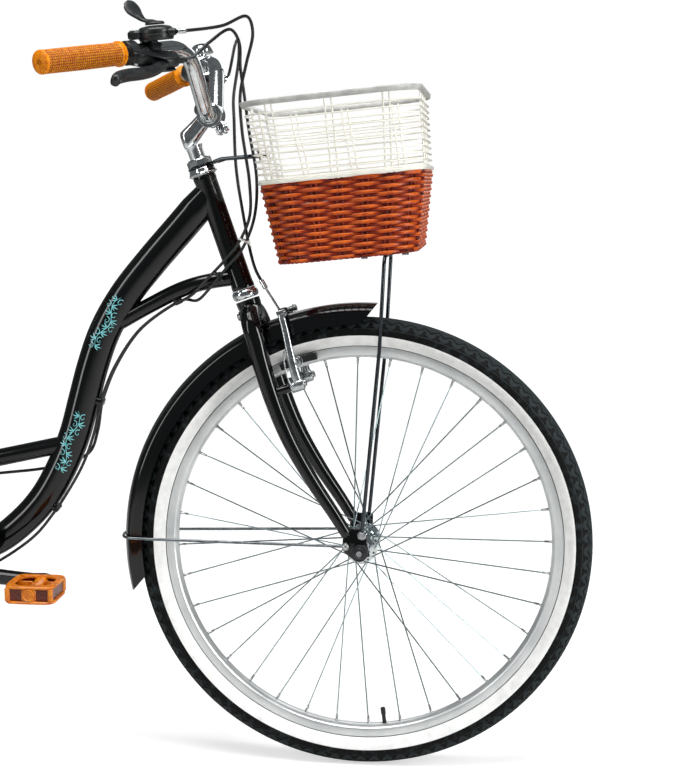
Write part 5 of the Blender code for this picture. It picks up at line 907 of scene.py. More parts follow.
tube_steps, tube_length = 160, 0.66
main_line = main_tube_line(tube_steps)
main_skin = sweep(main_line, circle(44), LEFT, main_tube_sizes(tube_steps))
head_tube = turned([(14.3, 400.3), (15.9, 400.3), (16.4, 402), (16.4, 406), (15.9, 408), (15.9, 561),
                    (16.4, 563), (16.4, 567), (15.9, 568.8), (14.3, 568.8)], steer_foot, steer_up, 44,
                   closed=True)
brace_places = [on_steerer(418), by_hub(-225, 0, 699.5), by_hub(-262, 0, 688), by_hub(-310, 0, 664),
                by_hub(-356, 0, 638)]
brace_line = smooth(brace_places, 60)
brace = rod(brace_line, 0.0112, 28, LEFT)


def under(along):
    """The direction square to a tube and to LEFT that points down, or back on a steep tube."""
    out = np.cross(along, LEFT)
    return -out if out[2] > 0.3 else out


def guide(centre, along, half_gap, height=15):
    """A brazed-on cable guide, a block across the tube; gap and height in millimetres."""
    out = under(along)
    return slab((10.5, 2 * half_gap + 8.5, height), centre - out * height / 4000, along, LEFT, 1.2, 0.3)


guides = []
tube = main_tube_line(60)
for line, k, off, half_gap in ((brace_line, 30, 0.0142, 3.1), (tube, 30, 0.0255, 5.2),
                               (tube, 44, 0.0245, 5.2)):
    along = unit(line[k + 1] - line[k - 1])
    guides.append(guide(line[k] + under(along) * off, along, half_gap))
piece("step_through_main_tube", [main_skin, head_tube, brace, *guides], enamel, "frame",
      ("frame_main_tube",), sharp=50)

# %%
seat_tube = turned([(12.8, 20), (14.3, 20), (14.3, 435.2), (13.9, 436), (12.9, 436)], bottom_bracket,
                   seat_up, 40, closed=True)
shell = turned([(10.2, -35), (19.2, -35), (20, -34.2), (20, 34.2), (19.2, 35), (10.2, 35)], bottom_bracket,
               LEFT, 48, closed=True)
cross_line = np.linspace(by_hub(-415, 0, 466), on_seat_tube(137), 12)
cross = rod(cross_line, 0.0127, 28, LEFT)
cross_way = unit(cross_line[0] - cross_line[-1])
cross_ring = collar(cross_line[-1] + cross_way * 0.0138, cross_line[-1] + cross_way * 0.0165, 13.9, 12)
piece("seat_tube_and_cross_brace", [seat_tube, shell, cross, cross_ring], enamel, "frame",
      ("frame_seat_tube",), sharp=45)


def mirrored(path):
    """The same path on the other side."""
    return path * [1, -1, 1]


chain_stay = smooth([bottom_bracket + [-0.01, 0.024, 0.002], bottom_bracket + [-0.06, 0.031, 0.007],
                     bottom_bracket + [-0.13, 0.04, 0.014], bottom_bracket + [-0.26, 0.052, 0.027],
                     rear_hub + [0.022, 0.0675, -0.002]], 60)
stay_sizes = np.interp(np.linspace(0, 1, 60), [0, 0.5, 0.93, 1.0], [0.0094, 0.0092, 0.0078, 0.0052])
drop_outline = mm([(-17, -12), (18, -13), (34, -9), (34, 4), (16, 14), (8, 21), (-10, 21.5), (-16.5, 16.5),
                   (-16.5, 8)])
low_parts, high_parts = [], []
stay_way = unit(on_seat_tube(400) - rear_hub)
seat_stay = smooth([rear_hub + stay_way * 0.018 + [0, 0.0675, 0],
                    rear_hub + stay_way * 0.12 + [0, 0.056, 0], rear_hub + stay_way * 0.29 + [0, 0.047, 0],
                    rear_hub + stay_way * 0.37 + [0, 0.039, 0], on_seat_tube(400, 0, 19)], 60)
seat_stay_sizes = np.interp(np.linspace(0, 1, 60), [0, 0.06, 0.9, 1.0], [0.005, 0.0072, 0.0072, 0.0055])
brake_out_rear = np.array([-stay_way[2], 0.0, stay_way[0]])


def boss(origin, along, out, side):
    """A brake stud: a round post with a shoulder."""
    root = origin + along * 0.25 + side * 0.049 * LEFT
    return turned([(6.2, 0), (6.2, 22), (5.4, 23), (5.4, 39), (4.8, 39.8)], root, out, 24)


for side in (-1, 1):
    low_parts += [rod(chain_stay if side > 0 else mirrored(chain_stay), stay_sizes, 24, LEFT),
                  plate(drop_outline, 5, rear_hub + side * 0.0675 * LEFT, AHEAD, UP, 0.6)]
    high_parts += [rod(seat_stay if side > 0 else mirrored(seat_stay), seat_stay_sizes, 24, LEFT),
                   boss(rear_hub, stay_way, brake_out_rear, side)]
bridge_low = bottom_bracket + [-0.072, 0, 0.008]
low_parts.append(bar(bridge_low - 0.03 * LEFT, bridge_low + 0.03 * LEFT, 7, 24))
bridge_high = rear_hub + stay_way * (0.347 + 0.0068)
high_parts.append(bar(bridge_high - 0.04 * LEFT, bridge_high + 0.04 * LEFT, 6.2, 24))
piece("chain_stays_with_dropouts", low_parts, enamel, "frame", ("frame_chain_stays",))
piece("seat_stays_with_studs", high_parts, enamel, "frame", ("frame_seat_stays",))

cups = {"headset_lower_cup": [(13.5, 386.2), (16.2, 386.2), (17.6, 387.2), (18.6, 389.6), (18.8, 391),
                              (18.8, 395.2), (18.2, 396.6), (17.2, 398), (17, 399.8), (13.5, 399.8)],
        "headset_upper_cup": [(13.5, 569.2), (17.8, 569.2), (18, 570), (20.2, 570.8), (20.4, 571.8),
                              (19.4, 573.4), (18.8, 575), (18, 578.6), (17.2, 579.8), (13.5, 579.8)]}
for name, line in cups.items():
    piece(name.replace("headset", "bearing"), [turned(line, steer_foot, steer_up, 56, closed=True)], chrome,
          "frame", (name,), sharp=25)
print("frame done,", len(made), "pieces")

# %% [markdown]
# ## Fork
# Both blades are one line: straight down from a rounded shoulder, then raked forwards. The
# blade tapers from 13.8 to 8.2 mm in radius between the shoulder and its tip.

# %%
shoulder = rounded([on_steerer(366.5, 1, 0), on_steerer(366.5, 1, 42.5), on_steerer(325, 0, 45)], [0.03],
                   14)
lower = smooth([on_steerer(325, 0, 45), on_steerer(300, -2.5, 46.2), on_steerer(241, -4.4, 48),
                on_steerer(180, -1, 50), on_steerer(117, 10.5, 51.5), on_steerer(60, 25, 52.5),
                on_steerer(25, 33, 52.5)], 70)
left_blade = np.vstack([shoulder[:-1], lower])
climb = (left_blade - steer_foot) @ steer_up
blade_sizes = 0.0138 - 0.0056 * np.clip((0.325 - climb) / 0.3, 0, 1)
blade_sizes[-1] *= 0.6
both = np.vstack([mirrored(left_blade)[:0:-1], left_blade])
both_sizes = np.concatenate([blade_sizes[:0:-1], blade_sizes])
fork_shapes = [rod(both, both_sizes, 36, steer_forward)]
fork_tip = mm([(-11, -11), (11, -11), (12.5, 6), (16.5, 18), (10, 30), (-2, 36), (-13, 34), (-20, 18),
               (-23, 11), (-20, 3)])
for side in (-1, 1):
    fork_shapes += [plate(fork_tip, 5, front_hub + side * 0.0525 * LEFT, steer_forward, steer_up, 0.8),
                    boss(steer_foot, steer_up, steer_forward, side)]
fork_shapes += [turned([(12.7, 356), (15, 364), (16.8, 373), (17.4, 377), (17.4, 383.8), (12.7, 384)],
                       steer_foot, steer_up, 44),
                turned([(12.5, 575), (12.7, 577), (12.7, 592.2), (12.2, 592.6)], steer_foot, steer_up, 32)]
piece("fork_blades_and_crown", fork_shapes, enamel, "steering", ("fork",), sharp=50)


def hex_nut(centre, along, across, height):
    """A hexagon nut with chamfered corners and a thin flange; sizes in millimetres."""
    r = across / 2 / math.cos(math.pi / 6)
    body = turned([(r * 0.9, 0), (r, 0.6), (r, height - 0.8), (r * 0.88, height)], centre, along, 6)
    skirt = turned([(r * 1.06, -0.1), (r * 1.1, 0.4), (r * 1.06, 1.2), (r * 0.9, 1.6)], centre, along, 28)
    return [body, skirt]


def thread(centre, along, radius, length):
    """A threaded end in millimetres: its radius steps in and out by 0.35 each millimetre."""
    count = int(length) * 2
    line = [(radius - 0.35 * (i % 2), length * i / count) for i in range(count)]
    return turned(line + [(radius * 0.8, length)], centre, along, 24)


def axle_hardware(hub, inner, end, name, node, hub_ends, body):
    """Axle ends, nuts, washers and locknuts at both dropouts."""
    shapes = []
    for side, hub_end in ((-1.0, hub_ends[0]), (1.0, hub_ends[1])):
        way = side * LEFT
        face = inner + 0.005
        shapes += [*hex_nut(hub + way * (end - 0.0115), way, 15, 8.5), collar(hub + way * (face + 0.0003),
            hub + way * (face + 0.0018), 9, 5, 32), thread(hub + way * (face + 0.002), way, 4.7,
            1000 * (end - face - 0.002)), bar(hub + way * (hub_end + 0.0004), hub + way * (inner - 0.0004),
            7.8, 6, 0.6)]
    shapes.append(bar(hub - inner * LEFT, hub + inner * LEFT, 4.6, 16))
    piece(name, shapes, bolt_steel, body, (node,), sharp=30)


def nut_cover(hub, side, low):
    """A moulded cap over an axle nut: a rim, a step and a low dome with a dimple."""
    return turned([(6, 0), (11.2, 0.4), (11.8, 1.2), (11.8, 10.4), (11.2, 11.2), (9.4, 11.4), (9, 12.4),
                   (7.6, 14.2), (5.6, 14.6), (4.8, 13.8), (0.4, 13.6)], hub + side * low * LEFT,
                  side * LEFT, 48)


axle_hardware(front_hub, 0.05, 0.07, "front_axle_nuts", "front_axle", (0.0455, 0.0455), "steering")
axle_hardware(rear_hub, 0.065, 0.088, "rear_axle_nuts", "rear_axle", (0.044, 0.059), "frame")
piece("axle_nut_covers", [nut_cover(front_hub, side, 0.0562) for side in (-1, 1)], nylon, "steering",
      sharp=35)
print("fork done,", len(made), "pieces")

# %% [markdown]
# ## Handlebar and stem
# The bar runs from the clamp up a steep rise and sweeps back to the grips. The stem is an
# old-style quill with a cast arm, whose section is a rounded box: |x| ** 4 + |y| ** 4 = 1.

# %%
clamp_foot, clamp = on_steerer(644), on_steerer(644, 38)
bar_corners = [clamp, clamp + [0, 0.034, 0], clamp + [-0.011, 0.108, 0.085], clamp + [-0.153, 0.312, 0.05]]
grip_way = unit(bar_corners[3] - bar_corners[2])
bar_ahead = unit(np.cross(grip_way, UP))
bar_ahead = -bar_ahead if bar_ahead[0] < 0 else bar_ahead
bar_over = np.cross(bar_ahead, grip_way)
bar_over = -bar_over if bar_over[2] < 0 else bar_over
left_bar = rounded(bar_corners, [0.03, 0.058], 16)
left_bar[-1] -= grip_way * 0.0035
whole_bar = np.vstack([mirrored(left_bar)[:0:-1], left_bar[1:]])
sleeve = turned([(11.1, -26.2), (12.7, -23.5), (12.7, 23.5), (11.1, 26.2)], clamp, LEFT, 36)
piece("swept_handlebar", [rod(whole_bar, 0.0111, 32), sleeve], chrome, "steering", ("handlebar",))


def on_bar(side, inboard, rise=0.0, forward=0.0):
    """A place by the swept part of the bar, counted inboard from the grip's inner end."""
    place = bar_corners[3] - grip_way * (0.131 + inboard) + bar_over * rise + bar_ahead * forward
    return place * [1, side, 1]


def rounded_box(sides=28, power=4.0):
    """Points where |x| ** power + |y| ** power = 1."""
    t = steps_round(sides)
    c, s = np.cos(t), np.sin(t)
    size = (np.abs(c) ** power + np.abs(s) ** power) ** (-1 / power)
    return np.stack([c * size, s * size], 1)


def stem():
    """Quill, arm, and clamp barrel with its pinch ears and bolt."""
    stations = mm([(-12.5, 7, -32, -13), (-11, 10, -34.5, -8.5), (-6, 12.2, -35.5, -6.2),
                   (2, 12.6, -31, -2.8), (10, 12.4, -26, 1), (20, 11.6, -19, 6.2), (30, 11, -12.5, 10.8)])
    fine = evenly(stations, 24)
    ring = rounded_box()
    rings = []
    for forward, width, low, high in fine:
        middle = clamp_foot + (low + high) / 2 * steer_up + forward * steer_forward
        rings.append(middle + ring[:, :1] * width * LEFT + ring[:, 1:] * (high - low) / 2 * steer_up)
    arm = skin(np.array(rings))
    quill = turned([(11, 497), (11, 606), (11.6, 609), (12.4, 612)], steer_foot, steer_up, 32)
    barrel = turned([(12.8, -19), (16.6, -19), (17.2, -18.2), (17.2, 18.2), (16.6, 19), (12.8, 19)], clamp,
                    LEFT, 44, closed=True)
    pinch = clamp - steer_up * 0.021 + steer_forward * 0.007
    ears = [slab((5.2, 24, 18), pinch + steer_forward * side * 0.0036, steer_forward, LEFT, 1.2,
                 0.4) for side in (-1, 1)]
    bolt = turned([(3, 0), (5.2, 0.4), (5.2, 4), (4.6, 4.8), (2, 4.8), (2, 2)],
                  pinch + steer_forward * 0.0062 - steer_up * 0.002, steer_forward, 20)
    return [arm, quill, barrel, *ears, bolt]


piece("quill_stem", stem(), chrome, "steering", ("stem",), sharp=45)
nut_r = 17.9
locknut = [turned([(12.8, 583.2), (nut_r * 0.97, 583.2), (nut_r, 584), (nut_r, 591.2),
                   (nut_r * 0.96, 592.2), (12.8, 592.4)], steer_foot, steer_up, 8, closed=True),
           turned([(12.8, 592.6), (15, 592.6), (14.6, 593.6), (12.8, 593.8)], steer_foot, steer_up, 40,
                  closed=True)]
piece("headset_locknut_chromed", locknut, chrome, "steering", ("headset_locknut",), sharp=25)

# %% [markdown]
# The grip is moulded with small raised squares in rows. A groove runs wherever the smaller of
# cos(27 a) and cos(2 pi x / 3.4 mm) is low, and it is 0.8 mm deep.

# %%
def grip_net(name, side, node):
    """A grip with 27 rows of raised squares, a plain collar at each end and a pierced cap."""
    x = np.concatenate([[0.0, 0.0006, 0.0036, 0.0044], np.linspace(0.006, 0.1255, 240),
                        [0.1261, 0.128, 0.1292, 0.1298]])
    base = np.interp(x, [0, 0.0006, 0.0036, 0.0044, 0.065, 0.1257, 0.1261, 0.128, 0.1292, 0.1298],
                     [0.0158, 0.0163, 0.0163, 0.0147, 0.0151, 0.0148, 0.015, 0.0149, 0.0143, 0.006])
    a = steps_round(135)
    inside = (x > 0.0065) & (x < 0.125)
    net = np.minimum(np.cos(27 * a)[None], np.cos(2 * np.pi * x / 0.0034)[:, None])
    groove = np.where(inside[:, None], np.clip(0.5 - 1.2 * net, 0, 1), 0.0)
    radius = base[:, None] - 0.0008 * groove
    here = on_bar(side, 0)
    way = unit(on_bar(side, -0.01) - here)
    over = unit(on_bar(side, 0, 0.01) - here)
    across = np.cross(over, way)
    flat = np.cos(a)[:, None] * across + np.sin(a)[:, None] * over
    rings = here + x[:, None, None] * way + radius[..., None] * flat[None]
    cap = turned([(0.2, 127), (1.2, 127.2), (1.4, 130.1), (5.6, 130.3), (6, 129.6)], here, way, 32)
    netted = piece(name, [skin(rings), cap], grip_rubber, "steering", (node,), sharp=60)
    points = np.zeros(3 * len(netted.data.vertices))
    netted.data.vertices.foreach_get("co", points)
    off = points.reshape(-1, 3) - here
    off = np.linalg.norm(off - (off @ way)[:, None] * way, axis=1)
    # Painted shade: the groove layer is 1 in the cap's hole and follows the groove depth on the net.
    depth = np.where(off < 0.0015, 1.0, 0.0)
    depth[:groove.size] = groove.ravel()
    float_layer(netted, "groove", depth)


grip_net("grip_right_netted", -1, "grip_right")
grip_net("grip_left_netted", 1, "grip_left")
print("handlebar done,", len(made), "pieces")

# %% [markdown]
# ## Levers, shifter and bell
# A lever bracket is two cheeks and a web on a band round the bar. The blade is swept along
# seven stations, flat and wide in the middle, with its tip curled away from the bar.

# %%
def lever_frame(side):
    """Clamp centre, then the outboard, forward-down and upright directions of a lever."""
    inboard, tilt = (0.016, 30.0) if side < 0 else (0.03, 48.0)
    centre = on_bar(side, inboard)
    outward = unit(on_bar(side, inboard - 0.01) - centre)
    ahead = unit(on_bar(side, inboard, 0, 0.01) - centre)
    down = unit(on_bar(side, inboard, -0.01) - centre)
    reach = ahead * math.cos(math.radians(tilt)) + down * math.sin(math.radians(tilt))
    return centre, outward, reach, unit(np.cross(reach, outward))


def lever_set(word, side):
    """One bracket on the bar and its lever on the pin."""
    centre, outward, reach, upright = lever_frame(side)

    def at(out, ahead, over=0.0):
        """Clamp centre + the three directions of the lever times these lengths."""
        return centre + outward * out + reach * ahead + upright * over

    cheek = mm([(7.2, 12.5), (-9.5, 23.5), (-15.5, 31), (-26, 38.5), (-42, 39.2), (-52, 38), (-55.5, 31),
                (-52, 24), (-30, 16), (-7.2, 12)])
    web = mm([(7, 12), (-6, 19), (-24, 20.8), (-46, 26.2), (-54.5, 30), (-51.5, 24.2), (-30, 16.2),
              (-7, 11.8)])
    shapes = [collar(at(-0.0075, 0), at(0.0075, 0), 15.7, 11.2, 36, 1.2)]
    for over in (-0.0092, 0.0092):
        shapes.append(plate(cheek, 2.4, at(0, 0, over), outward, reach, 0.8))
    shapes += [plate(web, 20, at(0, 0), outward, reach, 1.5), slab((13, 4, 18), at(0.0, 0.015), outward,
        reach, 1.2)]
    cable_way = at(-0.071, 0.03) - at(-0.048, 0.0293)
    body = turned([(0.4, -15), (7, -13), (9, -6), (9.2, 2), (8.6, 11), (7.8, 12.2), (0.4, 12.4)],
                  at(-0.044, 0.0291), cable_way, 32)
    shapes.append(body)
    barrel = [(3, 0), (4.8, 0), (4.8, 10.5), *[(4.8 - 0.5 * (i % 2), 11 + 0.7 * i) for i in range(14)],
              (3.8, 21.5), (3.6, 22.8), (3, 23)]
    shapes.append(turned(barrel, at(-0.048, 0.0293), cable_way, 28, closed=True))
    piece("lever_bracket_" + word, shapes, nylon, "steering", ("brake_bracket_" + word,), sharp=40)
    screw = turned([(0.4, 11.2), (3, 11.2), (3.8, 10.7), (3.8, 9.2)], at(-0.036, 0.03), upright, 20)
    clamp_screw = turned([(0.4, 3.6), (2.6, 3.6), (3.4, 2.8), (3.4, 0)], at(0.0, 0.016, 0.0052), upright,
                         20)
    piece("lever_screws_" + word, [screw, clamp_screw], bolt_steel, "steering")
    stations = mm([(-40, 29, 4, 3.6), (-36, 30, 5.6, 4), (-20, 39.5, 6, 4.2), (0, 48, 5.6, 5.4),
                   (22, 51.5, 5.2, 6.4), (46, 51.5, 5, 6.8), (66, 55, 5, 6.6), (75.5, 61, 4.6, 6),
                   (77.5, 62.8, 2.6, 3.8)])
    fine = smooth(stations, 64)
    line = np.array([at(o, a) for o, a in fine[:, :2]])
    blade = sweep(line, rounded_box(28, 2.6), upright, fine[:, 2:] * 1.22)
    eye = turned([(6.8, -4.3), (7.2, -3.9), (7.2, 3.9), (6.8, 4.3)], at(-0.036, 0.03), upright, 28)
    name = "brake_lever_" + word
    piece("lever_blade_" + word, [blade, eye], nylon, name, (name,), sharp=45)


lever_set("right", -1)
lever_set("left", 1)


def bar_frame(side, inboard):
    """A place on the bar with its outboard, over and ahead directions."""
    here = on_bar(side, inboard)
    steps = ((inboard - 0.01, 0.0, 0.0), (inboard, 0.01, 0.0), (inboard, 0.0, 0.01))
    return (here, *[unit(on_bar(side, *step) - here) for step in steps])


here, outward, over, ahead = bar_frame(-1, 0.052)
pod_base = here + over * 0.013 + ahead * 0.015
pod = turned([(0.4, -0.8), (20.6, -0.6), (21.8, 0), (22.8, 2.4), (22.8, 7.6), (22.2, 8.2), (22.2, 9),
              (22.8, 9.6), (22.8, 12.8), (22, 14.6), (19.5, 16.4), (15, 17.7), (8, 18.4), (0.4, 18.5)],
             pod_base, over, 64)
band = collar(here - outward * 0.008, here + outward * 0.008, 15.1, 11.2, 36, 1)
rib = slab((12, 12, 14), here + over * 0.014 + ahead * 0.006, ahead, outward, 1)
hood = slab((20, 23.5, 11), pod_base - ahead * 0.014 + outward * 0.0185 + over * 0.008, ahead, outward, 2.2,
            0.35)
out_at = pod_base + ahead * 0.02 - outward * 0.004 + over * 0.0085
knurl = [(2.4, -6), (4.6, -6), (4.6, 3), *[(4.6 - 0.5 * (i % 2), 3.6 + 0.7 * i) for i in range(12)],
         (3.2, 13), (2.4, 13.2)]
spout = turned(knurl, out_at, ahead, 28, closed=True)
piece("shifter_pod", [pod, band, rib, hood, spout], nylon, "steering", ("shifter_body",), sharp=40)
glass_at = pod_base - ahead * 0.016 + outward * 0.019 + over * 0.0142
piece("shifter_window", [slab((13, 17, 1.6), glass_at, ahead, outward, 0.5, 0.5)], window_glass, "steering")

top = pod_base + over * 0.0191
hub_cap = turned([(12.2, 0), (12.5, 0.4), (12.5, 2.6), (11.2, 4), (5, 4.9), (0.4, 5)], top, over, 48)
stations = mm([(2.5, 4, 0, 2.2, 5.6), (4.5, -4, 0, 2.4, 5.4), (6.5, -14, 4, 2.4, 4.5), (12, -20, 7, 2.6, 8),
               (20, -26, 10, 2.6, 13), (28.4, -31, 13, 2.4, 11), (31.7, -33.5, 14.8, 1.8, 5.2)])
fine = smooth(stations, 60)
line = top + fine[:, :1] * over + fine[:, 1:2] * ahead + fine[:, 2:3] * outward
paddle = sweep(line, rounded_box(24, 2.4), outward, fine[:, 3:])
piece("shift_paddle", [hub_cap, paddle], nylon, "shift_lever", ("shift_lever",), sharp=40)

# %%
here, outward, over, ahead = bar_frame(1, 0.07)
dome = turned([(0.6, 21), (15.5, 20.4), (16.8, 20.2), (16.9, 20.8), (16.8, 23.2), (16, 26.2), (14, 29.2),
               (11, 31.6), (7, 33.3), (3, 34.1), (0.6, 34.2)], here, over, 56)
bell_parts = [dome, collar(here - outward * 0.0048, here + outward * 0.0048, 13.9, 11.2, 36, 0.8),
              bar(here + over * 0.013, here + over * 0.0215, 3.8, 20)]
piece("bell_dome", bell_parts, chrome, "steering", ("bell",), sharp=30)
low = here + over * 0.0152
striker = [collar(low, low + over * 0.0022, 6.6, 4.2, 28, 0.3),
           rod(smooth([low + over * 0.0011 - ahead * 0.005, low + over * 0.0011 - ahead * 0.015,
                       low + over * 0.0016 - ahead * 0.0215 + outward * 0.004], 14), 0.0013, 12),
           turned([(2, -2.2), (3.4, -1.2), (3.6, 1.2), (3.4, 3.6), (2, 4.7)],
                  low - ahead * 0.0225 + outward * 0.0045, over, 20)]
piece("bell_thumb_striker", striker, chrome, "bell_striker", ("bell_striker",))
print("controls done,", len(made), "pieces")

# %% [markdown]
# ## Rim brakes
# A linear-pull arm turns on its stud and carries a pad a little above it. The pad follows the
# rim: its outline is two arcs about the axle. The cable comes down through a braided guide
# tube, crosses to the other arm inside a rubber bellows and is pinched under a bolt there.

# %%
arm_out, stud_height, stud_half = 0.037, 0.25, 0.049
pad_radius = 0.2797


def brake(name, origin, along, out, hub, body, noodle_side):
    """Two arms with their bolts, pads, springs and the link between them."""
    hub_out = (hub - origin) @ out

    def spot(side, height, aside, ahead=arm_out):
        """A place counted up from the stud, sideways from the middle and out from the stays."""
        return origin + along * (stud_height + height) + side * aside * LEFT + out * ahead

    for word, side in (("right", -1.0), ("left", 1.0)):
        arm_name = name + "_brake_arm_" + word
        stations = mm([(-7, 49, 0, 4, 5.2), (-2, 49.4, 0, 5.8, 6.6), (18, 50.5, 1, 6, 6.2),
                       (50, 49, 4, 5, 5.6), (80, 44.5, 7, 4.2, 5), (100, 40.8, 8, 3.8, 4.6),
                       (103, 40.2, 8, 2.6, 3.4)])
        fine = smooth(stations, 60)
        line = np.array([spot(side, h, a, arm_out + f) for h, a, f in fine[:, :3]])
        shapes = [sweep(line, rounded_box(24, 3.2), out, fine[:, 3:])]
        foot = spot(side, 0.0, stud_half)
        shapes.append(turned([(5.8, -10.8), (8.6, -10.8), (9.2, -10), (9.2, 6), (8.5, 7.2), (5.8, 7.4)],
                             foot, out, 36, closed=True))
        pad_up = math.sqrt(pad_radius ** 2 - (arm_out + 0.006 - hub_out) ** 2) - stud_height
        shapes.append(slab((12, 19, 13), spot(side, pad_up, 0.038, arm_out + 0.001), out, LEFT, 1.5, 0.5))
        bolts = [turned([(2.2, 8.6), (2.2, 6.6), (4, 6.6), (4.4, 7), (6, 7.2), (6.4, 7.4), (6.4, 8.2),
                         (5, 8.8), (4.8, 11.2), (4, 11.8), (2.4, 11.8)], foot, out, 28, closed=True)]
        post = spot(side, pad_up, 0.018, arm_out + 0.006)
        way = side * LEFT
        bolts.append(bar(post, post + way * 0.0372, 3.1, 16, 0.6))
        for near, far, wide in ((0.0098, 0.0114, 7.4), (0.0284, 0.0298, 7)):
            bolts.append(collar(post + way * near, post + way * far, wide, 3.2, 28))
        bolts += hex_nut(post + way * 0.0302, way, 9.8, 5.2)
        head = spot(side, 0.1, 0.0405, arm_out + 0.008)
        if side == noodle_side:
            stirrup = mm([(-5.2, -9.5), (5.2, -9.5), (5.5, 6), (4, 9), (-4, 9), (-5.5, 6)])
            bolts += [plate(stirrup, 6.6, head + along * 0.0032 - side * 0.004 * LEFT, out, LEFT, 1),
                      turned([(2.6, 0), (4, 0.4), (4, 1.8), (3, 2.6)], head + out * 0.0052, out, 20)]
        else:
            bolts.append(turned([(3, -8.8), (4.4, -8.6), (4.4, 6.8), (6.2, 7), (6.4, 7.8), (5, 8.2),
                                 (5, 11.6), (4.2, 12.2), (2, 12.2)], head, out, 20))
        spring = smooth([foot - out * 0.0085 + side * 0.0095 * LEFT,
                         foot - out * 0.0098 + along * 0.014 + side * 0.0088 * LEFT,
                         foot - out * 0.007 + along * 0.04 + side * 0.006 * LEFT,
                         foot - out * 0.002 + along * 0.052 + side * 0.0055 * LEFT], 30)
        shapes.append(rod(spring, 0.0011, 10))
        piece("linear_pull_arm_" + name + "_" + word, shapes, cast_alloy, arm_name, (arm_name,), sharp=42)
        piece("brake_bolts_" + name + "_" + word, bolts, bolt_steel, arm_name, sharp=35)

        ray = unit(post - side * 0.018 * LEFT - hub)
        tangent = np.cross(LEFT, ray)
        t = np.linspace(-0.027, 0.027, 18) / pad_radius
        edges = [((pad_radius + 0.0048) * np.sin(t), (pad_radius + 0.0048) * np.cos(t) - pad_radius),
                 ((pad_radius - 0.0048) * np.sin(t[::-1]), (pad_radius - 0.0048) * np.cos(t[::-1])
                  - pad_radius)]
        outline = np.vstack([np.stack(edge, 1) for edge in edges])[::-1]
        pad_at = spot(side, pad_up, 0.01835, arm_out + 0.006)
        rubber = [plate(outline, 7.8, pad_at, tangent, ray, 0.7)]
        for k in (-1, 0, 1):
            rubber.append(slab((13, 9.8, 0.6), pad_at + tangent * 0.0175 * k - side * LEFT * 0.004, tangent,
                               ray, 0.2))
        stands = (name + "_brake_pad_" + word,) if name == "front" else ()
        piece("brake_block_" + name + "_" + word, rubber, pad_rubber, arm_name, stands, sharp=35)
    start = spot(noodle_side, 0.104, 0.03, arm_out + 0.008)
    end = spot(-noodle_side, 0.101, 0.04, arm_out + 0.012)
    folds = 22
    bellows = [(4.2 - i % 2, 30 * i / folds) for i in range(folds)]
    link = turned([(1, 0), *bellows, (1, 30.2)], start, end - start, 24)
    piece("cable_bellows_" + name, [link], vinyl, body)
    piece("inner_cable_" + name, [bar(start, end, 0.8, 10)], bolt_steel, body, slot="chrome")


brake("front", steer_foot, steer_up, steer_forward, front_hub, "steering", -1)
brake("rear", rear_hub, stay_way, brake_out_rear, rear_hub, "frame", 1)
print("brakes done,", len(made), "pieces")

# %% [markdown]
# ## Fenders and wire stays
# A fender is a pressed sheet: its section is a crown with a raised crease, a shoulder and a
# flared skirt with a rolled edge. Both tips are cut on a slant: the angle of a ring's point is
# moved by up to 4 degrees times its share of the section's drop, fading along the sheet.

# %%
fender_radius, sheet = 0.347, 0.0014


def fender_section():
    """Points (outwards, aside) of the outer skin from middle to edge, then back inside."""
    half = smooth([(0.0, 0.0), (-0.0004, 0.004), (-0.002, 0.0132), (-0.0086, 0.0238), (-0.018, 0.0266),
                   (-0.0286, 0.0285)], 30)
    half[:, 0] += 0.0007 * np.exp(-((half[:, 1] - 0.0075) / 0.0012) ** 2) - 0.0007
    edge = np.array([(-0.0294, 0.0283), (-0.0294, 0.0274), (-0.0286, 0.0271)])
    turn = np.gradient(half, axis=0)
    out = unit(np.stack([turn[:, 1], -turn[:, 0]], 1))
    out = np.where(out[:, :1] < -0.2, -out, out)
    inner = half - out * sheet
    inner[0] = (half[0, 0] - sheet, 0.0)
    side = np.vstack([half, edge, inner[::-1]])
    other = side[::-1] * [1.0, -1.0]
    return np.vstack([side, other[1:-1]])


def fender(hub, first, last, steps, slant_first, slant_last):
    """The section swept round the hub, with slanted tips."""
    section = fender_section()
    t = np.linspace(0.0, 1.0, steps)[:, None]
    share = -section[None, :, 0] / 0.0294
    angle = first + (last - first) * t + share * (slant_first * np.clip(1 - 9 * t, 0, None) - slant_last
        * np.clip(1 - 9 * (1 - t), 0, None))
    angle = np.radians(angle)
    radius = fender_radius + section[None, :, 0]
    rings = hub + np.stack([radius * np.cos(angle), np.broadcast_to(section[None, :, 1], angle.shape),
                            radius * np.sin(angle)], -1)
    return skin(rings)


def screw_head(centre, along, radius=4, height=2.6):
    """A domed screw head on a washer; radius and height in millimetres."""
    return turned([(radius * 1.5, 0), (radius * 1.55, 0.4), (radius * 1.5, 0.9), (radius, 1),
                   (radius * 1.02, height * 0.7), (radius * 0.7, height), (0.4, height + 0.3)], centre,
                  along, 20)


piece("front_fender_sheet", [fender(front_hub, 86.8, 193.4, 150, 3.9, 4.0)], enamel, "steering",
      ("front_fender",), sharp=45)
tab = slab((15, 33, 1.6), on_steerer(355, -17), LEFT, steer_up, 0.4, 0.3)
piece("front_fender_bracket", [tab, *hex_nut(on_steerer(364, -17.8), -steer_forward, 9, 4)], bolt_steel,
      "steering", sharp=35)
piece("rear_fender_sheet", [fender(rear_hub, 4.0, 205.0, 260, 1.4, 1.4)], enamel, "frame", ("rear_fender",),
      sharp=45)


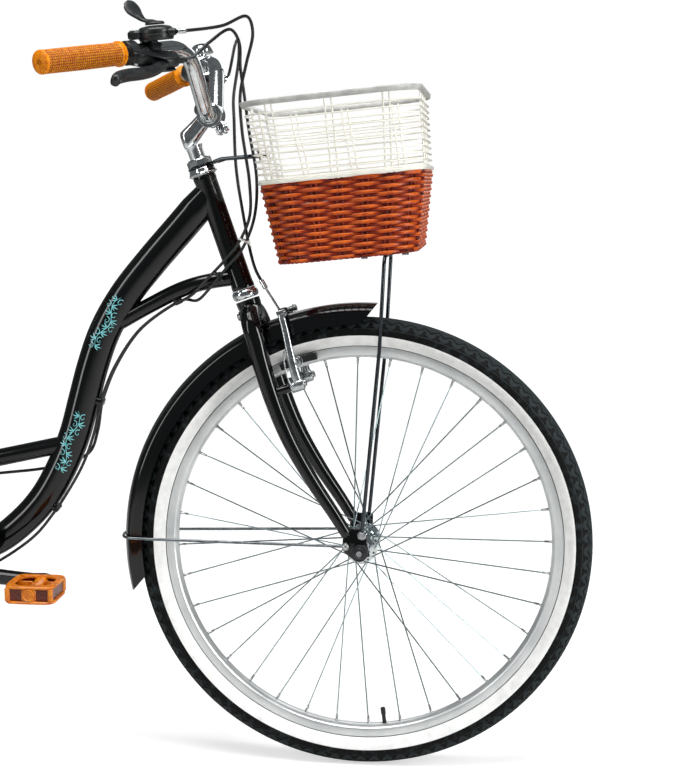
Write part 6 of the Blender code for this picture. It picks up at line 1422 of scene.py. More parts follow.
def stay(hub, angle, eye, face, clear, radius=0.0021):
    """A wire from one eye, over the fender, to the other, following the sheet's own section."""
    half = [on_wheel(hub, fender_radius + back, math.radians(angle), aside) for back,
            aside in ((clear, 0), (0.0014, 0.0125), (-0.003, 0.0238), (-0.011, 0.0298), (-0.029, 0.032))]
    end = eye + face * LEFT
    half += [half[-1] + (end - half[-1]) * share for share in (0.15, 0.5, 0.9)] + [end]
    half = np.array(half)
    path = np.vstack([mirrored(half)[:0:-1], half])
    return rod(smooth(path, 150), radius, 14)


def eyelets(eye, face):
    """Flattened loops on both sides with their screws."""
    loops, screws = [], []
    for side in (-1, 1):
        base = eye + side * face * LEFT
        loops.append(collar(base, base + side * 0.004 * LEFT, 5.2, 2.6, 24))
        screws.append(screw_head(base + side * 0.004 * LEFT, side * LEFT, 3.4, 3))
    return loops, screws


front_eye, rear_eye = front_hub + [-0.02, 0, 0.0075], rear_hub + [-0.015, 0, 0.013]
loops, screws = eyelets(front_eye, 0.0553)
piece("front_fender_wire", [stay(front_hub, 179.2, front_eye, 0.0575, 0.0025), *loops], zinc, "steering",
      ("front_fender_stay",))
piece("front_fender_screws", screws, bolt_steel, "steering")
loops, screws = eyelets(rear_eye, 0.0703)
piece("rear_fender_wire", [stay(rear_hub, 190.0, rear_eye, 0.0725, 0.002), *loops, *screws], zinc, "frame")
bridge_end = on_wheel(rear_hub, 0.3454, math.radians(4.3))
bridge_start = bridge_low + [-0.0088, 0, -0.004]
along = unit(bridge_end - bridge_start)
piece("rear_fender_bracket", [slab((15, 1000 * np.linalg.norm(bridge_end - bridge_start) + 6, 1.6),
                                   (bridge_end + bridge_start) / 2, LEFT, along, 0.4, 0.3)], bolt_steel,
      "frame")
print("fenders done,", len(made), "pieces")

# %% [markdown]
# ## What carries the basket
# A plate under the headset's locknut reaches forwards with two rods to clips on the rear wall.
# In front one dark hoop rises from the axle on both sides and crosses under the floor.

# %%
def wall_rear(height, y):
    """A place on the outside of the basket's rear wall, in its wire half."""
    half, _, shift = level(height)
    return basket_origin + (shift - half) * basket_ahead + y * LEFT + height * basket_up


base = on_steerer(580.3)
shapes = [turned([(13.1, 0), (18.2, 0), (18.6, 0.4), (18.6, 2), (18.2, 2.4), (13.1, 2.4)], base, steer_up,
                 48, closed=True), slab((15, 37, 2.4), base + steer_up * 0.0012 + steer_forward * 0.02,
                                        steer_forward, LEFT, 0.4, 0.5)]
clips = []
for side in (-1, 1):
    foot = wall_rear(0.15, side * 0.04)
    climb = unit(wall_rear(0.16, side * 0.04) - wall_rear(0.14, side * 0.04))
    normal = np.cross(climb, LEFT)
    normal = -normal if normal[0] < 0 else normal
    foot = foot - normal * 0.0012
    shapes.append(slab((16, 22, 1.6), foot, LEFT, climb, 0.4, 0.5))
    clips.append(screw_head(foot - normal * 0.0006 + climb * 0.006, -normal, 3, 2.4))
    start = base + steer_up * 0.0012 + side * 0.0155 * LEFT
    path = rounded([start + steer_forward * 0.0225, start + steer_forward * 0.034 + side * 0.004 * LEFT,
                    foot - normal * 0.0006], [0.01], 8)
    shapes.append(rod(evenly(path, 26), 0.0022, 14))
piece("basket_bracket_rods", shapes, nickel, "steering", ("basket_bracket",), sharp=40)
piece("basket_bracket_screws", clips, bolt_steel, "steering")

low = front_hub + [0.003, 0, 0.0245]
side_y = 0.06
cross_z = 730 + 142 * math.tan(lean) - 4.5 / math.cos(lean)
left_run = [low + side_y * LEFT - [0.0005, 0, 0.004], by_hub(26, 64, 613), by_hub(32, 66, cross_z)]
stay_run = rounded(left_run + [mirrored(p) for p in left_run[::-1]], [0.3, 0.014, 0.014, 0.3], 14)
shapes = [rod(evenly(stay_run, 260), 0.0027, 20)]
bolts = []
for side in (-1, 1):
    shapes.append(slab((12.5, 17, 4), low + side * (side_y - 0.0012) * LEFT + [0, 0, 0.001], AHEAD, UP, 0.8,
                       0.8))
    bolts += hex_nut(low + side * (side_y + 0.0008) * LEFT, side * LEFT, 10, 5)
piece("basket_stay_hoop", shapes, nickel, "steering", ("basket_stays",), sharp=40)
for x in (4, 60):
    under = by_hub(x, -60, 730 + (x + 110) * math.tan(lean) - 0.6)
    bolts += hex_nut(under - basket_up * 0.0001, -basket_up, 8, 4.6)
piece("basket_floor_nuts", bolts, bolt_steel, "steering", sharp=35)
print("basket mounts done,", len(made), "pieces")

# %% [markdown]
# ## Cranks, chain and sprocket
# A tooth is a bump on the pitch circle: r = pitch radius - 0.8 mm + 3 mm * cos(n a) less a
# little of cos(2 n a), which rounds the hollows for the rollers. The chain has single links: each
# has two waisted side plates, wide and narrow by turns, and a roller on its pin.

# %%
chain_pitch, chain_line = 0.0127, 0.047
chainring_teeth, sprocket_teeth = 40, 18
crank_length, pedal_face = 0.17, 0.105


def pitch_of(teeth):
    """Radius of the circle on which pins one pitch apart close after this many teeth."""
    return chain_pitch / (2 * math.sin(math.pi / teeth))


def toothed(teeth, inner, origin, half=0.0011):
    """A flat toothed ring with its inner edge round."""
    a = steps_round(teeth * 12)
    r = pitch_of(teeth) - 0.0008 + 0.003 * np.cos(teeth * a) - 0.0007 * np.cos(2 * teeth * a)
    flat = np.stack([np.cos(a), np.sin(a)], 1)
    rows = [(r - 0.0003, -half), (r, -half * 0.6), (r, half * 0.6), (r - 0.0003, half),
            (inner + 0 * r, half), (inner + 0 * r, -half)]
    rings = [origin + (size[:, None] * flat)[:, :1] * AHEAD + (size[:, None] * flat)[:, 1:] * UP + h * LEFT
             for size, h in rows]
    return skin(np.array(rings), closed=True)


def crank_arm(side):
    """A forged arm that kicks outwards from the axle to the pedal."""
    ahead = 1.0 if side < 0 else -1.0
    near = pedal_face - 0.027
    stations = np.array([(-0.016, near - 0.013, 0.009, 0.007), (-0.012, near - 0.013, 0.0146, 0.0108),
                         (0.01, near - 0.013, 0.0152, 0.011), (0.05, near - 0.006, 0.0125, 0.008),
                         (0.11, near + 0.01, 0.0105, 0.007), (0.152, 0.0975, 0.0098, 0.0068),
                         (0.172, 0.098, 0.01, 0.0064), (0.1785, 0.098, 0.0074, 0.005)])
    fine = smooth(stations, 90)
    line = bottom_bracket + fine[:, :1] * ahead * AHEAD + side * fine[:, 1:2] * LEFT
    arm = sweep(line, rounded_box(32, 3.4), LEFT, fine[:, 2:])
    boss = turned([(15, 40), (16.5, 41), (16.5, 76.5), (15.8, 77.2), (9.8, 77.2), (9.6, 76), (0.4, 75.8)],
                  bottom_bracket, side * LEFT, 44)
    root = bottom_bracket + [ahead * crank_length, side * pedal_face, 0]
    stub = [bar(root - side * 0.008 * LEFT, root + side * 0.06 * LEFT, 4.9, 20),
            turned([(5, -8), (8.5, -8), (8.8, -7.4), (8.8, 3), (8, 4.4), (5, 4.5)], root, side * LEFT, 28,
                   closed=True)]
    return arm, boss, stub


arm, boss_right, stub = crank_arm(-1)
ring_at = bottom_bracket - chain_line * LEFT
spider = [collar(ring_at - 0.003 * LEFT, ring_at + 0.003 * LEFT, 28, 10, 48)]
for k in range(5):
    a = 2 * math.pi * k / 5
    x, y = np.array([math.cos(a), 0, math.sin(a)]), np.array([-math.sin(a), 0, math.cos(a)])
    web = mm([(20, -11), (34, -6.2), (46, -5.2), (58, -7), (68, -17), (68, 17), (58, 7), (46, 5.2),
              (34, 6.2), (20, 11)])
    spider.append(plate(web, 2.4, ring_at, x, y, 0.4))
piece("crank_right_with_chainring", [arm, boss_right, toothed(chainring_teeth, 0.064, ring_at), *spider],
      enamel, "crank", ("crank_right",), sharp=40)
piece("pedal_axle_right", stub, bolt_steel, "crank", sharp=35)
arm, boss_left, stub = crank_arm(1)
axle_bar = bar(bottom_bracket - 0.06 * LEFT, bottom_bracket + 0.06 * LEFT, 8.8, 28)
piece("crank_left_with_axle", [arm, boss_left, axle_bar], enamel, "crank", ("crank_left",), sharp=40)
piece("pedal_axle_left", stub, bolt_steel, "crank", sharp=35)
sprocket_at = rear_hub - chain_line * LEFT
piece("driven_sprocket", [toothed(sprocket_teeth, 0.023, sprocket_at),
                          turned([(8.8, -1.1), (24, -1), (24, 1), (8.8, 1.1)], sprocket_at, LEFT, 48,
                                 closed=True)], steel_dark, "sprocket", ("sprocket",), sharp=30)

# %%
def chain_loop():
    """Pins at even steps round both pitch circles and along the two straight runs."""
    front, back = ring_at, sprocket_at
    run = back - front
    turn = math.atan2(run[2], run[0])
    big, small = pitch_of(chainring_teeth), pitch_of(sprocket_teeth)
    tilt = math.acos((big - small) / np.linalg.norm(run))
    line = []
    for centre, radius, first, last in ((front, big, tilt, 2 * math.pi - tilt), (back, small, -tilt, tilt)):
        a = turn + np.linspace(first, last, 90)
        line.append(centre + radius * np.stack([np.cos(a), 0 * a, np.sin(a)], 1))
    line = np.vstack(line + [line[0][:1]])
    length = np.linalg.norm(np.diff(line, axis=0), axis=1).sum()
    count = 2 * round(length / chain_pitch / 2)
    return evenly(line, count + 1)[:-1]


def chain_links():
    """Side plates and rollers, link after link, as arrays."""
    pins = chain_loop()
    middle = (pins + np.roll(pins, -1, 0)) / 2
    along = unit(np.roll(pins, -1, 0) - pins)
    up = np.cross(along, LEFT)
    a = steps_round(16)
    x = 0.00635 * np.sign(np.cos(a)) + 0.004 * np.cos(a)
    y = 0.004 * np.sin(a) * (1.0 - 0.28 * np.exp(-(x / 0.004) ** 2))
    shapes, rollers = [], []
    wide = (np.arange(len(pins)) % 2) * 0.001
    for side in (-1, 1):
        rings = []
        for off in (-0.00045, 0.00045):
            aside = side * (0.0024 + wide + off * side)
            rings.append(middle[:, None] + x[None, :, None] * along[:, None] + y[None, :, None]
                         * up[:, None] + aside[:, None, None] * LEFT)
        for lower, upper in zip(*rings):
            shapes.append(skin(np.array([lower, upper])))
    for pin, way in zip(pins, up):
        rollers += [turned([(1.8, -3.8), (1.8, 3.8)], pin, LEFT, 8, aside=way),
                    turned([(3.7, -2), (3.7, 2)], pin, LEFT, 12, aside=way)]
    return shapes, rollers


plates, rollers = chain_links()
piece("chain_side_plates", plates, steel_dark, "frame", ("chain",), sharp=30)
piece("chain_rollers", rollers, bolt_steel, "frame", sharp=40)
print("chain of", len(plates) // 2, "links")

# %% [markdown]
# A pedal is a moulded cage: two studded plates with an opening, kept apart by posts and blocks,
# a barrel round the spindle, and amber panels in the four sides, made dark as painted shade
# in the cage's windows.

# %%
def pedal_plate(middle, level):
    """A plate with an opening; both outlines are |x / a| ** n + |y / b| ** n = 1."""
    t = steps_round(96)
    rings = []
    for a, b, n, z in ((0.034, 0.0352, 6, -0.0018), (0.0348, 0.036, 6, -0.001), (0.0348, 0.036, 6, 0.001),
                       (0.034, 0.0352, 6, 0.0018), (0.0268, 0.0272, 3, 0.0018), (0.0262, 0.0266, 3, 0.001),
                       (0.0262, 0.0266, 3, -0.001), (0.0268, 0.0272, 3, -0.0018)):
        reach = (np.abs(np.cos(t)) ** n + np.abs(np.sin(t)) ** n) ** (-1 / n)
        rings.append(middle + np.stack([a * np.cos(t) * reach, b * np.sin(t) * reach, 0 * t + level + z],
                                       1))
    return skin(np.array(rings), closed=True)


def pedal(word, side):
    """Two studded plates on posts, a barrel round the axle, and amber panels between the posts, dark as
    painted shade.
    """
    ahead = 1.0 if side < 0 else -1.0
    root = bottom_bracket + [ahead * crank_length, side * pedal_face, 0]
    middle = root + side * (0.0048 + 0.036) * LEFT
    shapes, panels = [], []
    stud = [(1.7, 0), (1.6, 0.7), (1, 1), (0.2, 1.1)]
    for face in (-1, 1):
        shapes.append(pedal_plate(middle, face * 0.0104))
        for x, y in ((0.0305, -0.022), (0.0305, 0.0), (0.0305, 0.022), (0.02, 0.0315), (0.0, 0.0315),
                     (-0.02, 0.0315)):
            for flip in (-1, 1):
                spot = middle + flip * x * AHEAD + flip * y * LEFT + face * 0.0121 * UP
                shapes.append(turned(stud, spot, face * UP, 10))
    for x in (-1, 1):
        for y in (-1, 1):
            post = middle + x * 0.03 * AHEAD + y * 0.0312 * LEFT
            shapes.append(slab((7, 7, 18), post, AHEAD, LEFT, 0.4, 0.6))
        panels.append(slab((56, 17.6, 2.6), middle + x * 0.03 * AHEAD, LEFT, UP, 0.4, 0.2))
    for y in (-1, 1):
        panels.append(slab((56, 17.6, 2.6), middle + y * 0.0298 * LEFT, AHEAD, UP, 0.4, 0.2))
        shapes += [slab((20, 18, 4.6), middle + y * 0.0318 * LEFT, AHEAD, UP, 0.6, 0.3),
                   turned([(8.6, 0), (8.6, 2), (7.8, 2.6), (6.8, 2.6), (6.2, 1.8), (0.4, 1.8)],
                          middle + y * 0.0336 * LEFT, y * LEFT, 40)]
    for y in (-0.5, 0.5):
        for x in (-1, 1):
            shapes.append(slab((24, 16, 3), middle + x * 0.0185 * AHEAD + y * 0.024 * LEFT, AHEAD, UP, 0.6,
                               0.3))
    shapes.append(turned([(6.2, -29), (10.8, -29), (11.5, -28), (9.8, -20), (9.2, 0), (9.8, 20), (11.5, 28),
                          (10.8, 29), (6.2, 29)], middle, LEFT, 36, closed=True))
    name = "pedal_" + word
    piece("pedal_cage_" + word, shapes, pedal_resin, name, (name,), sharp=35)
    piece("pedal_panels_" + word, panels, amber_window_shade, name, sharp=30)


pedal("right", -1)
pedal("left", 1)
print("drive done,", len(made), "pieces")

# %% [markdown]
# ## Saddle
# The photo cuts the saddle off, so it is the usual sprung city saddle in the basket's brown:
# a padded top on a black pan, two rails and two coil springs. The padding is worked out as a
# height over the pan: stations along it, crowned across, with a shallow channel and a dip
# along the welt. Small creases run in from the welt where the cover is pulled over the foam.

# %%
saddle = on_seat_tube(640)
cushion_rows = mm([(150, 11, -13, -29), (145, 19, -4, -36), (120, 24, 1, -40), (70, 30, 0, -43),
                   (20, 47, -2, -46), (-30, 80, 1, -50), (-70, 100.5, 8, -53), (-95, 100, 10, -53),
                   (-108, 86, 4, -48), (-112, 60, -8, -40)])


def cushion_surface(rows=150, across=61):
    """Rings across the saddle from nose to tail: outline(a, b) scaled by each station's width
    and height, less a channel 3 mm deep and a welt 1.4 mm deep where the two panels meet."""
    table = smooth(cushion_rows, rows)
    half = smooth([(0.0, 0.955, 0), (0.3, 0.985, 0), (0.55, 0.975, 0), (0.8, 0.87, 0), (0.955, 0.66, 0),
                   (1.0, 0.44, 0), (0.975, 0.2, 0), (0.86, 0.02, 0), (0.7, 0.0, 0)], across)[:, :2]
    outline = np.vstack([half, [[0.0, 0.0]], (half * [-1.0, 1.0])[::-1][:-1]])
    a, b = outline[None, :, 0], outline[None, :, 1]
    x, wide, high, low = (table[:, k:k + 1] for k in range(4))
    tall = high - low
    top = np.clip((b - 0.3) / 0.3, 0, 1)
    body = np.clip((0.1 - np.abs(x + 0.03)) / 0.06, 0, 1)
    channel = 0.0028 * np.exp(-(a * wide / 0.007) ** 2) * top * body
    welt = 0.0014 * np.exp(-((b - 0.5) / 0.03) ** 2)
    crease = 0.0007 * np.sin(x * 520 + 2.0 * np.sin(x * 90)) * np.exp(-((b - 0.6) / 0.09) ** 2)
    squeeze = 1.0 - (welt + np.abs(crease)) / np.maximum(wide, 0.01)
    y = a * wide * squeeze
    z = low + b * tall - channel - 0.3 * welt - crease * top
    return saddle + np.stack([np.broadcast_to(x, y.shape), y, z], -1), table


rings, table = cushion_surface()
cushion = piece("saddle_padded_top", [skin(rings)], leather, "seat", ("saddle_cushion",), sharp=75)
seam = []
for side in (-1, 1):
    x, wide, high, low = table[3:-2].T
    seam.append(saddle + np.stack([x, side * (wide * 0.995 - 0.0012), low + 0.5 * (high - low)], 1))
loop = np.vstack([seam[0], seam[1][::-1]])
piece("saddle_welt", [rod(loop, 0.0012, 8, UP, closed=True)], leather, "seat")
pan = []
for x, wide, high, low in smooth(cushion_rows[1:-1], 40):
    flat = rounded_box(36, 5.0) * [wide * 0.8, 0.0019]
    pan.append(saddle + np.stack([np.full(36, x), flat[:, 0], low - 0.0024 + flat[:, 1]], 1))
piece("saddle_pan_moulded", [skin(np.array(pan))], nylon, "seat", ("saddle_pan",), sharp=40)

# %%
clamp_at = on_seat_tube(560)
local = (clamp_at - saddle)[2]
rails = []
for side in (-1, 1):
    line = [saddle + p for p in ([0.122, side * 0.008, -0.05], [0.062, side * 0.0215, local],
                                 [-0.014, side * 0.0215, local], [-0.058, side * 0.044, -0.1095],
                                 [-0.086, side * 0.052, -0.1095])]
    rails += [rod(rounded(line, [0.04, 0.03, 0.02], 12), 0.0034, 16),
              turned([(0.4, 0), (15.8, 0), (16.5, 0.6), (16.5, 2.2), (15, 2.9), (0.4, 3)],
                     saddle + [-0.082, side * 0.052, -0.1075], UP, 32)]
rails.append(slab((12, 26, 8), saddle + [0.121, 0, -0.049], AHEAD, LEFT, 1.2, 0.4))
piece("saddle_wire_rails", rails, nickel, "seat", ("saddle_rails",))
post = turned([(0.4, 250), (11.8, 250.2), (12.5, 251), (12.5, 520), (11, 526), (11, 560), (0.4, 561)],
              bottom_bracket, seat_up, 40)
yoke = turned([(3.4, -31), (12, -31), (15, -29), (15, -15), (13.5, -13.5), (13.5, 13.5), (15, 15), (15, 29),
               (12, 31), (3.4, 31)], clamp_at, LEFT, 40, closed=True)
yoke_bolt = [bar(clamp_at - 0.036 * LEFT, clamp_at + 0.036 * LEFT, 4, 20, 0.6)]
for side in (-1, 1):
    yoke_bolt += hex_nut(clamp_at + side * 0.0312 * LEFT, side * LEFT, 13, 6)
piece("seat_post_and_yoke", [post, yoke], chrome, "seat", ("seat_post",), sharp=35)
piece("seat_yoke_bolt", yoke_bolt, bolt_steel, "seat", sharp=35)


def coil(side):
    """A spring: z rises 5.2 mm in the first and last turn and evenly in the others."""
    low, high = saddle[2] - 0.1042, saddle[2] - 0.0576
    turns = np.linspace(0, 4, 180)
    rise = high - low - 0.0048
    inner = (rise - 0.0104) / 2.0
    z = 0.0052 * np.minimum(turns, 1) + inner * np.clip(turns - 1, 0, 2) + 0.0052 * np.clip(turns - 3, 0, 1)
    a = 2 * np.pi * turns
    centre = saddle + [-0.082, side * 0.052, 0]
    path = np.stack([centre[0] + 0.013 * np.cos(a), centre[1] + 0.013 * np.sin(a), low + 0.0024 + z], 1)
    return rod(path, 0.0021, 12, UP)


for word, side in (("right", -1.0), ("left", 1.0)):
    piece("saddle_coil_" + word, [coil(side)], chrome, "seat", ("saddle_spring_" + word,))
base = on_seat_tube(414)
clamp_ring = collar(base, base + seat_up * 0.015, 18.6, 14.6, 44, 0.8)
ears = [slab((12, 6.2, 11.5), base + seat_up * 0.0075 - seat_forward * 0.0225 + side * 0.0046 * LEFT,
             seat_forward, LEFT, 1, 0.4) for side in (-1, 1)]
bolt_at = base + seat_up * 0.0075 - seat_forward * 0.0235
bolt = [bar(bolt_at - 0.013 * LEFT, bolt_at + 0.013 * LEFT, 3, 18),
        screw_head(bolt_at - 0.008 * LEFT, -LEFT)]
bolt += hex_nut(bolt_at + 0.008 * LEFT, LEFT, 9, 4.5)
piece("seat_clamp_ring", [clamp_ring, *ears], chrome, "frame", ("seat_clamp",), sharp=40)
piece("seat_clamp_bolt", bolt, bolt_steel, "frame", sharp=35)
print("saddle done,", len(made), "pieces")

# %% [markdown]
# ## Stand
# A hoop of painted tube hangs from the rear axle, with welded eyes and two flat rubber feet.

# %%
reach = wheel_radius + 0.0365
foot = np.array([rear_hub[0] + math.sqrt(reach ** 2 - wheel_radius ** 2), 0.0, 0.0078])
down_way = unit(foot - rear_hub)
eye_in = 0.0703
left_leg = [rear_hub + down_way * 0.004 + (eye_in + 0.0087) * LEFT,
            rear_hub + down_way * 0.09 + 0.086 * LEFT, foot + 0.13 * LEFT]
legs = rounded(left_leg + [mirrored(p) for p in left_leg[::-1]], [0.08, 0.03, 0.03, 0.08], 12)
shapes = [rod(evenly(legs, 160), 0.0075, 22, AHEAD)]
feet = []
for side in (-1, 1):
    inner = rear_hub + side * eye_in * LEFT
    shapes.append(collar(inner, inner + side * 0.005 * LEFT, 11.5, 5.2, 36))
    feet.append(slab((30, 40, 13.8), np.array([foot[0], side * 0.085, 0.007]), AHEAD, LEFT, 1.2, 0.3))
piece("rear_stand_hoop", shapes, enamel, "stand", ("stand",), sharp=45)
piece("stand_feet", feet, pad_rubber, "stand", sharp=35)

# %% [markdown]
# ## Cables
# Three housings keep the routes that the CAD source settles: from each lever's barrel over the
# bar, down through the braze-ons and along the tubes. A housing is vinyl over a steel coil.
# Chromed ferrules end it and nylon ties hold two of them together.

# %%
def lever_exit(side, out):
    """A place on the line along which a cable leaves a lever's barrel."""
    centre, outward, reach, upright = lever_frame(side)
    return centre - outward * out + reach * (0.029 + (out - 0.04) * 0.0325)


def shifter_exit(out):
    """The same, for the shifter's barrel."""
    here, outward, over, ahead = bar_frame(-1, 0.052)
    return here + over * 0.0215 + ahead * (0.035 + out) - outward * 0.004


def guide_ends(line, k, off, left):
    """Where a housing enters and leaves a braze-on, 16 mm apart."""
    along = unit(line[k + 1] - line[k - 1])
    out = np.cross(along, LEFT)
    middle = line[k] + out * (off + 0.0006) + left * LEFT
    return [middle - along * 0.008, middle + along * 0.008]


brace_7 = smooth(brace_places, 7)


def under_tube(share, off, left):
    """A place below the main tube, a share of the way along it."""
    k = round(share * (len(tube) - 1))
    return tube[k] + np.cross(unit(tube[k + 1] - tube[k - 1]), LEFT) * off + left * LEFT


below = 0.0275
shift_route = [shifter_exit(0.0143), shifter_exit(0.026), by_hub(-180, -118, 1044), by_hub(-154, -72, 1060),
               by_hub(-150, -53, 1040), by_hub(-160, -47, 1000), by_hub(-169, -44, 959),
               by_hub(-167, -43, 911), by_hub(-162, -41.5, 875), by_hub(-158, -36, 840),
               by_hub(-160, -24.2, 792), by_hub(-178, -20, 753), by_hub(-198, -19.8, 729),
               by_hub(-226, -17.5, 700), by_hub(-243, -12.5, 683), *guide_ends(brace_7, 3, 0.0142, -0.0031),
               by_hub(-323, -3.1, 630), by_hub(-360, -4.5, 576), *guide_ends(tube, 30, 0.0255, -0.0052),
               under_tube(0.58, below, -0.0052), under_tube(0.65, below, -0.0052),
               *guide_ends(tube, 44, 0.0245, -0.0052), under_tube(0.82, below, -0.0052),
               under_tube(0.9, below, -0.006), bottom_bracket + [0.012, -0.008, -0.0262],
               bottom_bracket + [-0.02, -0.009, -0.025], bottom_bracket + [-0.06, -0.016, -0.02],
               bottom_bracket + [-0.13, -0.04, 0.0008], bottom_bracket + [-0.26, -0.052, 0.014],
               rear_hub + [0.08, -0.072, -0.015], rear_hub + [0.036, -0.09, -0.002]]


def on_brake(height, ahead, aside):
    """A place by the rear brake, counted up from its studs."""
    return rear_hub + stay_way * (stud_height + height) + brake_out_rear * ahead + aside * LEFT


rear_route = [lever_exit(-1, 0.067), lever_exit(-1, 0.08), by_hub(-200, -112, 1022),
              by_hub(-178, -64, 1044), by_hub(-170, -44, 1028), by_hub(-170, -36, 996),
              by_hub(-166, -31, 962), by_hub(-160, -26, 911), by_hub(-150, -23, 845),
              by_hub(-154, -21.2, 790), by_hub(-172, -19.6, 746), by_hub(-192, -19.2, 722.5),
              by_hub(-219, -16.5, 690.5), by_hub(-238, -8, 673.5), *guide_ends(brace_7, 3, 0.0142, 0.0031),
              by_hub(-323, 3.1, 630), by_hub(-360, 4.5, 576), *guide_ends(tube, 30, 0.0255, 0.0052),
              by_hub(-390.5, 12, 480), by_hub(-406, 21.5, 446), by_hub(-440, 22.2, 429),
              by_hub(-474, 12, 422), by_hub(-537, 5, 415), on_seat_tube(112.6, 50.6, 11),
              on_seat_tube(150, 0, 18.2), on_seat_tube(210, 0, 18.2), on_seat_tube(290, -4, 18.6),
              on_seat_tube(345, -20, 14), on_seat_tube(390, -45, 8), on_brake(0.18, 0.03, 0.012),
              on_brake(0.162, 0.06, 0.03), on_brake(0.135, 0.055, 0.041), on_brake(0.112, 0.045, 0.0405)]
front_route = [lever_exit(1, 0.067), lever_exit(1, 0.08), by_hub(-196, 75, 1036), by_hub(-186, 46, 1040),
               by_hub(-184, 34, 1012), by_hub(-190, 24, 958), by_hub(-188, 16, 927), by_hub(-184, 6, 864),
               by_hub(-176, -2, 815), by_hub(-155, -12, 722), by_hub(-142, -18, 699),
               by_hub(-123, -34, 674), on_steerer(357.8, 45, -40.5)]


def ferrule(path, k, radius=3.2, length=10):
    """A chromed end cap with a rolled lip at a path's point k; sizes in millimetres."""
    along = unit(path[min(k + 2, len(path) - 1)] - path[max(k - 2, 0)])
    return turned([(2.4, -length / 2), (radius, -length / 2), (radius, length / 2 - 1.6),
                   (radius + 0.4, length / 2 - 1.2), (radius + 0.4, length / 2), (2.4, length / 2)],
                  path[k], along, 20, closed=True)


housings = {"shift": smooth(shift_route, 420), "rear_brake": smooth(rear_route, 420),
            "front_brake": smooth(front_route, 160)}
for word in ("shift", "rear_brake"):
    path = housings[word]
    housing = piece("housing_" + word, [rod(path, 0.0022, 12)], vinyl, "frame", (word + "_cable",))
    housing.parent = None
    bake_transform(housing)
piece("ferrules_at_controls", [ferrule(housings["shift"], 3), ferrule(housings["rear_brake"], 3),
                               ferrule(housings["front_brake"], 2)], chrome, "steering")
piece("ferrules_at_rear", [ferrule(housings["rear_brake"], -5), ferrule(housings["shift"], -5)], chrome,
      "frame")

# %% [markdown]
# The front housing ends in a ferrule behind the fork; from there a bent steel tube, the
# noodle, leads the wire to the arm. Its braid shows as fine rings of 0.2 mm.

# %%
front_path = housings["front_brake"]
split = int(np.argmin(np.linalg.norm(front_path - by_hub(-142, -18, 699), axis=1)))
piece("housing_front_brake", [rod(front_path[:split + 1], 0.0022, 12)], vinyl, "steering",
      ("front_brake_cable",))
noodle_path = evenly(front_path[split:], 90)
noodle = rod(noodle_path, 0.0016 + 0.00022 * (np.arange(90) % 2), 14)
piece("front_brake_noodle", [noodle, ferrule(noodle_path, 3, 3.6, 13)], chrome, "steering")


def nylon_tie(path_point, along, radius, tail):
    """A strap round a bundle of a radius in millimetres, its head and a short cut tail."""
    ring = collar(path_point - along * 0.0012, path_point + along * 0.0012, radius + 0.9, radius, 28, 0.2)
    end = path_point + np.cross(along, LEFT) * (radius + 2) / 1000
    head = slab((4.6, 3.6, 4.2), end, along, LEFT, 0.5, 0.3)
    return [ring, head, bar(end, end + tail, 0.9, 8)]


ties = []
for share in (0.29, 0.33):
    k = int(share * len(housings["shift"]))
    spot = (housings["shift"][k] + housings["rear_brake"][k]) / 2
    ties += nylon_tie(spot, unit(housings["shift"][k + 2] - housings["shift"][k - 2]), 6.2,
                      [0.004, -0.003, -0.006])
piece("cable_ties_white", ties[:3], tie_white, "frame")
piece("cable_ties_black", ties[3:], vinyl, "frame")
print("cables done,", len(made), "pieces")

# %% [markdown]
# ## Ornament
# Where the photo shows leafy scrolls on the tube there is a plain vine of this file's own: a
# wavy stem 1.1 mm wide with spirals and pointed leaves, laid 0.15 mm proud on the tube's curved
# side. The lettering between them is left out.

# %%
def on_tube_side(s, v):
    """A place on the main tube's right side: share s of the length, v metres above its middle."""
    s, v = np.broadcast_arrays(np.asarray(s, float), np.asarray(v, float))
    steps = np.arange(tube_steps)
    at = s * steps[-1]
    centre = np.stack([np.interp(at, steps, main_line[:, k]) for k in range(3)], -1)
    tangent = unit(np.stack([np.interp(at, steps, np.gradient(main_line[:, k])) for k in range(3)], -1))
    up = np.cross(LEFT, tangent)
    tall, wide = (np.interp(at, steps, sizes) for sizes in main_tube_sizes(tube_steps).T)
    depth = wide * np.sqrt(np.clip(1 - (v / tall) ** 2, 0, 1)) + 0.00015
    return centre + v[..., None] * up - depth[..., None] * LEFT


def ribbon(s, v, width):
    """A flat strip along a line (s, v) on the tube, of the given widths."""
    ds, dv = np.gradient(s) * tube_length, np.gradient(v)
    size = np.maximum(np.hypot(ds, dv), 1e-9)
    ns, nv = -dv / size / tube_length, ds / size
    edges = [on_tube_side(s + k * width * ns, v + k * width * nv) for k in (-0.5, 0.5)]
    n = len(s)
    points = np.vstack(edges)
    i = np.arange(n - 1)
    return points, np.stack([i, i + 1, n + i + 1, n + i], 1).tolist()


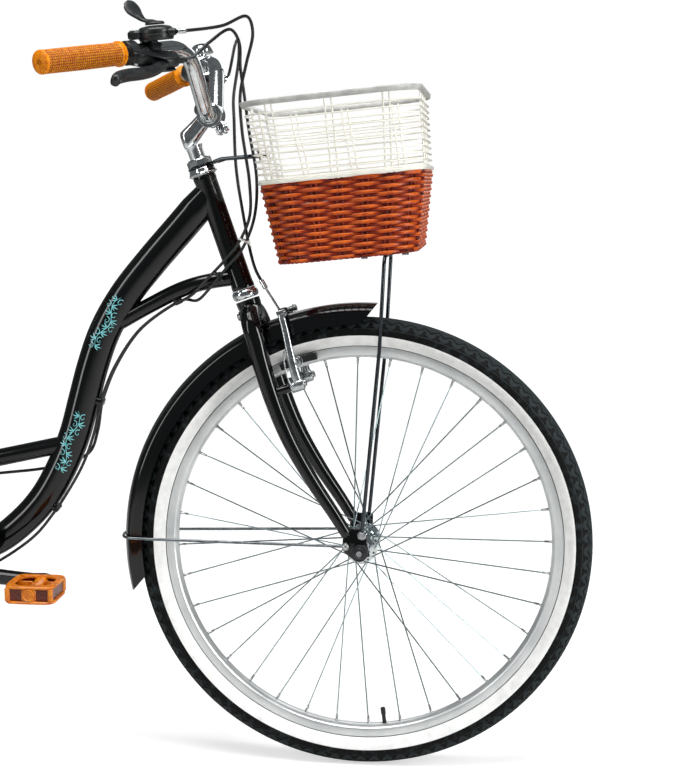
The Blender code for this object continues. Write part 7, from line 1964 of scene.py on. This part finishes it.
def vine(start, end, flip):
    """A wavy stem; at each of eight nodes a spiral to one side and a fan of three curved leaves."""
    t = np.linspace(0, 1, 140)
    v = flip * 0.005 * np.sin(3 * np.pi * t)
    strips = [ribbon(start + (end - start) * t, v, 0.0011 * np.sin(np.pi * np.clip(t, 0.04, 0.97)) ** 0.5)]
    for k in range(8):
        t0 = (k + 0.5) / 8
        s0, v0 = start + (end - start) * t0, flip * 0.005 * np.sin(3 * np.pi * t0)
        side = 1 if k % 2 else -1
        turn = np.linspace(0, 1, 60)
        a = side * (0.4 + 6.2 * turn)
        r = 0.005 * (1 - turn) ** 0.8
        cs, cv = s0 + 0.0024 / tube_length, v0 + side * 0.0062
        strips.append(ribbon(cs + r * np.cos(a + side * 2.4) / tube_length, cv + r * np.sin(a + side * 2.4),
                             0.0009 * (1 - turn) + 0.0003))
        leaf = np.linspace(0, 1, 20)
        for lean_a, long in ((0.35, 0.0088), (0.95, 0.01), (1.6, 0.008)):
            curl = lean_a + 0.5 * leaf
            strips.append(ribbon(s0 + leaf * long * np.cos(curl) / tube_length,
                                 v0 - side * leaf * long * np.sin(curl),
                                 0.0015 * np.sin(np.pi * np.clip(leaf, 0.03, 0.97)) ** 0.8))
    return strips


piece("vine_ornament", vine(0.279, 0.4, 1) + vine(0.536, 0.67, -1), teal, "frame", outward=False)
print("all pieces:", len(made))

# %% [markdown]
# ## Camera, floor and light
# The camera stands where the photo was taken: 2.2 m to the right of the bicycle, a little
# ahead of its front wheel and 0.84 m up, with a 72 mm lens on a 36 mm sensor. It is turned
# 5.76 degrees towards the rear, tipped 7.59 degrees down and rolled a quarter of a degree.

# %%
def turned_camera(yaw, pitch, roll):
    """Rows right, down and forward: a turn about Z, then about the camera's X, then its view."""
    cy, sy, cp, sp = math.cos(yaw), math.sin(yaw), math.cos(pitch), math.sin(pitch)
    cr, sr = math.cos(roll), math.sin(roll)
    base = np.array([[1, 0, 0], [0, 0, -1], [0, 1, 0.0]]) @ np.array([[cy, sy, 0], [-sy, cy, 0], [0, 0, 1.0]])
    tip = np.array([[1, 0, 0], [0, cp, -sp], [0, sp, cp]])
    lean_over = np.array([[cr, -sr, 0], [sr, cr, 0], [0, 0, 1.0]])
    return lean_over @ tip @ base


focal_pixels, picture_height, sensor = 1552.2, 776, 36
right, down, forward = turned_camera(math.radians(5.76), math.radians(7.59), math.radians(0.25))
lens = bpy.data.cameras.new("catalogue_camera")
lens.lens = focal_pixels * sensor / picture_height
lens.sensor_width = sensor
lens.dof.use_dof = False
camera = bpy.data.objects.new("catalogue_camera", lens)
axes = Matrix((right, -down, -forward)).transposed().to_4x4()
axes.translation = (0.72375, -2.176, 0.842)
camera.matrix_world = axes
bpy.context.scene.collection.objects.link(camera)
bpy.context.scene.camera = camera

# %% [markdown]
# The floor is pale matt board. To the camera alone it glows a little, more so further off, so
# that its far edge runs into the white air and only the bicycle's shadow shows on it.

# %%
ground, ground_tree, ground_shader = finish("pale_studio_floor", 0.75)
tint = blotches(ground_tree, 0.4, 2.0)
plug(ground_tree, ground_shader, Base_Color=two_tone(ground_tree, tint, "#D9D9D7", "#E1E1DF"))
relief(ground_tree, ground_shader, blotches(ground_tree, 0.004, 2.0), 0.1, 0.0001)
seen_by = add(ground_tree, "ShaderNodeLightPath")
lift = add(ground_tree, "ShaderNodeEmission", {"Color": (1.0, 1.0, 1.0, 1.0)})
spot = add(ground_tree, "ShaderNodeTexCoord").outputs["Object"]
away = add(ground_tree, "ShaderNodeVectorMath", {0: spot}, operation="LENGTH").outputs["Value"]
glow = spread(ground_tree, away, 0.56, 1.0, 1.2, 5.0)
plug(ground_tree, lift, Strength=maths(ground_tree, "MULTIPLY", glow, seen_by.outputs["Is Camera Ray"]))
both = add(ground_tree, "ShaderNodeAddShader", {0: ground_shader.outputs["BSDF"],
    1: lift.outputs["Emission"]})
ground_tree.links.new(both.outputs["Shader"], ground_tree.nodes["Material Output"].inputs["Surface"])
floor_mesh = bpy.data.meshes.new("studio_floor")
floor_mesh.from_pydata([(-90, -90, 0), (90, -90, 0), (90, 90, 0), (-90, 90, 0)], [], [(0, 1, 2, 3)])
floor_mesh.materials.append(ground)
floor = bpy.data.objects.new("studio_floor", floor_mesh)
bpy.context.scene.collection.objects.link(floor)

studio = bpy.data.worlds.new("studio_air")
bpy.context.scene.world = studio
studio.use_nodes = True
air = studio.node_tree
for node in list(air.nodes):
    air.nodes.remove(node)
seen = add(air, "ShaderNodeLightPath")
around_light = add(air, "ShaderNodeBackground", {"Color": linear("#EDF4F7"), "Strength": 0.15})
white = add(air, "ShaderNodeBackground", {"Color": (1.0, 1.0, 1.0, 1.0), "Strength": 1.0})
chosen = add(air, "ShaderNodeMixShader", {0: seen.outputs["Is Camera Ray"],
    1: around_light.outputs["Background"], 2: white.outputs["Background"]})
add(air, "ShaderNodeOutputWorld", {"Surface": chosen.outputs["Shader"]})


def softbox(name, place, aim, width, height, watts):
    """An area lamp that faces a point."""
    lamp = bpy.data.lights.new(name, "AREA")
    lamp.shape = "RECTANGLE"
    lamp.size, lamp.size_y = width, height
    lamp.energy = watts
    thing = bpy.data.objects.new(name, lamp)
    thing.location = place
    way = Vector(aim) - Vector(place)
    thing.rotation_euler = way.to_track_quat("-Z", "Y").to_euler()
    bpy.context.scene.collection.objects.link(thing)


softbox("overhead_softbox", (0.3, -0.7, 3.0), (0.2, 0.0, 0.5), 2.4, 1.4, 74)
softbox("left_strip", (-2.0, -2.0, 1.5), (0.2, 0.0, 0.6), 0.5, 2.4, 22)
softbox("right_strip", (2.9, -1.2, 1.4), (0.4, 0.0, 0.7), 0.6, 2.4, 56)
softbox("rim_softbox", (0.6, 2.4, 1.8), (0.3, 0.0, 0.6), 2.4, 1.2, 12)

bpy.context.scene.view_settings.view_transform = "Standard"
